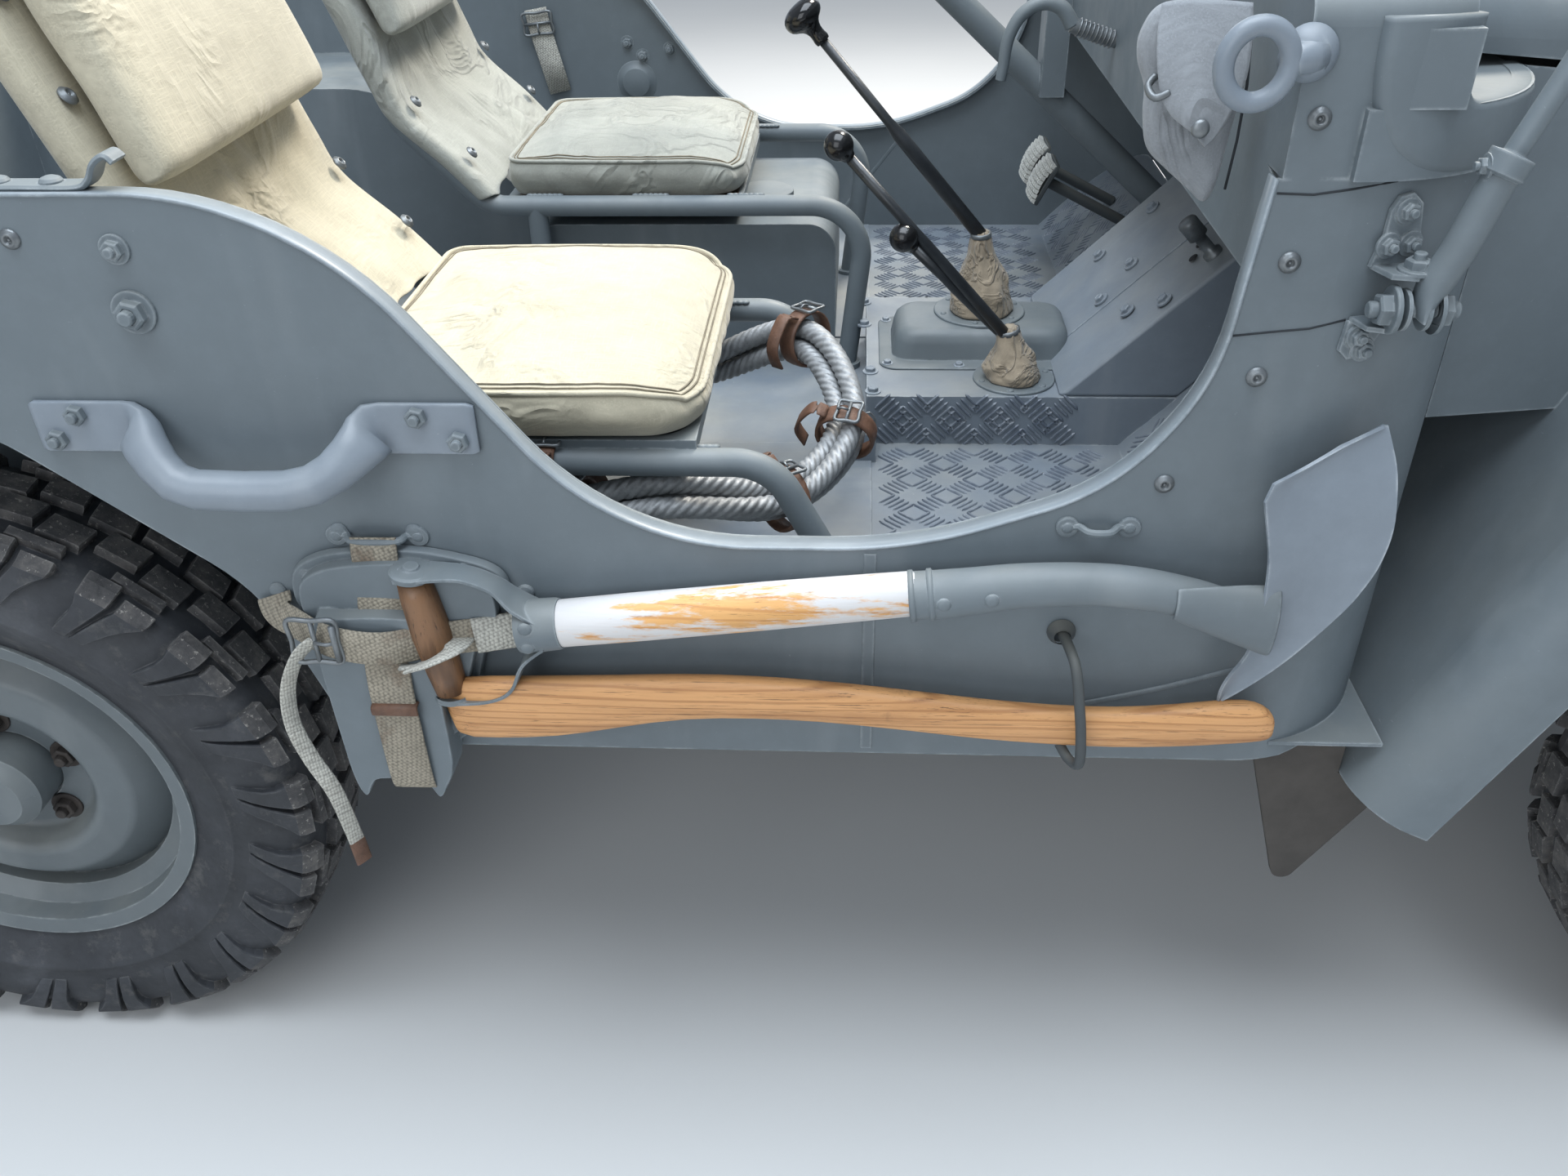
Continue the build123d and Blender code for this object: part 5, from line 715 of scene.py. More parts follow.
def tyre_mesh(centre):
    """One tyre about the y axis: a carcass, slit shoulder lugs, and a zigzag rib of blocks on each side."""
    bm = bmesh.new()
    half = [
        (0.2085, 0.050), (0.2085, 0.056), (0.214, 0.0605), (0.226, 0.0615), (0.238, 0.068),
        (0.252, 0.074), (0.2645, 0.0780), (0.266, 0.0795), (0.269, 0.0795), (0.2705, 0.0782),
        (0.286, 0.0795)
    ]
    prof = [(y, r) for r, y in half] + [tuple(p) for p in TREAD_BASE[1:]]
    prof = prof + [(-y, r) for y, r in reversed(prof[:-1])] + [(-0.03, 0.2085), (0.03, 0.2085)]
    n = 104
    rings = []
    for k in range(n):
        a = ROUND * k / n
        rings.append(
            [bm.verts.new(centre + Vector((math.cos(a) * r, y, math.sin(a) * r))) for y, r in prof]
        )
    for k in range(n):
        r0, r1 = rings[k], rings[(k + 1) % n]
        for j in range(len(prof)):
            j2 = (j + 1) % len(prof)
            bm.faces.new((r0[j], r0[j2], r1[j2], r1[j])).smooth = True

    def block(rows, side, mat_index=1):
        """Rows of (s, angle from, angle to, height); each stands on the carcass with drawn-in sides."""
        quads = []
        for s, a0, a1, h in rows:
            (y, r), nrm = tread_at(s)
            inset = min(0.0016, (a1 - a0) * 0.1) / 0.36
            line = []
            for a, lift in (
                (a0, -0.004), (a0 + inset * 0.3, h * 0.8), (a0 + inset, h), (a1 - inset, h),
                (a1 - inset * 0.3, h * 0.8), (a1, -0.004)
            ):
                rr = r + nrm[1] * lift
                yy = side * (y + nrm[0] * lift)
                line.append(bm.verts.new(centre + Vector((math.cos(a) * rr, yy, math.sin(a) * rr))))
            quads.append(line)
        for q0, q1 in zip(quads, quads[1:]):
            for j in range(5):
                bm.faces.new((q0[j], q0[j + 1], q1[j + 1], q1[j])).material_index = mat_index
        for q in (quads[0], quads[-1]):
            bm.faces.new(q).material_index = mat_index

    pitch = ROUND / LUGS
    for side in (-1, 1):
        for k in range(LUGS):
            a = pitch * (k + (0.25 if side > 0 else 0))
            # each lug is two strips with a thin bent slit between them, drawn out on the sidewall
            foot = [
                (0.0, 0.50, 0.0012), (0.05, 0.56, 0.0040), (0.14, 0.60, 0.0062),
                (0.26, 0.66, 0.0078), (0.36, 0.80, 0.0095), (0.44, 0.98, 0.0115)
            ]
            head = [
                (0.44, 0.98, 0.0115), (0.50, 1.0, 0.0122), (0.57, 1.0, 0.0124), (0.64, 1.0, 0.0124)
            ]
            for lo, hi, reach in ((-0.37, -0.035, 3), (0.035, 0.37, 4)):
                for part, rows_in in ((0, foot), (1, head[:reach])):
                    rows = []
                    for s, w, h in rows_in:
                        lean = -0.55 * pitch * max(0, 0.46 - s) * side
                        rows.append((s, a + lean + lo * w * pitch, a + lean + hi * w * pitch, h))
                    block(rows, side, part)
            # inner step of the lug, joined to the zigzag rib
            block(
                [
                    (0.66, a - 0.36 * pitch, a + 0.18 * pitch, 0.012),
                    (0.73, a - 0.36 * pitch, a + 0.18 * pitch, 0.012)
                ],
                side
            )
            # zigzag rib: short blocks that step to and fro
            for j, (f0, f1, s0, s1) in enumerate(
                ((-0.47, -0.02, 0.77, 0.93), (0.02, 0.47, 0.83, 0.985))
            ):
                block(
                    [
                        (s0, a + (f0 + 0.03) * pitch, a + f1 * pitch, 0.012),
                        (s1, a + f0 * pitch, a + (f1 - 0.03) * pitch, 0.012)
                    ],
                    side
                )
    return bm


WHEELS = {
    "rear_right": P(0, -HALF_TRACK, WHEEL_R),
    "rear_left": P(0, HALF_TRACK, WHEEL_R),
    "front_right": P(WHEELBASE, -HALF_TRACK, WHEEL_R),
    "front_left": P(WHEELBASE, HALF_TRACK, WHEEL_R),
}
for name, at in WHEELS.items():
    tyre = piece(
        "tread_" + name, tyre_mesh(at), tyre_mat, "wheel_" + name, smooth=None,
        replaces=["tyre_" + name]
    )
    tyre.data.materials.append(tread_mat)
bm = tyre_mesh(Vector())
bmesh.ops.rotate(bm, verts=bm.verts, cent=(0, 0, 0), matrix=Matrix.Rotation(math.pi / 2, 3, "Z"))
low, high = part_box("tyre_spare")
bmesh.ops.translate(bm, verts=bm.verts, vec=(Vector(low) + Vector(high)) / 2)
piece(
    "tread_spare", bm, tyre_mat, "root", smooth=None, replaces=["tyre_spare"]
).data.materials.append(tread_mat)

# wheel nuts
for name, at in WHEELS.items():
    side = -1 if "right" in name else 1
    bm = bmesh.new()
    for k in range(5):
        a = math.radians(90 + 72 * k)
        c = at + Vector((math.cos(a) * 0.0699, side * 0.0165, math.sin(a) * 0.0699))
        hex_bolt(bm, c, (0, side, 0), 0.0125, True, True)
    piece("nuts_" + name, bm, rust_black, "wheel_" + name, smooth=False, bevel=0.0006)


# ---------------------------------------------------------------- fasteners and trim on the tub
for side, tag in SIDES:
    yy = side * TUB_Y
    out = (0, side, 0)
    bolts, bright = bmesh.new(), bmesh.new()
    for x, z in ((262, 827), (285, 850), (574, 850), (606, 828)):
        hex_bolt(bolts, P(x, side * 735.4, z), out, 0.0092, False, True)
    hex_bolt(bolts, P(360, yy, 989), out, 0.0085, True, True)
    hex_bolt(bolts, P(360, yy, 938), out, 0.0125, True, True)
    for x, z in ((412, 672), (641, 674), (483, 736), (550, 736)):
        round_head(bolts, P(x, yy, z), out, 0.008)
    for x, z in (
        (279, 997), (1191, 791), (1248, 887), (1255, 979), (1255, 1082), (-190, 990), (-440, 990)
    ):
        snap(bright, P(x, yy, z), out, 0.0066)
    # footman loops for the straps
    for x0, x1, z in ((484, 549, 732), (1120, 1164, 749)):
        path = curve_points(
            [
                P(x0, yy, z), P(x0 + 6, side * 733, z + 1), P(x0 + 14, side * 741, z),
                P(x1 - 14, side * 741, z), P(x1 - 6, side * 733, z + 1), P(x1, yy, z)
            ],
            6
        )
        sweep(bolts, path, ring_profile(0.0035, 8), UP)
        for x in (x0 - 4, x1 + 4):
            lathe(
                bolts, P(x, yy, z), out,
                [(-0.0008, 0.010), (0.0022, 0.0095), (0.0026, 0.008), (0.0026, 0)], 20
            )
            round_head(bolts, P(x, side * 732.8, z), out, 0.0052)
    # a raised seam down the middle of the sill and a crease ahead of it
    sweep(
        bolts, [P(950, side * (HALF_TUB + 0.2), 498), P(950, side * (HALF_TUB + 0.2), 719)],
        flat_profile(0.012, 0.0022), (0, side, 0)
    )
    sweep(
        bolts,
        curve_points(
            [P(1146, side * 730, 556), P(1220, side * 730.6, 578), P(1301, side * 730, 607)], 8
        ),
        ring_profile(0.0028, 8, 0.7), (0, side, 0)
    )
    piece("side_bolts_" + tag, bolts, body_paint, smooth=False, bevel=0.0005)
    piece("snaps_" + tag, bright, worn_steel)


def strap(name, pts, width, thick, mat, up):
    """A flat strap along a smooth line; up is square to its face."""
    bm = bmesh.new()
    sweep(bm, curve_points(places(pts), 8), flat_profile(width, thick), up)
    piece(name, bm, mat)


def roller_buckle(bm, at, along, out, w, l, bar=0.002):
    """Rectangular wire frame with a middle bar and a tongue; along is the strap's direction."""
    along, out = Vector(along).normalized(), Vector(out).normalized()
    s = along.cross(out)
    c = [
        at + along * (a * l / 2) + s * (b * w / 2) for a,
        b in ((1, 1), (1, 0), (1, -1), (0, -1), (-1, -1), (-1, 0), (-1, 1), (0, 1))
    ]
    sweep(bm, curve_points(c, 5, True), ring_profile(bar, 8), out, closed=True)
    sweep(bm, [at + s * (w / 2), at - s * (w / 2)], ring_profile(bar, 8), out)
    sweep(
        bm,
        [
            at + out * bar, at + along * (l * 0.28) + out * bar * 2.2,
            at + along * (l / 2) + out * bar
        ],
        ring_profile(bar * 0.7, 8), out
    )


# ---------------------------------------------------------------- axe and shovel


def elliptic_bar(bm, rows, n=20, power=2.6):
    """Rows of (x, middle height, half height, half thickness, across) for a shaped wooden handle."""
    rings = []
    for x, z, hz, hy, y in rows:
        ring = []
        for k in range(n):
            u, v = power_ring(ROUND * k / n, hy, hz, power)
            ring.append(bm.verts.new(P(x, y + u, z + v)))
        rings.append(ring)
    for a, b in zip(rings, rings[1:]):
        for k in range(n):
            bm.faces.new((a[k], b[k], b[(k + 1) % n], a[(k + 1) % n]))
    bm.faces.new(rings[0])
    bm.faces.new(rings[-1][::-1])


bm = bmesh.new()
HELVE_ROWS = [
    (556, 561, 36, 11), (600, 562, 35, 12), (660, 564, 35, 13), (720, 572, 28, 13),
    (782, 580, 23, 13), (850, 580, 21.5, 13), (904, 577, 20.5, 13), (980, 569, 20.5, 12.5),
    (1052, 559, 20.5, 12), (1120, 554, 20, 12), (1177, 552, 20.5, 12), (1230, 556, 22, 12),
    (1262, 560, 23.5, 12), (1290, 563, 23, 12), (1306, 561, 19, 11), (1318, 557, 11, 9)
]
elliptic_bar(bm, [(*r, TOOLS_Y) for r in HELVE_ROWS])
piece("axe_helve", bm, axe_wood, subsurf=1, replaces=["tools"])

bm = bmesh.new()
elliptic_bar(
    bm,
    [
        (x, 655 + (x - 640) * 0.12, r, r, TOOLS_Y) for x,
        r in ((664, 17), (670, 21.5), (740, 22), (860, 21.5), (940, 20.5), (984, 19.8), (990, 18.5))
    ],
    24, 2.0
)
piece("shovel_shaft", bm, shaft_wood)

bm = bmesh.new()
SOCKET = [
    (985, 694, 21.5), (1023, 698, 21.0), (1080, 706, 19.5), (1136, 708.5, 18.5), (1180, 705, 18),
    (1225, 695, 17.5), (1262, 685, 15), (1290, 679, 9)
]
path = curve_points([P(x, TOOLS_Y, z) for x, z, r in SOCKET], 6)
radii = [r for x, z, r in SOCKET]


def socket_scale(t):
    """The socket's radius at t, as a share of the profile's."""
    f = t * (len(radii) - 1)
    i = min(int(f), len(radii) - 2)
    return (radii[i] + (radii[i + 1] - radii[i]) * (f - i)) / 20


sweep(bm, path, ring_profile(0.020, 24), UP, scale=socket_scale)
for x in (986, 1002):
    z = 694 + (x - 985) * 0.12
    lathe(
        bm, P(x, TOOLS_Y, z), (1, 0, 0.12),
        [(-0.003, 0.0205), (-0.002, 0.0228), (0.002, 0.0228), (0.003, 0.0205)], 28
    )
for x, z in ((1012, 697), (1052, 702)):
    round_head(bm, P(x, -778.4, z + 2), (0, -1, 0.05), 0.0062)
piece("shovel_socket", bm, body_paint)

# blade: a dished sheet whose tail folds round the socket
bm = bmesh.new()
outline = [
    (1276, 742), (1268, 775), (1260, 806), (1276, 812), (1300, 828), (1330, 850), (1350, 856),
    (1364, 820), (1371, 770), (1366, 735), (1352, 700), (1335, 672), (1310, 632), (1285, 600),
    (1265, 578), (1262, 600), (1270, 625), (1279, 645)
]
cols, rows_n = 26, 18


def inside_line(z):
    """Leading and trailing x of the blade at height z."""
    xs = []
    n = len(outline)
    for i in range(n):
        (x0, z0), (x1, z1) = outline[i], outline[(i + 1) % n]
        if (z0 - z) * (z1 - z) <= 0 and z0 != z1:
            xs.append(x0 + (x1 - x0) * (z - z0) / (z1 - z0))
    return min(xs), max(xs)


grid = []
for i in range(rows_n + 1):
    z = 579 + (855 - 579) * i / rows_n
    lo, hi = inside_line(z)
    if 644 < z < 742:
        lo = 1277
    line = []
    for j in range(cols + 1):
        f = j / cols
        x = lo + (hi - lo) * f
        v = (z - 706) / 150
        dish = -768 + 20 * v * v + 7 * math.sin(math.pi * f) * (1 - v * v)
        tail = max(0, 1 - f * 2.4) * max(0, 1 - abs(z - 690) / 46)
        step = max(0, 1 - f * 7) * (1 if z > 780 else 0)
        line.append(bm.verts.new(P(x, dish - 11 * tail ** 1.5 - 3 * step, z)))
    grid.append(line)
skin(bm, grid, closed=False)
# the blade takes the lighter copy of the body paint: painted light
blade = piece("shovel_blade", bm, sky_lit_paint)
mod = blade.modifiers.new("thick", "SOLIDIFY")
mod.thickness, mod.offset = 0.0028, 0
mod = blade.modifiers.new("bevel", "BEVEL")
mod.width, mod.segments, mod.limit_method = 0.0009, 2, "ANGLE"
mod = blade.modifiers.new("subsurf", "SUBSURF")
mod.levels = mod.render_levels = 1

# tail of the blade lapping the socket
bm = bmesh.new()
tail_grid = []
for i in range(9):
    t = i / 8
    x = 1205 + 88 * t
    z0 = 699 - 22 * t
    open_by = math.radians(55 + 55 * t)
    r = 18.4 + 16 * t
    line = []
    for j in range(15):
        a = -open_by + 2 * open_by * j / 14
        line.append(
            bm.verts.new(P(x, TOOLS_Y - (18.6 + 1.5 * t) * math.cos(a * 0.8), z0 + r * math.sin(a)))
        )
    tail_grid.append(line)
skin(bm, tail_grid, closed=False)
thicken(piece("shovel_lap", bm, body_paint), 0.0026)

# D-grip: turned wood between the two arms of a sheet-metal yoke
bm = bmesh.new()
run = (P(566, TOOLS_Y, 580) - P(551, TOOLS_Y, 706))
lathe(
    bm, P(551, TOOLS_Y, 706), run,
    [
        (0.002, 0), (0.002, 0.0145), (0.02, 0.0165), (0.06, 0.0182), (0.1, 0.0165), (0.124, 0.0148),
        (0.124, 0)
    ],
    28
)
piece("shovel_grip", bm, grip_wood)
bm = bmesh.new()


def band(bm, points, widths, thick, up):
    """A strap of the given widths along a smooth line, a little hollow across."""
    prof_n = curve_points(places(points), 8)
    total = len(prof_n) - 1
    rings = []
    for i, p in enumerate(prof_n):
        a, b = prof_n[max(i - 1, 0)], prof_n[min(i + 1, total)]
        tan = (b - a).normalized()
        h = (Vector(up) - tan * Vector(up).dot(tan)).normalized()
        s = tan.cross(h)
        f = i / total * (len(widths) - 1)
        k = min(int(f), len(widths) - 2)
        w = (widths[k] + (widths[k + 1] - widths[k]) * (f - k)) / 2
        rings.append(
            [
                bm.verts.new(p + s * u * w + h * v * thick / 2 - h * abs(u) ** 2 * w * 0.10) for u,
                v in ((-1, -1), (0, -1), (1, -1), (1, 1), (0, 1), (-1, 1))
            ]
        )
    skin(bm, rings, ends=1)


band(
    bm,
    [
        (x, TOOLS_Y, z) for x,
        z in ((538, 711), (560, 713), (595, 712), (622, 701), (640, 684), (664, 668))
    ],
    [0.030, 0.034, 0.026, 0.026, 0.036, 0.040], 0.003, UP
)
band(
    bm,
    [
        (x, TOOLS_Y, z) for x,
        z in ((556, 577), (575, 575), (605, 577), (626, 590), (642, 622), (664, 642))
    ],
    [0.028, 0.032, 0.026, 0.026, 0.036, 0.040], 0.003, (0, 0, -1)
)
lathe(
    bm, P(551, TOOLS_Y, 712), (0.1, 0, 1),
    [
        (-0.004, 0.0185), (0.001, 0.0195), (0.003, 0.017), (0.004, 0.008), (0.0065, 0.007),
        (0.0068, 0)
    ],
    24
)
lathe(
    bm, P(567, TOOLS_Y, 577), (0, 0, -1),
    [(-0.004, 0.0170), (0.001, 0.0180), (0.003, 0.016), (0.004, 0)], 24
)
lathe(
    bm, P(640, TOOLS_Y, 655), (1, 0, 0.12),
    [(0.0, 0.0235), (0.004, 0.0245), (0.034, 0.0235), (0.038, 0.0225), (0.038, 0.0)], 28
)
for x, z in ((650, 668), (650, 648)):
    round_head(bm, P(x, -780.5, z), RIGHT, 0.0062)
piece("shovel_yoke", bm, body_paint, bevel=0.0006)

# axe-head cover: embossed plate with small screws, and the open-ended sheath below
bm = bmesh.new()
cover = [
    (436, 640), (430, 672), (436, 700), (462, 716), (500, 722), (545, 723), (585, 716), (616, 705),
    (628, 688), (626, 655), (604, 630), (580, 560), (552, 500), (455, 500)
]
cover_pts = curve_points([P(x, -731, z) for x, z in cover], 4, True)
slab(bm, cover_pts, RIGHT, 0.010)
mid = sum(cover_pts, Vector()) / len(cover_pts) + Vector((0, -0.010, 0))
slab(bm, [mid + (p + Vector((0, -0.010, 0)) - mid) * 0.90 for p in cover_pts], RIGHT, 0.012)
sheath = [
    (452, 655), (480, 668), (546, 668), (556, 655), (557, 600), (556, 500), (545, 468), (536, 453),
    (528, 468), (518, 476), (480, 476), (470, 468), (462, 453), (455, 470), (452, 520)
]
slab(bm, curve_points([P(x, -733, z) for x, z in sheath], 3, True), RIGHT, 0.034)
for x, z in ((447, 697), (500, 716), (592, 706), (622, 668)):
    round_head(bm, P(x, -741.5, z), RIGHT, 0.005)
piece("axe_cover", bm, body_paint, bevel=0.002)

# spring hook over the helve
bm = bmesh.new()
rod(
    bm,
    [
        (1122, -731, 640), (1125, -752, 641), (1130, -775, 632), (1136, -782, 596),
        (1141, -783, 560), (1143, -781, 528), (1136, -768, 522), (1128, -757, 531)
    ],
    8, 0.0048, 12, AHEAD, follow=True
)
lathe(
    bm, P(1122, -731, 640), RIGHT, [(0, 0.013), (0.003, 0.0125), (0.006, 0.009), (0.010, 0.0075)],
    20
)
piece("axe_hook", bm, dark_paint)

# web straps: one hangs from the loops, one crosses it to a double-bar buckle
strap(
    "strap_upright",
    [
        (516, -741, 736), (516, -745, 722), (515, -750, 690), (514, -757, 650), (514, -770, 600),
        (514, -772, 540), (514, -770, 478), (514, -762, 466)
    ],
    0.042, 0.0028, web_canvas, RIGHT
)
strap(
    "strap_keeper", [(515, -762, 575), (515, -776, 574), (515, -777, 566)], 0.044, 0.003, leather,
    RIGHT
)
strap(
    "strap_cross",
    [
        (408, -733, 668), (414, -742, 655), (432, -752, 650), (470, -772, 645), (516, -776, 641),
        (560, -760, 640), (600, -754, 643), (632, -746, 645)
    ],
    0.034, 0.0028, web_canvas, (0, -1, 0.1)
)
strap("strap_patch", [(596, -757, 643), (634, -750, 646)], 0.036, 0.004, light_web, (0, -1, 0.1))
strap(
    "strap_grip",
    curve_points(
        [
            P(541, -779, 622), P(560, -783, 632), P(579, -777, 641), P(584, TOOLS_Y, 640),
            P(572, -742, 632), P(545, -742, 618), P(538, -760, 615), P(541, -779, 622)
        ],
        4
    ),
    0.024, 0.003, light_web, (0, 0.2, 1)
)
strap(
    "strap_end",
    [
        (458, -777, 650), (440, -779, 634), (424, -782, 600), (420, -785, 560), (428, -786, 520),
        (441, -786, 480), (447, -786, 440), (451, -786, 402)
    ],
    0.016, 0.0028, light_web, (0.75, -0.6, 0)
)
strap(
    "strap_tip", [(450, -786, 412), (451, -786, 398), (452, -786, 384)], 0.017, 0.0036, leather,
    (0.75, -0.6, 0)
)
bm = bmesh.new()
roller_buckle(bm, P(458, -777, 649), AHEAD, RIGHT, 0.044, 0.042, 0.0024)
sweep(bm, [P(478, -781, 668), P(478, -781, 630)], ring_profile(0.003, 8), RIGHT)
piece("strap_buckle", bm, worn_steel)


# ---------------------------------------------------------------- seats


def worn_cushion(name, node, x0, x1, y0, y1, z_low, z_top, mat, body, front_drop, seed):
    """A boxed cushion: creased and crowned top, round front corners, piped seam and stitches."""
    nx, ny, nz = 46, 44, 10
    cx, cy, hx, hy = (x0 + x1) / 2, (y0 + y1) / 2, (x1 - x0) / 2, (y1 - y0) / 2

    def plan(u, v):
        """Square (u, v) to the cushion's plan, with round front corners and softer rear ones."""
        r_front, r_rear = 0.30, 0.12
        au, av = abs(u), abs(v)
        r = r_front if u > 0 else r_rear
        k = max(0, au - (1 - r)), max(0, av - (1 - r))
        if k[0] > 0 and k[1] > 0:
            m = max(k)
            d = math.hypot(*k)
            f = m / d
            au, av = 1 - r + k[0] * f, 1 - r + k[1] * f
        bow = 0.035 * (1 - u * u) * (1 if v > 0 else -1) * abs(v)
        return cx + hx * math.copysign(au, u), cy + hy * (math.copysign(av, v) + bow)

    def top(u, v):
        dome = (1 - abs(u) ** 3.2) * (1 - abs(v) ** 3.2)
        z = z_top - 24 + 24 * dome
        z -= front_drop * max(0, u - 0.55) ** 2 / 0.2
        x, y = plan(u, v)
        q = Vector((x * 0.012, y * 0.004, seed))
        fold = noise.noise(q * 1.7) * 5 + abs(
            noise.noise(Vector((x * 0.035, y * 0.007, seed + 5)))
        ) * -7
        z += fold * dome ** 0.5 * (0.35 + 0.65 * max(0, -u + 0.35))
        for k, (dx, dy, wide) in enumerate(
            ((0.020, 0.006, 1.0), (0.011, 0.015, 0.8), (0.006, 0.026, 0.7))
        ):
            r = 1 - abs(noise.noise(Vector((x * dx, y * dy, seed * 3 + k)))) * 3.2
            z += 5.0 * wide * max(0, r) ** 3 * dome ** 0.7 * (0.45 + 0.55 * max(0, -u * 0.8 + 0.2))
        for dx, dy in rnd_dimples:
            z -= 5 * math.exp(-((x - dx) ** 2 + (y - dy) ** 2) / 420)
        return z

    rnd_dimples = [
        (cx - hx * 0.45 + 70 * i, cy - hy * 0.35 + 62 * j + 12 * (i % 2)) for i in range(3)
        for j in range(4)
    ]
    bm = bmesh.new()
    grid = {}
    for i in range(nx + 1):
        for j in range(ny + 1):
            u, v = -1 + 2 * i / nx, -1 + 2 * j / ny
            x, y = plan(u, v)
            grid[i, j] = bm.verts.new(P(x, y, top(u, v)))
    for i in range(nx):
        for j in range(ny):
            bm.faces.new((grid[i, j], grid[i + 1, j], grid[i + 1, j + 1], grid[i, j + 1]))
    rim = [(i, 0) for i in range(nx)] + [(nx, j) for j in range(ny)] + [
        (i, ny) for i in range(nx, 0, -1)
    ] + [(0, j) for j in range(ny, 0, -1)]
    seam = [grid[k].co.copy() for k in rim]
    last = [grid[k] for k in rim]
    centre = P(cx, cy, (z_low + z_top) / 2)
    for level in range(1, nz + 1):
        t = level / nz
        ring = []
        for n, k in enumerate(rim):
            p = seam[n]
            out = Vector((p.x - centre.x, p.y - centre.y, 0))
            out.normalize()
            belly = math.sin(math.pi * min(1, t * 1.05)) * 7 - 10 * t * t
            ripple = (
                4.0 * noise.noise(Vector((n * 0.13, t * 2.2, seed)))
                + 2.5 * noise.noise(Vector((n * 0.34, t * 1.2, seed + 4)))
            ) * math.sin(math.pi * t)
            z = p.z * (1 - t) + P(0, 0, z_low).z * t
            ring.append(bm.verts.new(Vector((p.x, p.y, z)) + out * (belly + ripple) / 1000))
        for n in range(len(rim)):
            m = (n + 1) % len(rim)
            bm.faces.new((last[m], last[n], ring[n], ring[m]))
        last = ring
    bm.faces.new(last)
    piece(name, bm, mat, body, subsurf=1, replaces=[node])
    cord = bmesh.new()
    sweep(
        cord, [p + Vector((0, 0, 0.0008)) for p in seam], ring_profile(0.0026, 8), UP, closed=True
    )
    piece(name + "_piping", cord, mat, body)
    stitch = bmesh.new()
    for inset, lift in ((0.965, 0.0016), (0.94, 0.0018)):
        line = []
        for n, k in enumerate(rim):
            u, v = -1 + 2 * k[0] / nx, -1 + 2 * k[1] / ny
            x, y = plan(u * inset, v * inset)
            line.append(P(x, y, top(u * inset, v * inset)) + Vector((0, 0, lift - 0.0012)))
        sweep(stitch, line, ring_profile(0.0010, 5), UP, closed=True)
    piece(name + "_stitch", stitch, thread_dark, body)


def sling(name, y_mid, half, body, mat, seed):
    """Canvas laced round the back tubes: slack, with long pulled folds, and a turn round each tube."""
    rows = [
        (430, 796), (408, 826), (372, 868), (338, 906), (312, 962), (288, 1030), (264, 1096),
        (244, 1152)
    ]
    rows = curve_points([Vector((x, 0, z)) for x, z in rows], 6)
    tube = curve_points(
        [
            Vector(p)
            for p in (
                (424, 0, 790), (380, 0, 838), (322, 0, 893), (300, 0, 942), (272, 0, 1018),
                (244, 0, 1092), (222, 0, 1152)
            )
        ],
        7
    )
    bm = bmesh.new()
    cols = 40
    grid = []
    for i, p in enumerate(rows):
        t = i / (len(rows) - 1)
        q = tube[min(len(tube) - 1, int(t * (len(tube) - 1)))]
        w = half - 3 - 7 * math.sin(math.pi * t)
        line = []
        for j in range(cols + 1):
            v = -1 + 2 * j / cols
            edge_v = abs(v) ** 6
            sag = 13 * (1 - v * v) * math.sin(math.pi * min(1, t * 1.05))
            folds = 5.5 * noise.noise(
                Vector((v * 2.6 + t * 2.2, t * 7.5 - v * 1.5, seed))
            ) + 3.0 * math.sin(
                v * 16 + t * 9 + 2 * noise.noise(Vector((t * 4, v * 2, seed)))
            ) * (1 - v * v)
            x = p.x * (1 - edge_v) + (q.x + 15) * edge_v - sag * 0.8 + folds * (1 - edge_v)
            z = p.z * (1 - edge_v) + q.z * edge_v - sag * 0.25
            line.append((x, y_mid + v * w, z))
        # wrap round each tube
        full = []
        for side in (-1, 1):
            wrap = []
            for k in range(1, 9):
                a = math.radians(26 * k)
                wrap.append(
                    (
                        q.x + 15.5 * math.cos(a), y_mid + side * (half + 16.5 * math.sin(a) - 0.5),
                        q.z + 1 + 3 * math.sin(a * 2)
                    )
                )
            full.append(wrap)
        line = full[0][::-1] + line + full[1]
        grid.append([bm.verts.new(P(*c)) for c in line])
    skin(bm, grid, closed=False)
    area = sum(f.calc_area() for f in bm.faces)
    width = sum((grid[10][j].co - grid[10][j + 1].co).length for j in range(len(grid[10]) - 1))
    height = sum((grid[i][20].co - grid[i + 1][20].co).length for i in range(len(grid) - 1))
    obj = piece(name, bm, mat, body)
    thicken(obj, 0.0022, 1)
    k = math.sqrt(area / (width * height))


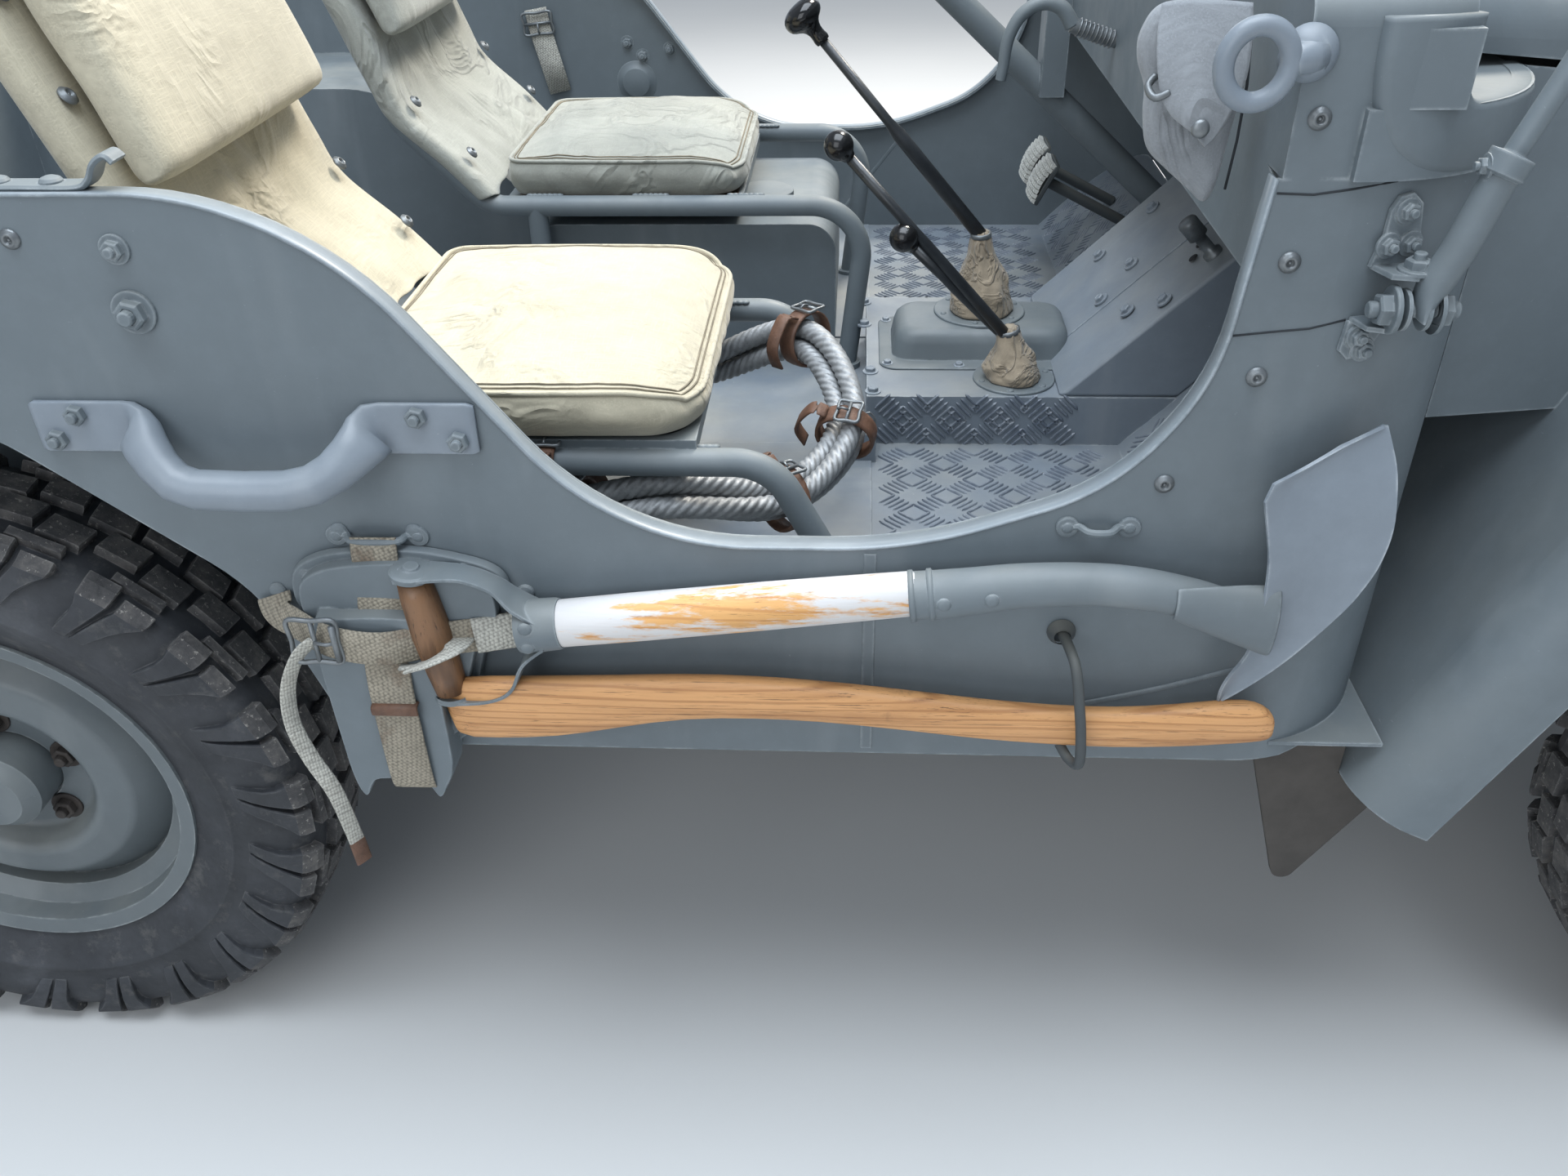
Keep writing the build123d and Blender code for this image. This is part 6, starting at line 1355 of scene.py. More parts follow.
def back_pad_piece(name, y_mid, half, body, mat, seed):
    """A stuffed pad slipped over the top of the back, lower edge rounded, seam down each side."""
    low, high = Vector((334, 0, 996)), Vector((250, 0, 1236))
    axis = (high - low)
    length = axis.length
    axis.normalize()
    fwd_dir = Vector((-axis.z, 0, axis.x)) * -1
    bm = bmesh.new()
    n, m = 40, 40
    rows = []
    for i in range(n + 1):
        t = -1 + 2 * i / n
        ring = []
        for k in range(m):
            a = ROUND * k / m
            c, s = math.cos(a), math.sin(a)
            px = math.copysign(abs(c) ** 0.62, c)
            py = math.copysign(abs(s) ** 0.30, s)
            thick = 30 * (1 - 0.18 * abs(t) ** 3)
            along = length / 2 * t
            # rounded lower and upper edges
            e = max(0, abs(t) - 0.86) / 0.14
            thick *= math.sqrt(max(0.02, 1 - e * e))
            w = (half + 4) * (1 - 0.03 * (1 - t * t))
            p = low + axis * (length / 2 + along) + fwd_dir * (px * thick - 3)
            wob = 2.6 * noise.noise(Vector((t * 2.0, s * 2.2, c * 1.2 + seed)))
            p = p + fwd_dir * wob
            ring.append(bm.verts.new(P(p.x, y_mid + py * w, p.z)))
        rows.append(ring)
    skin(bm, rows, ends=-1)
    piece(name, bm, mat, body, subsurf=1)


worn_cushion(
    "passenger_cushion", "passenger_cushions", 452, 790, -600, -203, 759, 834, seat_canvas,
    "passenger_seat", 16, 3
)
worn_cushion(
    "driver_cushion", "driver_cushions", 452, 775, 92, 448, 780, 856, back_canvas, "root", 14, 11
)
PASSENGER_Y, DRIVER_Y = -400, 270
SEATS = (
    ("passenger", PASSENGER_Y, "passenger_seat", seat_canvas),
    ("driver", DRIVER_Y, "root", back_canvas),
)
for (tag, y_mid, body, mat), seed in zip(SEATS, (2.0, 9.0)):
    sling(tag + "_sling", y_mid, 195, body, mat, seed)
for (tag, y_mid, body, mat), seed in zip(SEATS, (1.0, 6.0)):
    back_pad_piece(tag + "_back", y_mid, 190, body, mat, seed)

# snap fasteners on the slings and weld beads on the seat tubes
for tag, y_mid, tube_z, body in (
    ("passenger", PASSENGER_Y, 735, "passenger_seat"), ("driver", DRIVER_Y, 776, "root")
):
    bm = bmesh.new()
    for side in (-1, 1):
        for x, z in ((396, 838), (330, 905), (262, 1062), (232, 1142)):
            snap(bm, P(x + 11, y_mid + side * 186, z + 9), (0.75, 0, 0.65), 0.007)
    piece(tag + "_sling_snaps", bm, worn_steel, body)
    bm = bmesh.new()
    for side in (-1, 1):
        for x0 in (480, 628, 760):
            for k in range(7):
                c = P(x0 + k * 7, y_mid + side * 195 - side * 8, tube_z + 12.5)
                bmesh.ops.create_icosphere(
                    bm, subdivisions=1, radius=0.0045,
                    matrix=Matrix.Translation(c) @ Matrix.Diagonal((1.3, 1, 0.6, 1))
                )
    piece(tag + "_welds", bm, body_paint, body)


# ---------------------------------------------------------------- wire rope
ROPE = [
    (640, -300, 655), (760, -262, 690), (880, -300, 738), (928, -415, 690), (865, -520, 655),
    (740, -585, 688), (600, -560, 655), (550, -450, 645), (585, -365, 648)
]
centre_line = curve_points([P(*p) for p in ROPE], 60, True)
bm = bmesh.new()
STRANDS = 3
for s in range(STRANDS):
    phase = ROUND * s / STRANDS
    line = []
    n = len(centre_line)
    last = None
    for i, p in enumerate(centre_line):
        tan = (centre_line[(i + 1) % n] - centre_line[i - 1]).normalized()
        h = Vector(UP)
        h = (h - tan * tan.dot(h)).normalized()
        side_v = tan.cross(h)
        a = phase + ROUND * i / n
        r = 0.0138 + 0.002 * math.sin(ROUND * i * 3 / n + phase)
        line.append(p + side_v * math.cos(a) * r + h * math.sin(a) * r)
    lobes = 6
    prof = []
    for k in range(lobes * 5):
        a = ROUND * k / (lobes * 5)
        prof.append(
            (
                (0.0092 + 0.0022 * abs(math.cos(a * lobes / 2)) ** 0.6) * math.cos(a),
                (0.0092 + 0.0022 * abs(math.cos(a * lobes / 2)) ** 0.6) * math.sin(a)
            )
        )
    turns = 22
    sweep(bm, line, prof, UP, closed=True, twist=ROUND * turns / n)
piece("rope_coil", bm, wire_steel, "passenger_seat", replaces=["wire_rope"])


def leather_tie(name, at, along, r, tail=0.05):
    """A leather strap round a bundle, with a roller buckle and a loose end."""
    at, along = Vector(at), Vector(along).normalized()
    h = Vector(UP)
    h = (h - along * along.dot(h)).normalized()
    s = along.cross(h)
    pts = [
        at + (s * math.cos(a) * r + h * math.sin(a) * r)
        for a in (ROUND * k / 24 for k in range(24))
    ]
    bm = bmesh.new()
    rings = []
    for p in pts:
        out = (p - at).normalized()
        rings.append(
            [
                bm.verts.new(p + along * u * 0.010 + out * v * 0.0016) for u,
                v in ((-1, -1), (1, -1), (1, 1), (0.6, 1.3), (-0.6, 1.3), (-1, 1))
            ]
        )
    skin(bm, rings + rings[:1])
    start = at + s * r * 0.6 + h * r * 0.95
    sweep(
        bm,
        curve_points(
            [
                start, start + s * 0.016 - h * 0.002 + h * 0.006,
                start + s * (0.016 + tail * 0.4) - h * tail * 0.5,
                start + s * (0.014 + tail * 0.3) - h * tail
            ],
            5
        ),
        flat_profile(0.018, 0.003), along.cross(h)
    )
    piece(name, bm, leather, "passenger_seat")
    bm = bmesh.new()
    roller_buckle(bm, at + h * (r + 0.004) - s * r * 0.2, s, h, 0.027, 0.024, 0.0019)
    piece(name + "_buckle", bm, worn_steel, "passenger_seat")


for k, (i, r) in enumerate(((118, 0.031), (188, 0.031), (242, 0.033), (330, 0.031))):
    p = centre_line[i % len(centre_line)]
    leather_tie(f"rope_tie_{k}", p, centre_line[(i + 1) % len(centre_line)] - p, r)
leather_tie("seat_strap", P(640, -595, 727), AHEAD, 0.0245, tail=0.04)


# ---------------------------------------------------------------- footwell


def bar_groups(bm, origin, u, v, nu, nv, pitch, keep):
    """Rolled treadplate: squares of five short bars, turned to and fro, on the plane of u and v."""
    u, v = Vector(u).normalized(), Vector(v).normalized()
    up = u.cross(v)
    half_l, half_w, high = 0.0150, 0.0026, 0.0019
    for i in range(nu):
        for j in range(nv):
            mid = Vector(origin) + u * (i + 0.5) * pitch + v * (j + 0.5) * pitch
            if not keep(mid):
                continue
            lean = math.radians(45 if (i + j) % 2 else -45)
            a, b = u * math.cos(lean) + v * math.sin(lean), v * math.cos(lean) - u * math.sin(lean)
            for k in range(-2, 3):
                c = mid + b * k * 0.0078
                low_ring, top_ring = [], []
                for s, t in ((1, 0), (0.7, 0.9), (-0.7, 0.9), (-1, 0), (-0.7, -0.9), (0.7, -0.9)):
                    low_ring.append(bm.verts.new(c + a * s * half_l + b * t * half_w - up * 0.0004))
                    top_ring.append(
                        bm.verts.new(c + a * s * half_l * 0.86 + b * t * half_w * 0.4 + up * high)
                    )
                skin(bm, (low_ring, top_ring))
                bm.faces.new(top_ring)


PITCH = 0.0410  # the treadplate's squares


def inside_tub(p):
    """Whether p lies within the cowl's rounded corners."""
    ahead = (p.x - AXLE_X) * 1000 - CORNER_X
    inner_r = CORNER_R - 10
    return abs(p.y) * 1000 < (712 if ahead < 0 else 573 + math.sqrt(max(0, inner_r**2 - ahead**2)))


bm = bmesh.new()
for side in (-1, 1):
    y_out, y_in = side * 722, side * 178
    first = P(966, min(y_out, y_in), 540.1)
    bar_groups(bm, first, AHEAD, LEFT, 8, 13, PITCH, lambda p: p.x < P(1270, 0, 0).x)
    first = P(1279, min(y_out, y_in), 542.2)
    bar_groups(bm, first, (163, 0, 164), LEFT, 5, 13, PITCH, inside_tub)
for y, z, rise in ((-174.5, 543, 1), (174.5, 603, -1)):
    bar_groups(
        bm, P(966, y, z), AHEAD, (0, 0, rise), 8, 2, 0.031,
        lambda p: p.x < P(1250 + (p.z * 1000 - 540), 0, 0).x
    )
# the bars take the darker copy of the paint: painted shade
piece("tread_bars", bm, shaded_tread_paint, smooth=False)


def prism(bm, outline, y0, y1):
    """A side view outline of (x, z) carried across from y0 to y1."""
    rings = [[bm.verts.new(P(x, y, z)) for x, z in outline] for y in (y0, y1)]
    skin(bm, rings, ends=-1)


# floor sheet behind the footwells, and the raised cover where the tunnel meets the toe board
bm = bmesh.new()
for y0, y1 in ((-722, -178), (178, 722)):
    prism(bm, [(560, 540), (957, 540), (957, 542.6), (560, 542.6)], y0, y1)
piece("floor_sheet", bm, lit_dusty_floor_paint, bevel=0.0008, smooth=False)
bm = bmesh.new()
prism(bm, [(1192, 606), (1392, 799), (1400, 803), (1428, 803), (1432, 700), (1344, 606)], -172, 172)
piece("tunnel_slope", bm, lit_dusty_floor_paint, bevel=0.006)
bm = bmesh.new()
prism(bm, [(1196, 612), (1402, 811), (1404, 808), (1199, 609)], -40, 168)
piece("slope_plate", bm, lit_dusty_floor_paint, bevel=0.0008, smooth=False)
SLOPE_OUT = Vector((-0.695, 0, 0.719))  # square to the sloping cover


def on_slope(x, y, lift):
    """A place on the sloping cover at the tunnel's front end, lift mm above it."""
    return P(x, y, 607 + (x - 1190) * 0.966 + lift)


# ---------------------------------------------------------------- gearshift tower, boots and levers


def rounded_box_ring(x0, x1, y0, y1, r, n=6):
    """Corner points of a rectangle with rounded corners."""
    pts = []
    for cx, cy, a0 in (
        (x1 - r, y1 - r, 0), (x0 + r, y1 - r, 90), (x0 + r, y0 + r, 180), (x1 - r, y0 + r, 270)
    ):
        for k in range(n + 1):
            a = math.radians(a0 + 90 * k / n)
            pts.append((cx + r * math.cos(a), cy + r * math.sin(a)))
    return pts


bm = bmesh.new()
slab(bm, [P(x, y, 607.3) for x, y in rounded_box_ring(967, 1232, -92, 92, 24)], UP, 0.0026)
rows = [
    (984, 1222, 66, 609.5, 26), (985, 1222, 65, 613, 26), (988, 1221, 62, 630, 26),
    (991, 1219, 59.5, 640, 28), (997, 1214, 54, 646.5, 27), (1006, 1206, 46, 649.3, 24)
]
rings = [
    [bm.verts.new(P(x, y, z)) for x, y in rounded_box_ring(x0, x1, -h, h, r)] for x0, x1, h, z,
    r in rows
]
skin(bm, rings)
bm.faces.new(rings[-1])
piece("shift_tower", bm, body_paint, replaces=["controls"])
bm = bmesh.new()
for x, y in (
    (978, -76), (1073, -82), (1160, -80), (978, 76), (1073, 82), (1160, 80), (1222, -70), (1222, 70)
):
    hex_bolt(bm, P(x, y, 609.6), UP, 0.0052, True)
for x, y in ((955, -98), (958, -160), (947, 66), (947, 150)):
    hex_bolt(bm, P(x, y, 607.2), UP, 0.0072, True)
for x, y in ((1280, -104), (1313, -150), (1302, 10), (1262, -20), (1278, 110), (1345, 120)):
    hex_bolt(bm, on_slope(x, y, 1.5), SLOPE_OUT, 0.0072, True)
# the bolts take the lighter copy of the body paint: painted light
piece("tunnel_bolts", bm, sky_lit_paint, smooth=False, bevel=0.0004)


def disc(bm, at, axis, r, thick):
    """A round plate with a broken edge."""
    lathe(bm, at, axis, [(-0.0005, r), (thick * 0.7, r), (thick, r - thick * 0.4), (thick, 0)], 48)


def boot_piece(name, foot, head, r0, r1, seed, folds):
    """A soft boot tied round a lever: wide at the foot, with creased folds and a gathered neck."""
    foot, head = Vector(foot), Vector(head)
    axis = (head - foot)
    length = axis.length
    axis.normalize()
    bm = bmesh.new()
    n, m = 26, 44
    rings = []
    for i in range(n + 1):
        t = i / n
        base = r0 * (1 - t) ** 1.25 + r1 + (r0 * 0.30) * math.sin(
            math.pi * min(1, t * 1.35)
        ) * (1 - t)
        c = foot.lerp(head, t)
        bend = Vector(UP).lerp(axis, min(1, t * 1.6)).normalized()
        u = bend.cross(Vector(LEFT)).normalized()
        w = bend.cross(u)
        ring = []
        for k in range(m):
            a = ROUND * k / m
            q = Vector((math.cos(a) * 1.5, math.sin(a) * 1.5, t * 3.1 + seed))
            fold = noise.noise(q) * 0.30 + abs(noise.noise(q * 2.3)) * -0.22
            neck = 1 - max(0, t - 0.9) * 2
            r = base * (1 + fold * folds * math.sin(math.pi * min(1, 0.12 + t * 0.95))) * neck
            r += 0.0012 * math.sin(a * 9 + t * 4) * max(0, t - 0.55) * 2
            ring.append(bm.verts.new(c + (u * math.cos(a) + w * math.sin(a)) * r))
        rings.append(ring)
    skin(bm, rings, ends=-1)
    piece(name, bm, boot_leather, subsurf=1)
    bm = bmesh.new()
    tie = head - axis * 0.006
    lathe(
        bm, tie, axis,
        [(-0.003, r1 * 0.9), (-0.003, r1 * 1.12), (0.003, r1 * 1.12), (0.003, r1 * 0.9)], 20
    )
    piece(name + "_clip", bm, worn_steel)


bm = bmesh.new()
disc(bm, P(1104, 12, 649.2), UP, 0.062, 0.0035)
disc(bm, P(1142, -118, 607.2), UP, 0.053, 0.0035)
for cx, cy, cz, r, count in ((1104, 12, 652.7, 53, 6), (1142, -118, 610.7, 45.5, 6)):
    for k in range(count):
        a = math.radians(60 * k + 20)
        round_head(bm, P(cx + r * math.cos(a), cy + r * math.sin(a), cz), UP, 0.0042, 0.55)
piece("boot_plates", bm, body_paint, bevel=0.0005)
boot_piece("boot_long", P(1106, 8, 652), P(1098, 0, 766), 0.032, 0.0125, 1.0, 0.8)
boot_piece("boot_short", P(1142, -120, 610), P(1128, -124, 682), 0.024, 0.0135, 8.0, 1.0)


def lever(name, foot, knob, r0, r1):
    """A rod from foot to knob, thicker over its lower half."""
    run = knob - foot
    length = run.length
    bm = bmesh.new()
    lathe(
        bm, foot, run,
        [
            (0, 0), (0, r0), (length / 2, r0 * 0.96), (length / 2 + 0.02, r1), (length - 0.012, r1),
            (length - 0.012, 0)
        ],
        20
    )
    piece(name, bm, rod_black)


LEVER_LONG = P(1104, 0, 752), P(868, 0, 1026)
LEVER_REAR = P(1130, -128, 668), P(912, -160, 917)
LEVER_FRONT = P(1124, -116, 668), P(991, -152, 806)
lever("lever_long", *LEVER_LONG, 0.0095, 0.0062)
lever("lever_rear", *LEVER_REAR, 0.0076, 0.0066)
lever("lever_front", *LEVER_FRONT, 0.0076, 0.0066)


def knob(name, foot, top, rows):
    """A black knob on top of a lever."""
    bm = bmesh.new()
    lathe(bm, top, top - foot, rows, 36)
    piece(name, bm, knob_black, subsurf=1)


ball = [(-0.019, 0.008)] + [
    (-0.0175 * math.cos(math.radians(a)), 0.0178 * math.sin(math.radians(a)))
    for a in range(32, 180, 15)
] + [(0.0176, 0)]
knob("knob_rear", *LEVER_REAR, ball)
knob("knob_front", *LEVER_FRONT, ball)
knob(
    "knob_long", *LEVER_LONG,
    [
        (-0.034, 0.0088), (-0.030, 0.0102), (-0.026, 0.0092), (-0.018, 0.0085), (-0.010, 0.012),
        (-0.006, 0.0205), (0.0, 0.0250), (0.008, 0.0256), (0.015, 0.0215), (0.0195, 0.012),
        (0.0205, 0)
    ]
)

# pedals, accelerator, foot pin and the hand brake's grip
bm, pads = bmesh.new(), bmesh.new()
for y in (430, 540):
    pad, foot = P(1222, y, 716), P(1372, y, 640)
    run = (foot - pad).normalized()
    rod(bm, [pad + run * 0.008, pad + run * 0.05, foot - run * 0.02, foot], 6, 0.0085, 14, UP)
    across = Vector(LEFT)
    rise = run.cross(across) * -1
    if rise.z < 0:
        rise = -rise
    for part in range(-4, 5):
        f = part / 4
        centre = pad + rise * f * 0.030 + run * (0.006 * f * f)
        for k in range(-4, 5):
            c = centre + across * k * 0.0083 + run * 0.0035 * (k / 4) ** 2
            lift = -run
            ring0 = [
                pads.verts.new(c + across * s * 0.0037 + rise * t * 0.0035 - lift * 0.004) for s,
                t in ((-1, -1), (1, -1), (1, 1), (-1, 1))
            ]
            ring1 = [
                pads.verts.new(c + across * s * 0.0027 + rise * t * 0.0025 + lift * 0.0035) for s,
                t in ((-1, -1), (1, -1), (1, 1), (-1, 1))
            ]
            skin(pads, (ring0, ring1))
            pads.faces.new(ring1)
    outline = []
    for s, t in rounded_box_ring(-0.042, 0.042, -0.036, 0.036, 0.014, 4):
        outline.append(
            pad + across * s + rise * t
            + run * (0.006 * (t / 0.03) ** 2 + 0.0035 * (s / 0.033) ** 2 + 0.001)
        )
    slab(bm, outline, run, 0.007)
piece("pedal_arms", bm, dark_paint, bevel=0.0008)
piece("pedal_pads", pads, pad_white, smooth=False)
bm = bmesh.new()
slab(
    bm,
    [
        P(x, 300 + y, 547 + (x - 1240) * 1.02) for x,
        y in (
            (1240, -20), (1240, 20), (1262, 27), (1372, 27), (1392, 14), (1392, -14), (1372, -27),
            (1262, -27)
        )
    ],
    (-0.71, 0, 0.70), 0.012
)
for k in range(-2, 3):
    sweep(bm, [P(1250, 300 + k * 9, 568), P(1378, 300 + k * 9, 698)], ring_profile(0.0022, 6), LEFT)
sweep(bm, [P(1330, 300, 642), P(1392, 300, 655)], ring_profile(0.005, 10), UP)
piece("accelerator", bm, worn_tread, bevel=0.0015)
bm = bmesh.new()
pin = on_slope(1368, -128, 0)
lathe(
    bm, pin, SLOPE_OUT,
    [
        (-0.004, 0.012), (0.003, 0.012), (0.004, 0.0075), (0.030, 0.0075), (0.030, 0.0125),
        (0.052, 0.0125), (0.055, 0.0105), (0.055, 0)
    ],
    24
)
piece("foot_switch", bm, worn_steel)
# flat near-black discs where the slope has holes: painted shade in place of the openings
bm = bmesh.new()
for x, y in ((1363, -85), (1352, -104)):
    lathe(bm, on_slope(x, y, 1.0), SLOPE_OUT, [(0.0008, 0), (0.0008, 0.006), (0, 0.0062)], 16)
piece("slope_hole_shade", bm, rubber)
bm = bmesh.new()
rod(bm, [(1240, -30, 1004), (1212, -30, 1012), (1185, -30, 1022)], 8, 0.009, 16, LEFT)
for k in range(9):
    lathe(
        bm, P(1234 - k * 5, -30, 1005.5 + k * 1.7), (1, 0, -0.33),
        [(-0.0012, 0.009), (-0.0008, 0.0108), (0.0008, 0.0108), (0.0012, 0.009)], 18
    )
piece("brake_rod", bm, worn_steel)
bm = bmesh.new()
rod(
    bm,
    [
        (1186, -30, 1021), (1172, -30, 1040), (1150, -30, 1046), (1126, -30, 1034),
        (1112, -30, 1008), (1108, -30, 975), (1106, -30, 960)
    ],
    8, 0.0085, 16, LEFT, scale=lambda t: 1.1 - 0.35 * t
)
piece("brake_grip", bm, body_paint)


# ---------------------------------------------------------------- seat boards, tank trim, seat foot
for tag, x1, y0, y1, z, body in (
    ("passenger", 782, -591, -209, 743.5, "passenger_seat"),
    ("driver", 772, 79, 461, 764.5, "root"),
):
    bm = bmesh.new()
    slab(bm, [P(x, y, z) for x, y in rounded_box_ring(452, x1, y0, y1, 40)], UP, 0.0145)
    piece(tag + "_board", bm, board_wood, body, bevel=0.002)
bm = bmesh.new()
for x in (500, 880):
    sweep(
        bm,
        [
            P(x, 440.5, 600), P(x, 440.5, 690), P(x, 437, 715), P(x, 427, 733), P(x, 408, 742.5),
            P(x, 300, 742.8), P(x, 132, 742.5), P(x, 113, 733), P(x, 103, 715), P(x, 99.5, 690),
            P(x, 99.5, 600)
        ],
        flat_profile(0.030, 0.0030), UP, follow=True
    )
for x in (512, 892):
    sweep(
        bm,
        [
            P(x + 4, 440, 600), P(x + 4, 440, 700), P(x + 4, 424, 735), P(x + 4, 400, 742),
            P(x + 4, 140, 742), P(x + 4, 116, 735), P(x + 4, 100, 700), P(x + 4, 100, 600)
        ],
        ring_profile(0.0026, 6), UP, follow=True
    )
piece("tank_straps", bm, body_paint, bevel=0.0004)
bm = bmesh.new()
lathe(
    bm, P(800, 190, 742), UP,
    [(0, 0.034), (0.012, 0.034), (0.014, 0.042), (0.022, 0.042), (0.025, 0.036), (0.025, 0)], 40
)
piece("tank_cap", bm, body_paint, bevel=0.001)


def foot_pin(name, y):
    """Pin through the seat's foot, with a washer and a bent wire clip."""
    x, z = 945, 562
    bm = bmesh.new()
    lathe(
        bm, P(x, y + 16, z), RIGHT,
        [
            (-0.004, 0.0), (-0.004, 0.0135), (0.004, 0.0135), (0.004, 0.007), (0.036, 0.007),
            (0.038, 0.005), (0.038, 0)
        ],
        20
    )
    lathe(bm, P(x, y - 14, z), RIGHT, [(-0.0015, 0.0125), (0.0015, 0.0125), (0.0015, 0)], 20)
    piece(name, bm, rust_black, "passenger_seat")
    bm = bmesh.new()
    c = P(x, y - 18.5, z)
    rod(
        bm,
        [
            c + Vector((-0.012, 0, -0.004)), c + Vector((0, 0, 0.004)),
            c + Vector((0.008, 0, 0.020)), c + Vector((0.016, 0, 0.034)),
            c + Vector((0.008, 0, 0.046)), c + Vector((-0.004, 0, 0.038)),
            c + Vector((-0.004, 0, 0.022)), c + Vector((0.004, 0, 0.010)),
            c + Vector((0.004, 0, -0.010))
        ],
        5, 0.0014, 6, LEFT
    )
    piece(name + "_clip", bm, worn_steel, "passenger_seat")


foot_pin("seat_pin_inner", -205)
foot_pin("seat_pin_outer", -595)


# ---------------------------------------------------------------- lifting handles and ring eyes


def shaped_bar(bm, rows, side, n=28):
    """Rows of (x, outward, z, half thickness, half height, power); joins flat ends to a round tube."""
    mids = [P(x, side * (HALF_TUB + 0.2 + y), z) for x, y, z, *_ in rows]
    rings = []
    for i, (x, y, z, ht, hh, power) in enumerate(rows):
        tan = (mids[min(i + 1, len(mids) - 1)] - mids[max(i - 1, 0)]).normalized()
        out = Vector((0, side, 0))
        out = (out - tan * out.dot(tan)).normalized()
        rise = tan.cross(out)
        ring = []
        for k in range(n):
            u, v = power_ring(ROUND * (k + 0.5) / n, ht, hh, power)
            ring.append(bm.verts.new(mids[i] + out * (u / 1000) + rise * (v / 1000)))
        rings.append(ring)
    skin(bm, rings, ends=1)


HANDLE = [
    (
        246, 2.6, 838, 2.6, 21, 7
    ), (250, 2.6, 838, 2.6, 23, 9), (300, 2.6, 838, 2.6, 23, 9), (326, 2.6, 838, 2.6, 23, 8),
    (333, 4.5, 838, 4.4, 23, 5), (
        336, 8.5, 837, 8.2, 22.5, 3.4
    ), (340, 14, 834, 13.5, 21.5, 2.6), (347, 22, 827, 16.5, 19, 2.2),
    (
        358, 31, 815, 17, 17.5, 2
    ), (372, 37.5, 804, 17, 17, 2), (390, 40.5, 799, 17, 17, 2), (430, 41, 798, 17, 17, 2),
    (466, 41, 799, 17, 17, 2), (488, 38, 803, 17, 17, 2), (506, 32, 812, 17, 17.5, 2), (
        520, 24, 823, 16.5, 19, 2.2
    ),
    (529, 16, 831, 14, 21, 2.6), (
        533, 9.5, 835, 9, 22.5, 3.4
    ), (536, 5, 838, 4.6, 23, 5), (543, 2.6, 838, 2.6, 23, 8),
    (570, 2.6, 838, 2.6, 23, 9), (616, 2.6, 838, 2.6, 23, 9), (622, 2.6, 838, 2.6, 21, 6),
]
bm = bmesh.new()
for side in (-1, 1):
    shaped_bar(bm, HANDLE, side)
    ring_c = P(1201, side * 746, 1121)
    pts = [
        ring_c + Vector((math.cos(a) * 0.022, 0, math.sin(a) * 0.0245))
        for a in (ROUND * k / 48 for k in range(48))
    ]
    sweep(bm, pts, ring_profile(0.0072, 16), LEFT, closed=True)
    shaped = [
        P(1219, side * 745, 1122), P(1227, side * 742, 1123), P(1235, side * 738, 1124),
        P(1241, side * 733, 1125)
    ]
    sweep(bm, shaped, ring_profile(0.0105, 16), LEFT, scale=lambda t: 0.8 + 0.5 * t)
    lathe(
        bm, P(1239, side * (HALF_TUB + 0.2), 1125), (0, side, 0),
        [
            (-0.001, 0.0195), (0.003, 0.0190), (0.008, 0.0150), (0.012, 0.0110), (0.014, 0.0060),
            (0.0145, 0)
        ],
        32
    )
# the handles take the lighter copy of the body paint: painted light
piece("lifting_handles", bm, sky_lit_paint, replaces=["handles"])


# ---------------------------------------------------------------- turned-in edges of the tub


def rounded_path(rows, step=10):
    """A line through rows of (x, z, radius) with true arcs at the corners."""
    pts = [Vector((x, z)) for x, z, r in rows]
    out = [pts[0]]
    for i in range(1, len(rows) - 1):
        a, b, c, r = pts[i - 1], pts[i], pts[i + 1], rows[i][2]
        d0, d1 = (a - b).normalized(), (c - b).normalized()
        half = d0.angle(d1) / 2
        cut = r / math.tan(half)
        centre = b + (d0 + d1).normalized() * (r / math.sin(half))
        p0, p1 = b + d0 * cut, b + d1 * cut
        v0, v1 = p0 - centre, p1 - centre
        turn = v0.angle_signed(v1)
        n = max(3, int(abs(turn) * r / step))
        for k in range(n + 1):
            t = turn * k / n
            out.append(
                centre
                + Vector(
                    (
                        v0.x * math.cos(-t) - v0.y * math.sin(-t),
                        v0.x * math.sin(-t) + v0.y * math.cos(-t)
                    )
                )
            )
        if (out[-1] - p1).length > 2:
            raise RuntimeError("corner turned the wrong way")
    out.append(pts[-1])
    return out


EDGE = [
    (-470, 1031, 0), (497, 1031, 262), (728, 723, 240), (985, 723, 400), (1150, 783, 190),
    (1218, 880, 190), (1234, 1040, 0)
]
edge_line = rounded_path(EDGE)
for side, tag in SIDES:
    bm = bmesh.new()
    pts = [P(p.x, side * TUB_Y, p.y) for p in edge_line]
    turned_in = [
        (-0.0016, -0.0006), (0.0004, -0.0012), (0.0016, 0.0), (0.0018, 0.004), (0.0016, 0.0165),
        (-0.0006, 0.0165), (-0.0010, 0.004)
    ]
    n = len(pts)
    rings = []
    for i, p in enumerate(pts):
        tan = (pts[min(i + 1, n - 1)] - pts[max(i - 1, 0)]).normalized()
        inward = Vector((0, -side, 0))
        up = Vector((-tan.z, 0, tan.x))
        rings.append([bm.verts.new(p + up * u + inward * v) for u, v in turned_in])
    skin(bm, rings, ends=1)
    # the turned-in edge takes the lighter copy of the body paint: painted highlight
    piece("edge_" + tag, bm, lit_worn_lip_paint)

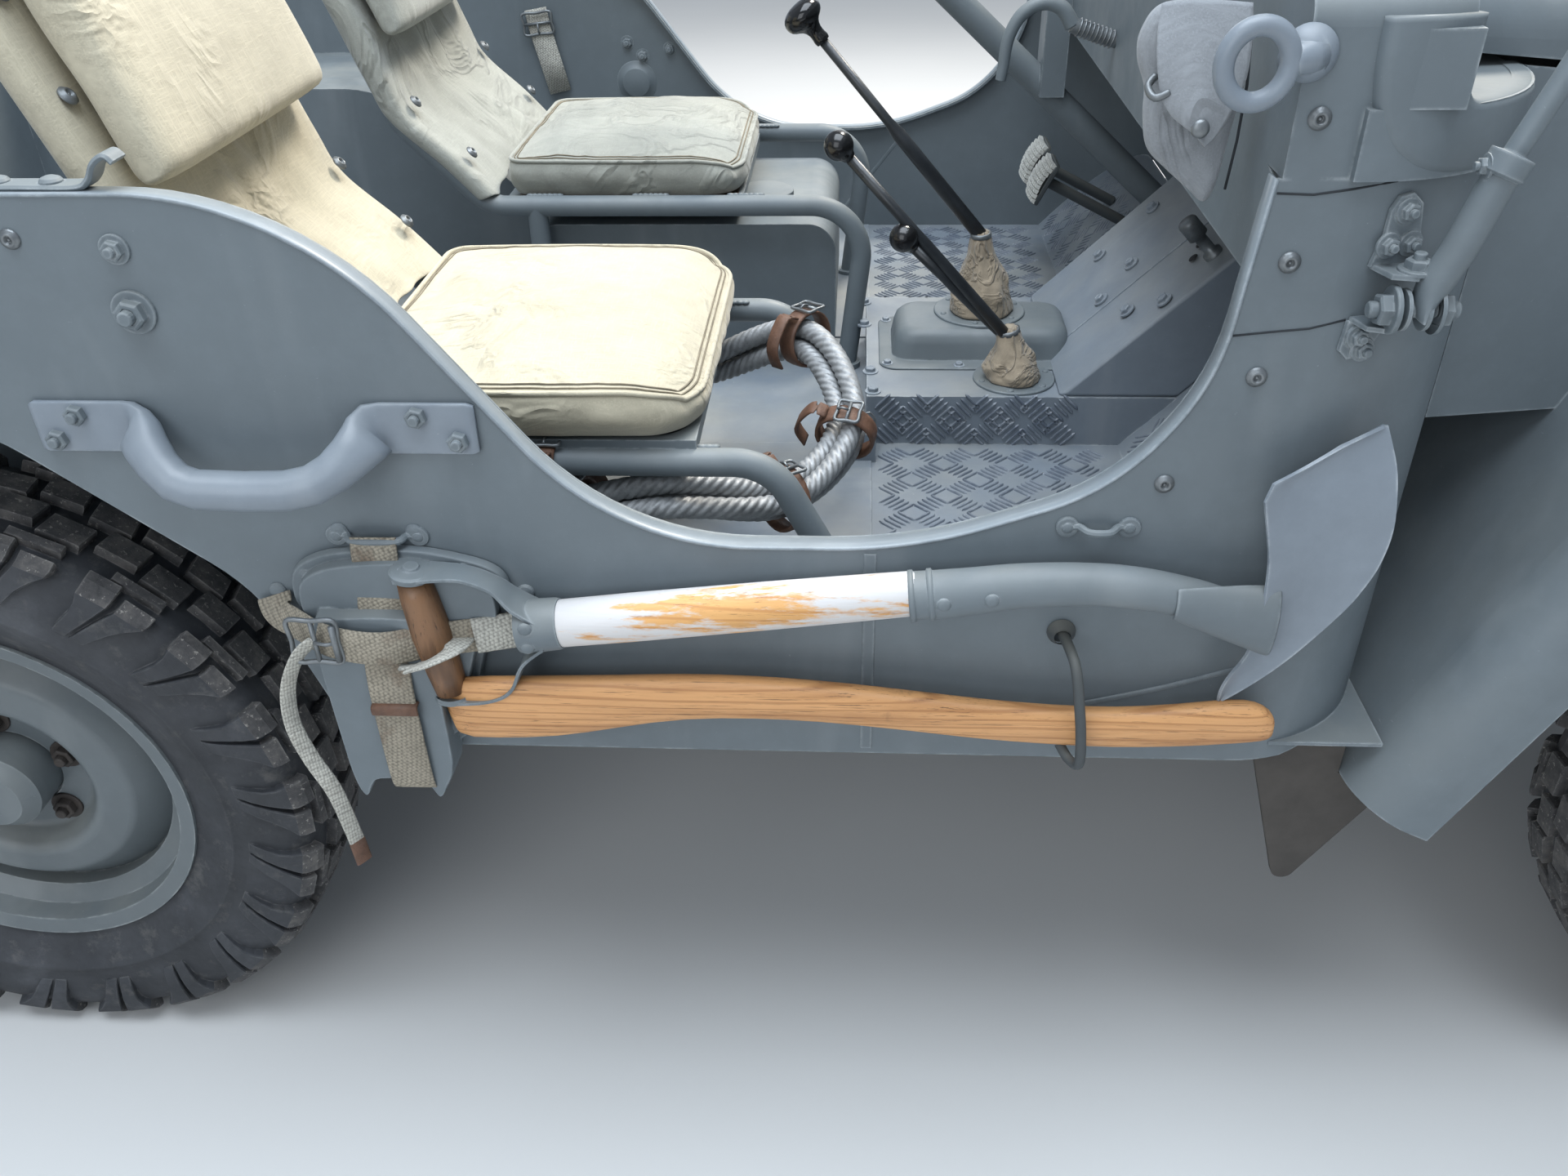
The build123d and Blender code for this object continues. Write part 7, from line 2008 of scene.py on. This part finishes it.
# catches on the rail
for side, tag in SIDES:
    bm = bmesh.new()
    sweep(
        bm,
        curve_points(
            [
                P(262, side * 716, 1034.5), P(300, side * 716, 1034.5), P(340, side * 716, 1034.5),
                P(352, side * 716, 1040), P(360, side * 716, 1052), P(370, side * 716, 1058),
                P(376, side * 716, 1053)
            ],
            6
        ),
        flat_profile(0.024, 0.005), UP, follow=True
    )
    for x in (276, 318):
        round_head(bm, P(x, side * 716, 1037), UP, 0.009, 0.5)
    piece("rail_catch_" + tag, bm, body_paint, bevel=0.0006)


# ---------------------------------------------------------------- cowl trim and mirrors


def on_corner(x, off, z, side):
    """A place on the cowl's rounded corner, off mm outside it."""
    if x <= CORNER_X:
        return P(x, side * (HALF_TUB + off), z)
    a = math.asin(min(1, (x - CORNER_X) / CORNER_R))
    r = CORNER_R + off
    return P(CORNER_X + math.sin(a) * r, side * (HALF_TUB - CORNER_R + math.cos(a) * r), z)


for side, tag in SIDES:
    bm = bmesh.new()
    upper = [
        (1312, 976), (1318, 1000), (1318, 1018), (1323, 1028), (1333, 1030), (1342, 1022),
        (1346, 1000), (1350, 976)
    ]
    lower = [(1306, 934), (1304, 910), (1311, 903), (1323, 905), (1330, 916), (1340, 934)]
    out = Vector((math.sin(0.27), side * math.cos(0.27), 0))
    for outline in (upper, lower):
        slab(bm, [on_corner(x, 0.6, z, side) for x, z in outline], out, 0.004)
    for x0, x1, z, reach in ((1314, 1349, 974, 34), (1308, 1340, 933, 30)):
        rim = [
            on_corner(x0, 0.6, z, side), on_corner(x1, 0.6, z, side),
            on_corner(x1 - 4, reach - 8, z, side), on_corner((x0 + x1) / 2, reach, z, side),
            on_corner(x0 + 4, reach - 8, z, side)
        ]
        slab(bm, rim, UP, 0.004)
    for x, z in ((1331, 1017), (1322, 992), (1339, 992), (1316, 922), (1322, 911)):
        hex_bolt(bm, on_corner(x, 4.4, z, side), out, 0.0068, True, True)
    hex_bolt(bm, on_corner(1336, 22, 978, side), UP, 0.0095, True, True)
    pivot = P(1344, side * 752, 951)
    for d in (-1, 1):
        hex_bolt(bm, pivot + Vector((d * 0.015, 0, 0)), (d, 0, 0), 0.0125, True, True)
        lathe(
            bm, pivot + Vector((d * 0.006, 0, 0)), (d, 0, 0),
            [(0, 0), (0, 0.0155), (0.003, 0.0155), (0.003, 0)], 28
        )
    lathe(
        bm, pivot - Vector((0.016, 0, 0)), AHEAD, [(0, 0), (0, 0.006), (0.032, 0.006), (0.032, 0)],
        16
    )
    arm = curve_points(
        [
            P(1348, side * 752, 946), P(1352, side * 753, 966), P(1364, side * 755, 1000),
            P(1380, side * 756, 1060)
        ],
        8
    )
    rings = []
    for i, p in enumerate(arm):
        t = min(1, i / 10)
        tan = (arm[min(i + 1, len(arm) - 1)] - arm[max(i - 1, 0)]).normalized()
        thin = Vector(AHEAD) - tan * tan.x
        thin.normalize()
        wide = tan.cross(thin)
        rings.append(
            [
                bm.verts.new(
                    p + thin * math.cos(a) * (0.003 + 0.0095 * t)
                    + wide * math.sin(a) * (0.0165 - 0.004 * t)
                )
                for a in (ROUND * k / 20 for k in range(20))
            ]
        )
    skin(bm, rings, ends=1)
    top = arm[-1]
    run = (P(1420, side * 746, 1160) - top).normalized()
    lathe(bm, top, run, [(-0.012, 0.0125), (-0.010, 0.0155), (0.004, 0.0155), (0.005, 0.008)], 24)
    hex_bolt(bm, top + Vector((-0.014, 0, -0.004)), (-1, 0, 0), 0.0062, True, True)
    rod(
        bm, [top, (1420, side * 746, 1160), (1440, side * 726, 1240), (1446, side * 712, 1290)], 8,
        0.0082, 14, AHEAD, follow=True
    )
    lathe(
        bm, P(1438, side * 712, 1290), AHEAD,
        [
            (0, 0), (0, 0.0655), (-0.0015, 0.0665), (-0.002, 0.068), (0.006, 0.0685),
            (0.012, 0.060), (0.018, 0.042), (0.022, 0.018), (0.0235, 0)
        ],
        48
    )
    piece(
        "mirror_arm_" + tag, bm, body_paint, bevel=0.0004, replaces=["mirrors"] if side < 0 else ()
    )
    bm = bmesh.new()
    lathe(
        bm, P(1437.4, side * 712, 1290), (-1, 0, 0), [(0, 0.0645), (0.0006, 0.064), (0.0012, 0)], 48
    )
    piece("mirror_face_" + tag, bm, mirror_silver)
    seam = bmesh.new()
    for pts in (
        [(1236, 1030), (1262, 1029), (1290, 1033), (1320, 1038)],
        [(1224, 921), (1250, 924), (1280, 927), (1306, 934)]
    ):
        sweep(seam, [on_corner(x, 0.1, z, side) for x, z in pts], ring_profile(0.0009, 6), UP)
    sweep(seam, [on_corner(950, 0.1, z, side) for z in (716, 660)], ring_profile(0.0007, 6), AHEAD)
    piece("cowl_seams_" + tag, seam, seam_dark)


# ---------------------------------------------------------------- pouch
OUTLINE = [
    (1138, 1128), (1152, 1147), (1190, 1148), (1216, 1140), (1222, 1100), (1217, 1050),
    (1213, 1014), (1206, 998), (1190, 1010), (1170, 1026), (1154, 1042), (1148, 1066), (1146, 1088),
    (1138, 1108)
]
bag_line = curve_points([Vector((x, z, 0)) for x, z in OUTLINE], 5, True)
bm = bmesh.new()
steps = 11
mid = Vector((1196, 1078, 0))
layers = []
for sgn in (-1, 1):
    rings = []
    for i in range(steps + 1):
        k = 1 - i / steps
        ring = []
        for n, p in enumerate(bag_line):
            q = mid + (p - mid) * k
            puff = 17 * math.sqrt(max(0, 1 - k * k)) if k < 1 else 0
            crease = 5.5 * noise.noise(
                Vector((q.x * 0.030 + q.y * 0.022, q.y * 0.008, 3.0))
            ) + 4 * noise.noise(Vector((q.x * 0.07 - q.y * 0.05, q.y * 0.02, 9.0)))
            ring.append(
                (q.x, -652 + sgn * (puff + (crease * (1 - k) * 1.6 if sgn < 0 else 0)), q.y)
            )
        rings.append(ring)
    layers.append(rings)
edge_ring = [bm.verts.new(P(*c)) for c in layers[0][0]]
for rings in layers:
    last = edge_ring
    for ring in rings[1:-1]:
        now = [bm.verts.new(P(*c)) for c in ring]
        skin(bm, (last, now))
        last = now
    tip = bm.verts.new(P(*rings[-1][0]))
    for n in range(len(last)):
        bm.faces.new((last[n], last[(n + 1) % len(last)], tip))
piece("pouch_bag", bm, pouch_canvas, subsurf=1, replaces=["pouch"])
bm = bmesh.new()
FLAP_ROWS = [
    [(1150, -664, 1146), (1176, -667, 1149), (1214, -664, 1146)],
    [(1148, -673, 1126), (1178, -678, 1124), (1216, -671, 1122)],
    [(1150, -680, 1104), (1180, -686, 1098), (1214, -677, 1092)],
    [(1156, -683, 1084), (1178, -691, 1076), (1200, -684, 1062)],
    [(1166, -686, 1072), (1180, -692, 1062), (1190, -688, 1052)]
]
grid = []
for row in FLAP_ROWS:
    line = curve_points([Vector(p) for p in row], 8)
    grid.append(line)
cols = list(zip(*grid))
cols = [curve_points(list(c), 5) for c in cols]
verts = [[bm.verts.new(P(p.x, p.y, p.z)) for p in c] for c in cols]
skin(bm, verts, closed=False)
flap = piece("pouch_flap", bm, pouch_canvas)
mod = flap.modifiers.new("thick", "SOLIDIFY")
mod.thickness, mod.offset = 0.0026, 0
bm = bmesh.new()
sweep(
    bm,
    [
        P(x, -652 - d, z) for x, z,
        d in ((1217, 1128, 12), (1220, 1090, 13), (1220, 1050, 12), (1219, 1012, 6))
    ],
    ring_profile(0.0011, 6), LEFT
)
piece("pouch_seam", bm, seam_dark)
bm = bmesh.new()
lathe(
    bm, P(1184, -692, 1066), (0, -1, 0.1),
    [(0, 0.007), (0.002, 0.0065), (0.0035, 0.004), (0.0035, 0)], 20
)
rod(
    bm, [(1152, -668, 1098), (1146, -674, 1092), (1150, -684, 1086), (1160, -684, 1090)], 5, 0.003,
    8, UP
)
piece("pouch_stud", bm, worn_steel)


# ---------------------------------------------------------------- straps and fittings on the inner sides
for side, tag in SIDES:
    yy = side * 724
    bm = bmesh.new()
    sweep(
        bm,
        [
            P(366, yy - side * 3, 925), P(372, yy - side * 7, 890), P(384, yy - side * 8, 840),
            P(396, yy - side * 6, 786)
        ],
        flat_profile(0.040, 0.0028), (0, -side, 0)
    )
    piece("inner_strap_" + tag, bm, light_web)
    bm = bmesh.new()
    roller_buckle(
        bm, P(369, yy - side * 10, 902), (0.1, 0, -1), (0, -side, 0), 0.050, 0.034, 0.0024
    )
    piece("inner_buckle_" + tag, bm, worn_steel)
    bm = bmesh.new()
    lathe(
        bm, P(535, side * INNER_Y, 801), (0, -side, 0),
        [
            (-0.001, 0.036), (0.002, 0.036), (0.004, 0.030), (0.010, 0.024), (0.013, 0.010),
            (0.0135, 0)
        ],
        36
    )
    for x, z in ((523, 867), (549, 845), (598, 856)):
        hex_bolt(bm, P(x, side * INNER_Y, z), (0, -side, 0), 0.0085, True, True)
    for x0, z0, x1, z1 in ((470, 690, 640, 560), (700, 640, 640, 560), (900, 560, 1010, 700)):
        sweep(bm, [P(x0, side * 727, z0), P(x1, side * 727, z1)], ring_profile(0.004, 8, 0.6), LEFT)
    piece("inner_fittings_" + tag, bm, body_paint, bevel=0.0006)


# ---------------------------------------------------------------- raised rim round the cowl's corner
OUTER = [
    (1284, 1148), (1285, 1115), (1291, 1085), (1304, 1062), (1325, 1047), (1350, 1040),
    (1380, 1039.5), (1410, 1039.5), (1430, 1039.5), (1440, 1039.5)
]
INNER = [
    (1352.5, 1148), (1352.5, 1128), (1353, 1108), (1356, 1096), (1363, 1090.5), (1378, 1089.6),
    (1398, 1089.6), (1420, 1089.6), (1435, 1089.6), (1440, 1089.6)
]
ACROSS = [
    (0.0, 0.2), (0.02, 5.0), (0.07, 8.2), (0.15, 9.4), (0.5, 9.8), (0.88, 9.4), (0.96, 8.2),
    (1.0, 5.0), (1.0, -8.0)
]
for side, tag in SIDES:
    outer = curve_points([Vector((x, z, 0)) for x, z in OUTER], 6)
    inner = curve_points([Vector((x, z, 0)) for x, z in INNER], 6)
    bm = bmesh.new()
    grid = []
    for o, i in zip(outer, inner):
        grid.append(
            [
                bm.verts.new(
                    on_corner(min(1440, o.x + (i.x - o.x) * s), off, o.y + (i.y - o.y) * s, side)
                ) for s,
                off in ACROSS
            ]
        )
    skin(bm, grid, closed=False)
    bm.faces.new(grid[0])
    piece("cowl_rim_" + tag, bm, body_paint)


# ---------------------------------------------------------------- lamp rings
LAMP_Y, LAMP_Z, SCREW_R = 0.346, 0.862, 0.0925
low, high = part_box("lamps")
front = high[0] - 0.024
bm = bmesh.new()
for side in (-1, 1):
    lathe(
        bm, (front, side * LAMP_Y, LAMP_Z), AHEAD,
        [
            (-0.012, 0.098), (0.0, 0.099), (0.006, 0.097), (0.009, 0.091), (0.006, 0.084),
            (0.002, 0.083)
        ],
        64
    )
    for a in (90, 210, 330):
        c = Vector(
            (
                front + 0.006, side * LAMP_Y + SCREW_R * math.cos(math.radians(a)),
                LAMP_Z + SCREW_R * math.sin(math.radians(a))
            )
        )
        round_head(bm, c, AHEAD, 0.0042, 0.6)
piece("lamp_rings", bm, body_paint)
bm = bmesh.new()
for side in (-1, 1):
    at = Vector((low[0] - 0.0002, side * 0.600, 0.640))
    lathe(
        bm, at, (-1, 0, 0),
        [(-0.030, 0.0372), (-0.006, 0.0376), (0.0015, 0.034), (0.0018, 0.027), (0.0, 0.0262)], 40
    )
piece("tail_lamp_rings", bm, body_paint)


# ---------------------------------------------------------------- stage
floor = bpy.data.objects.new("floor", bpy.data.meshes.new("floor"))
bpy.context.scene.collection.objects.link(floor)
floor.data.from_pydata([(-30, -30, 0), (30, -30, 0), (30, 30, 0), (-30, 30, 0)], [], [(0, 1, 2, 3)])
pale = Mat("pale_floor", 0.9)
floor.data.materials.append(
    pale.done(pale.ramp(pale.noise(0.4), (0.3, rgb(203, 203, 201)), (0.7, rgb(209, 209, 207))))
)
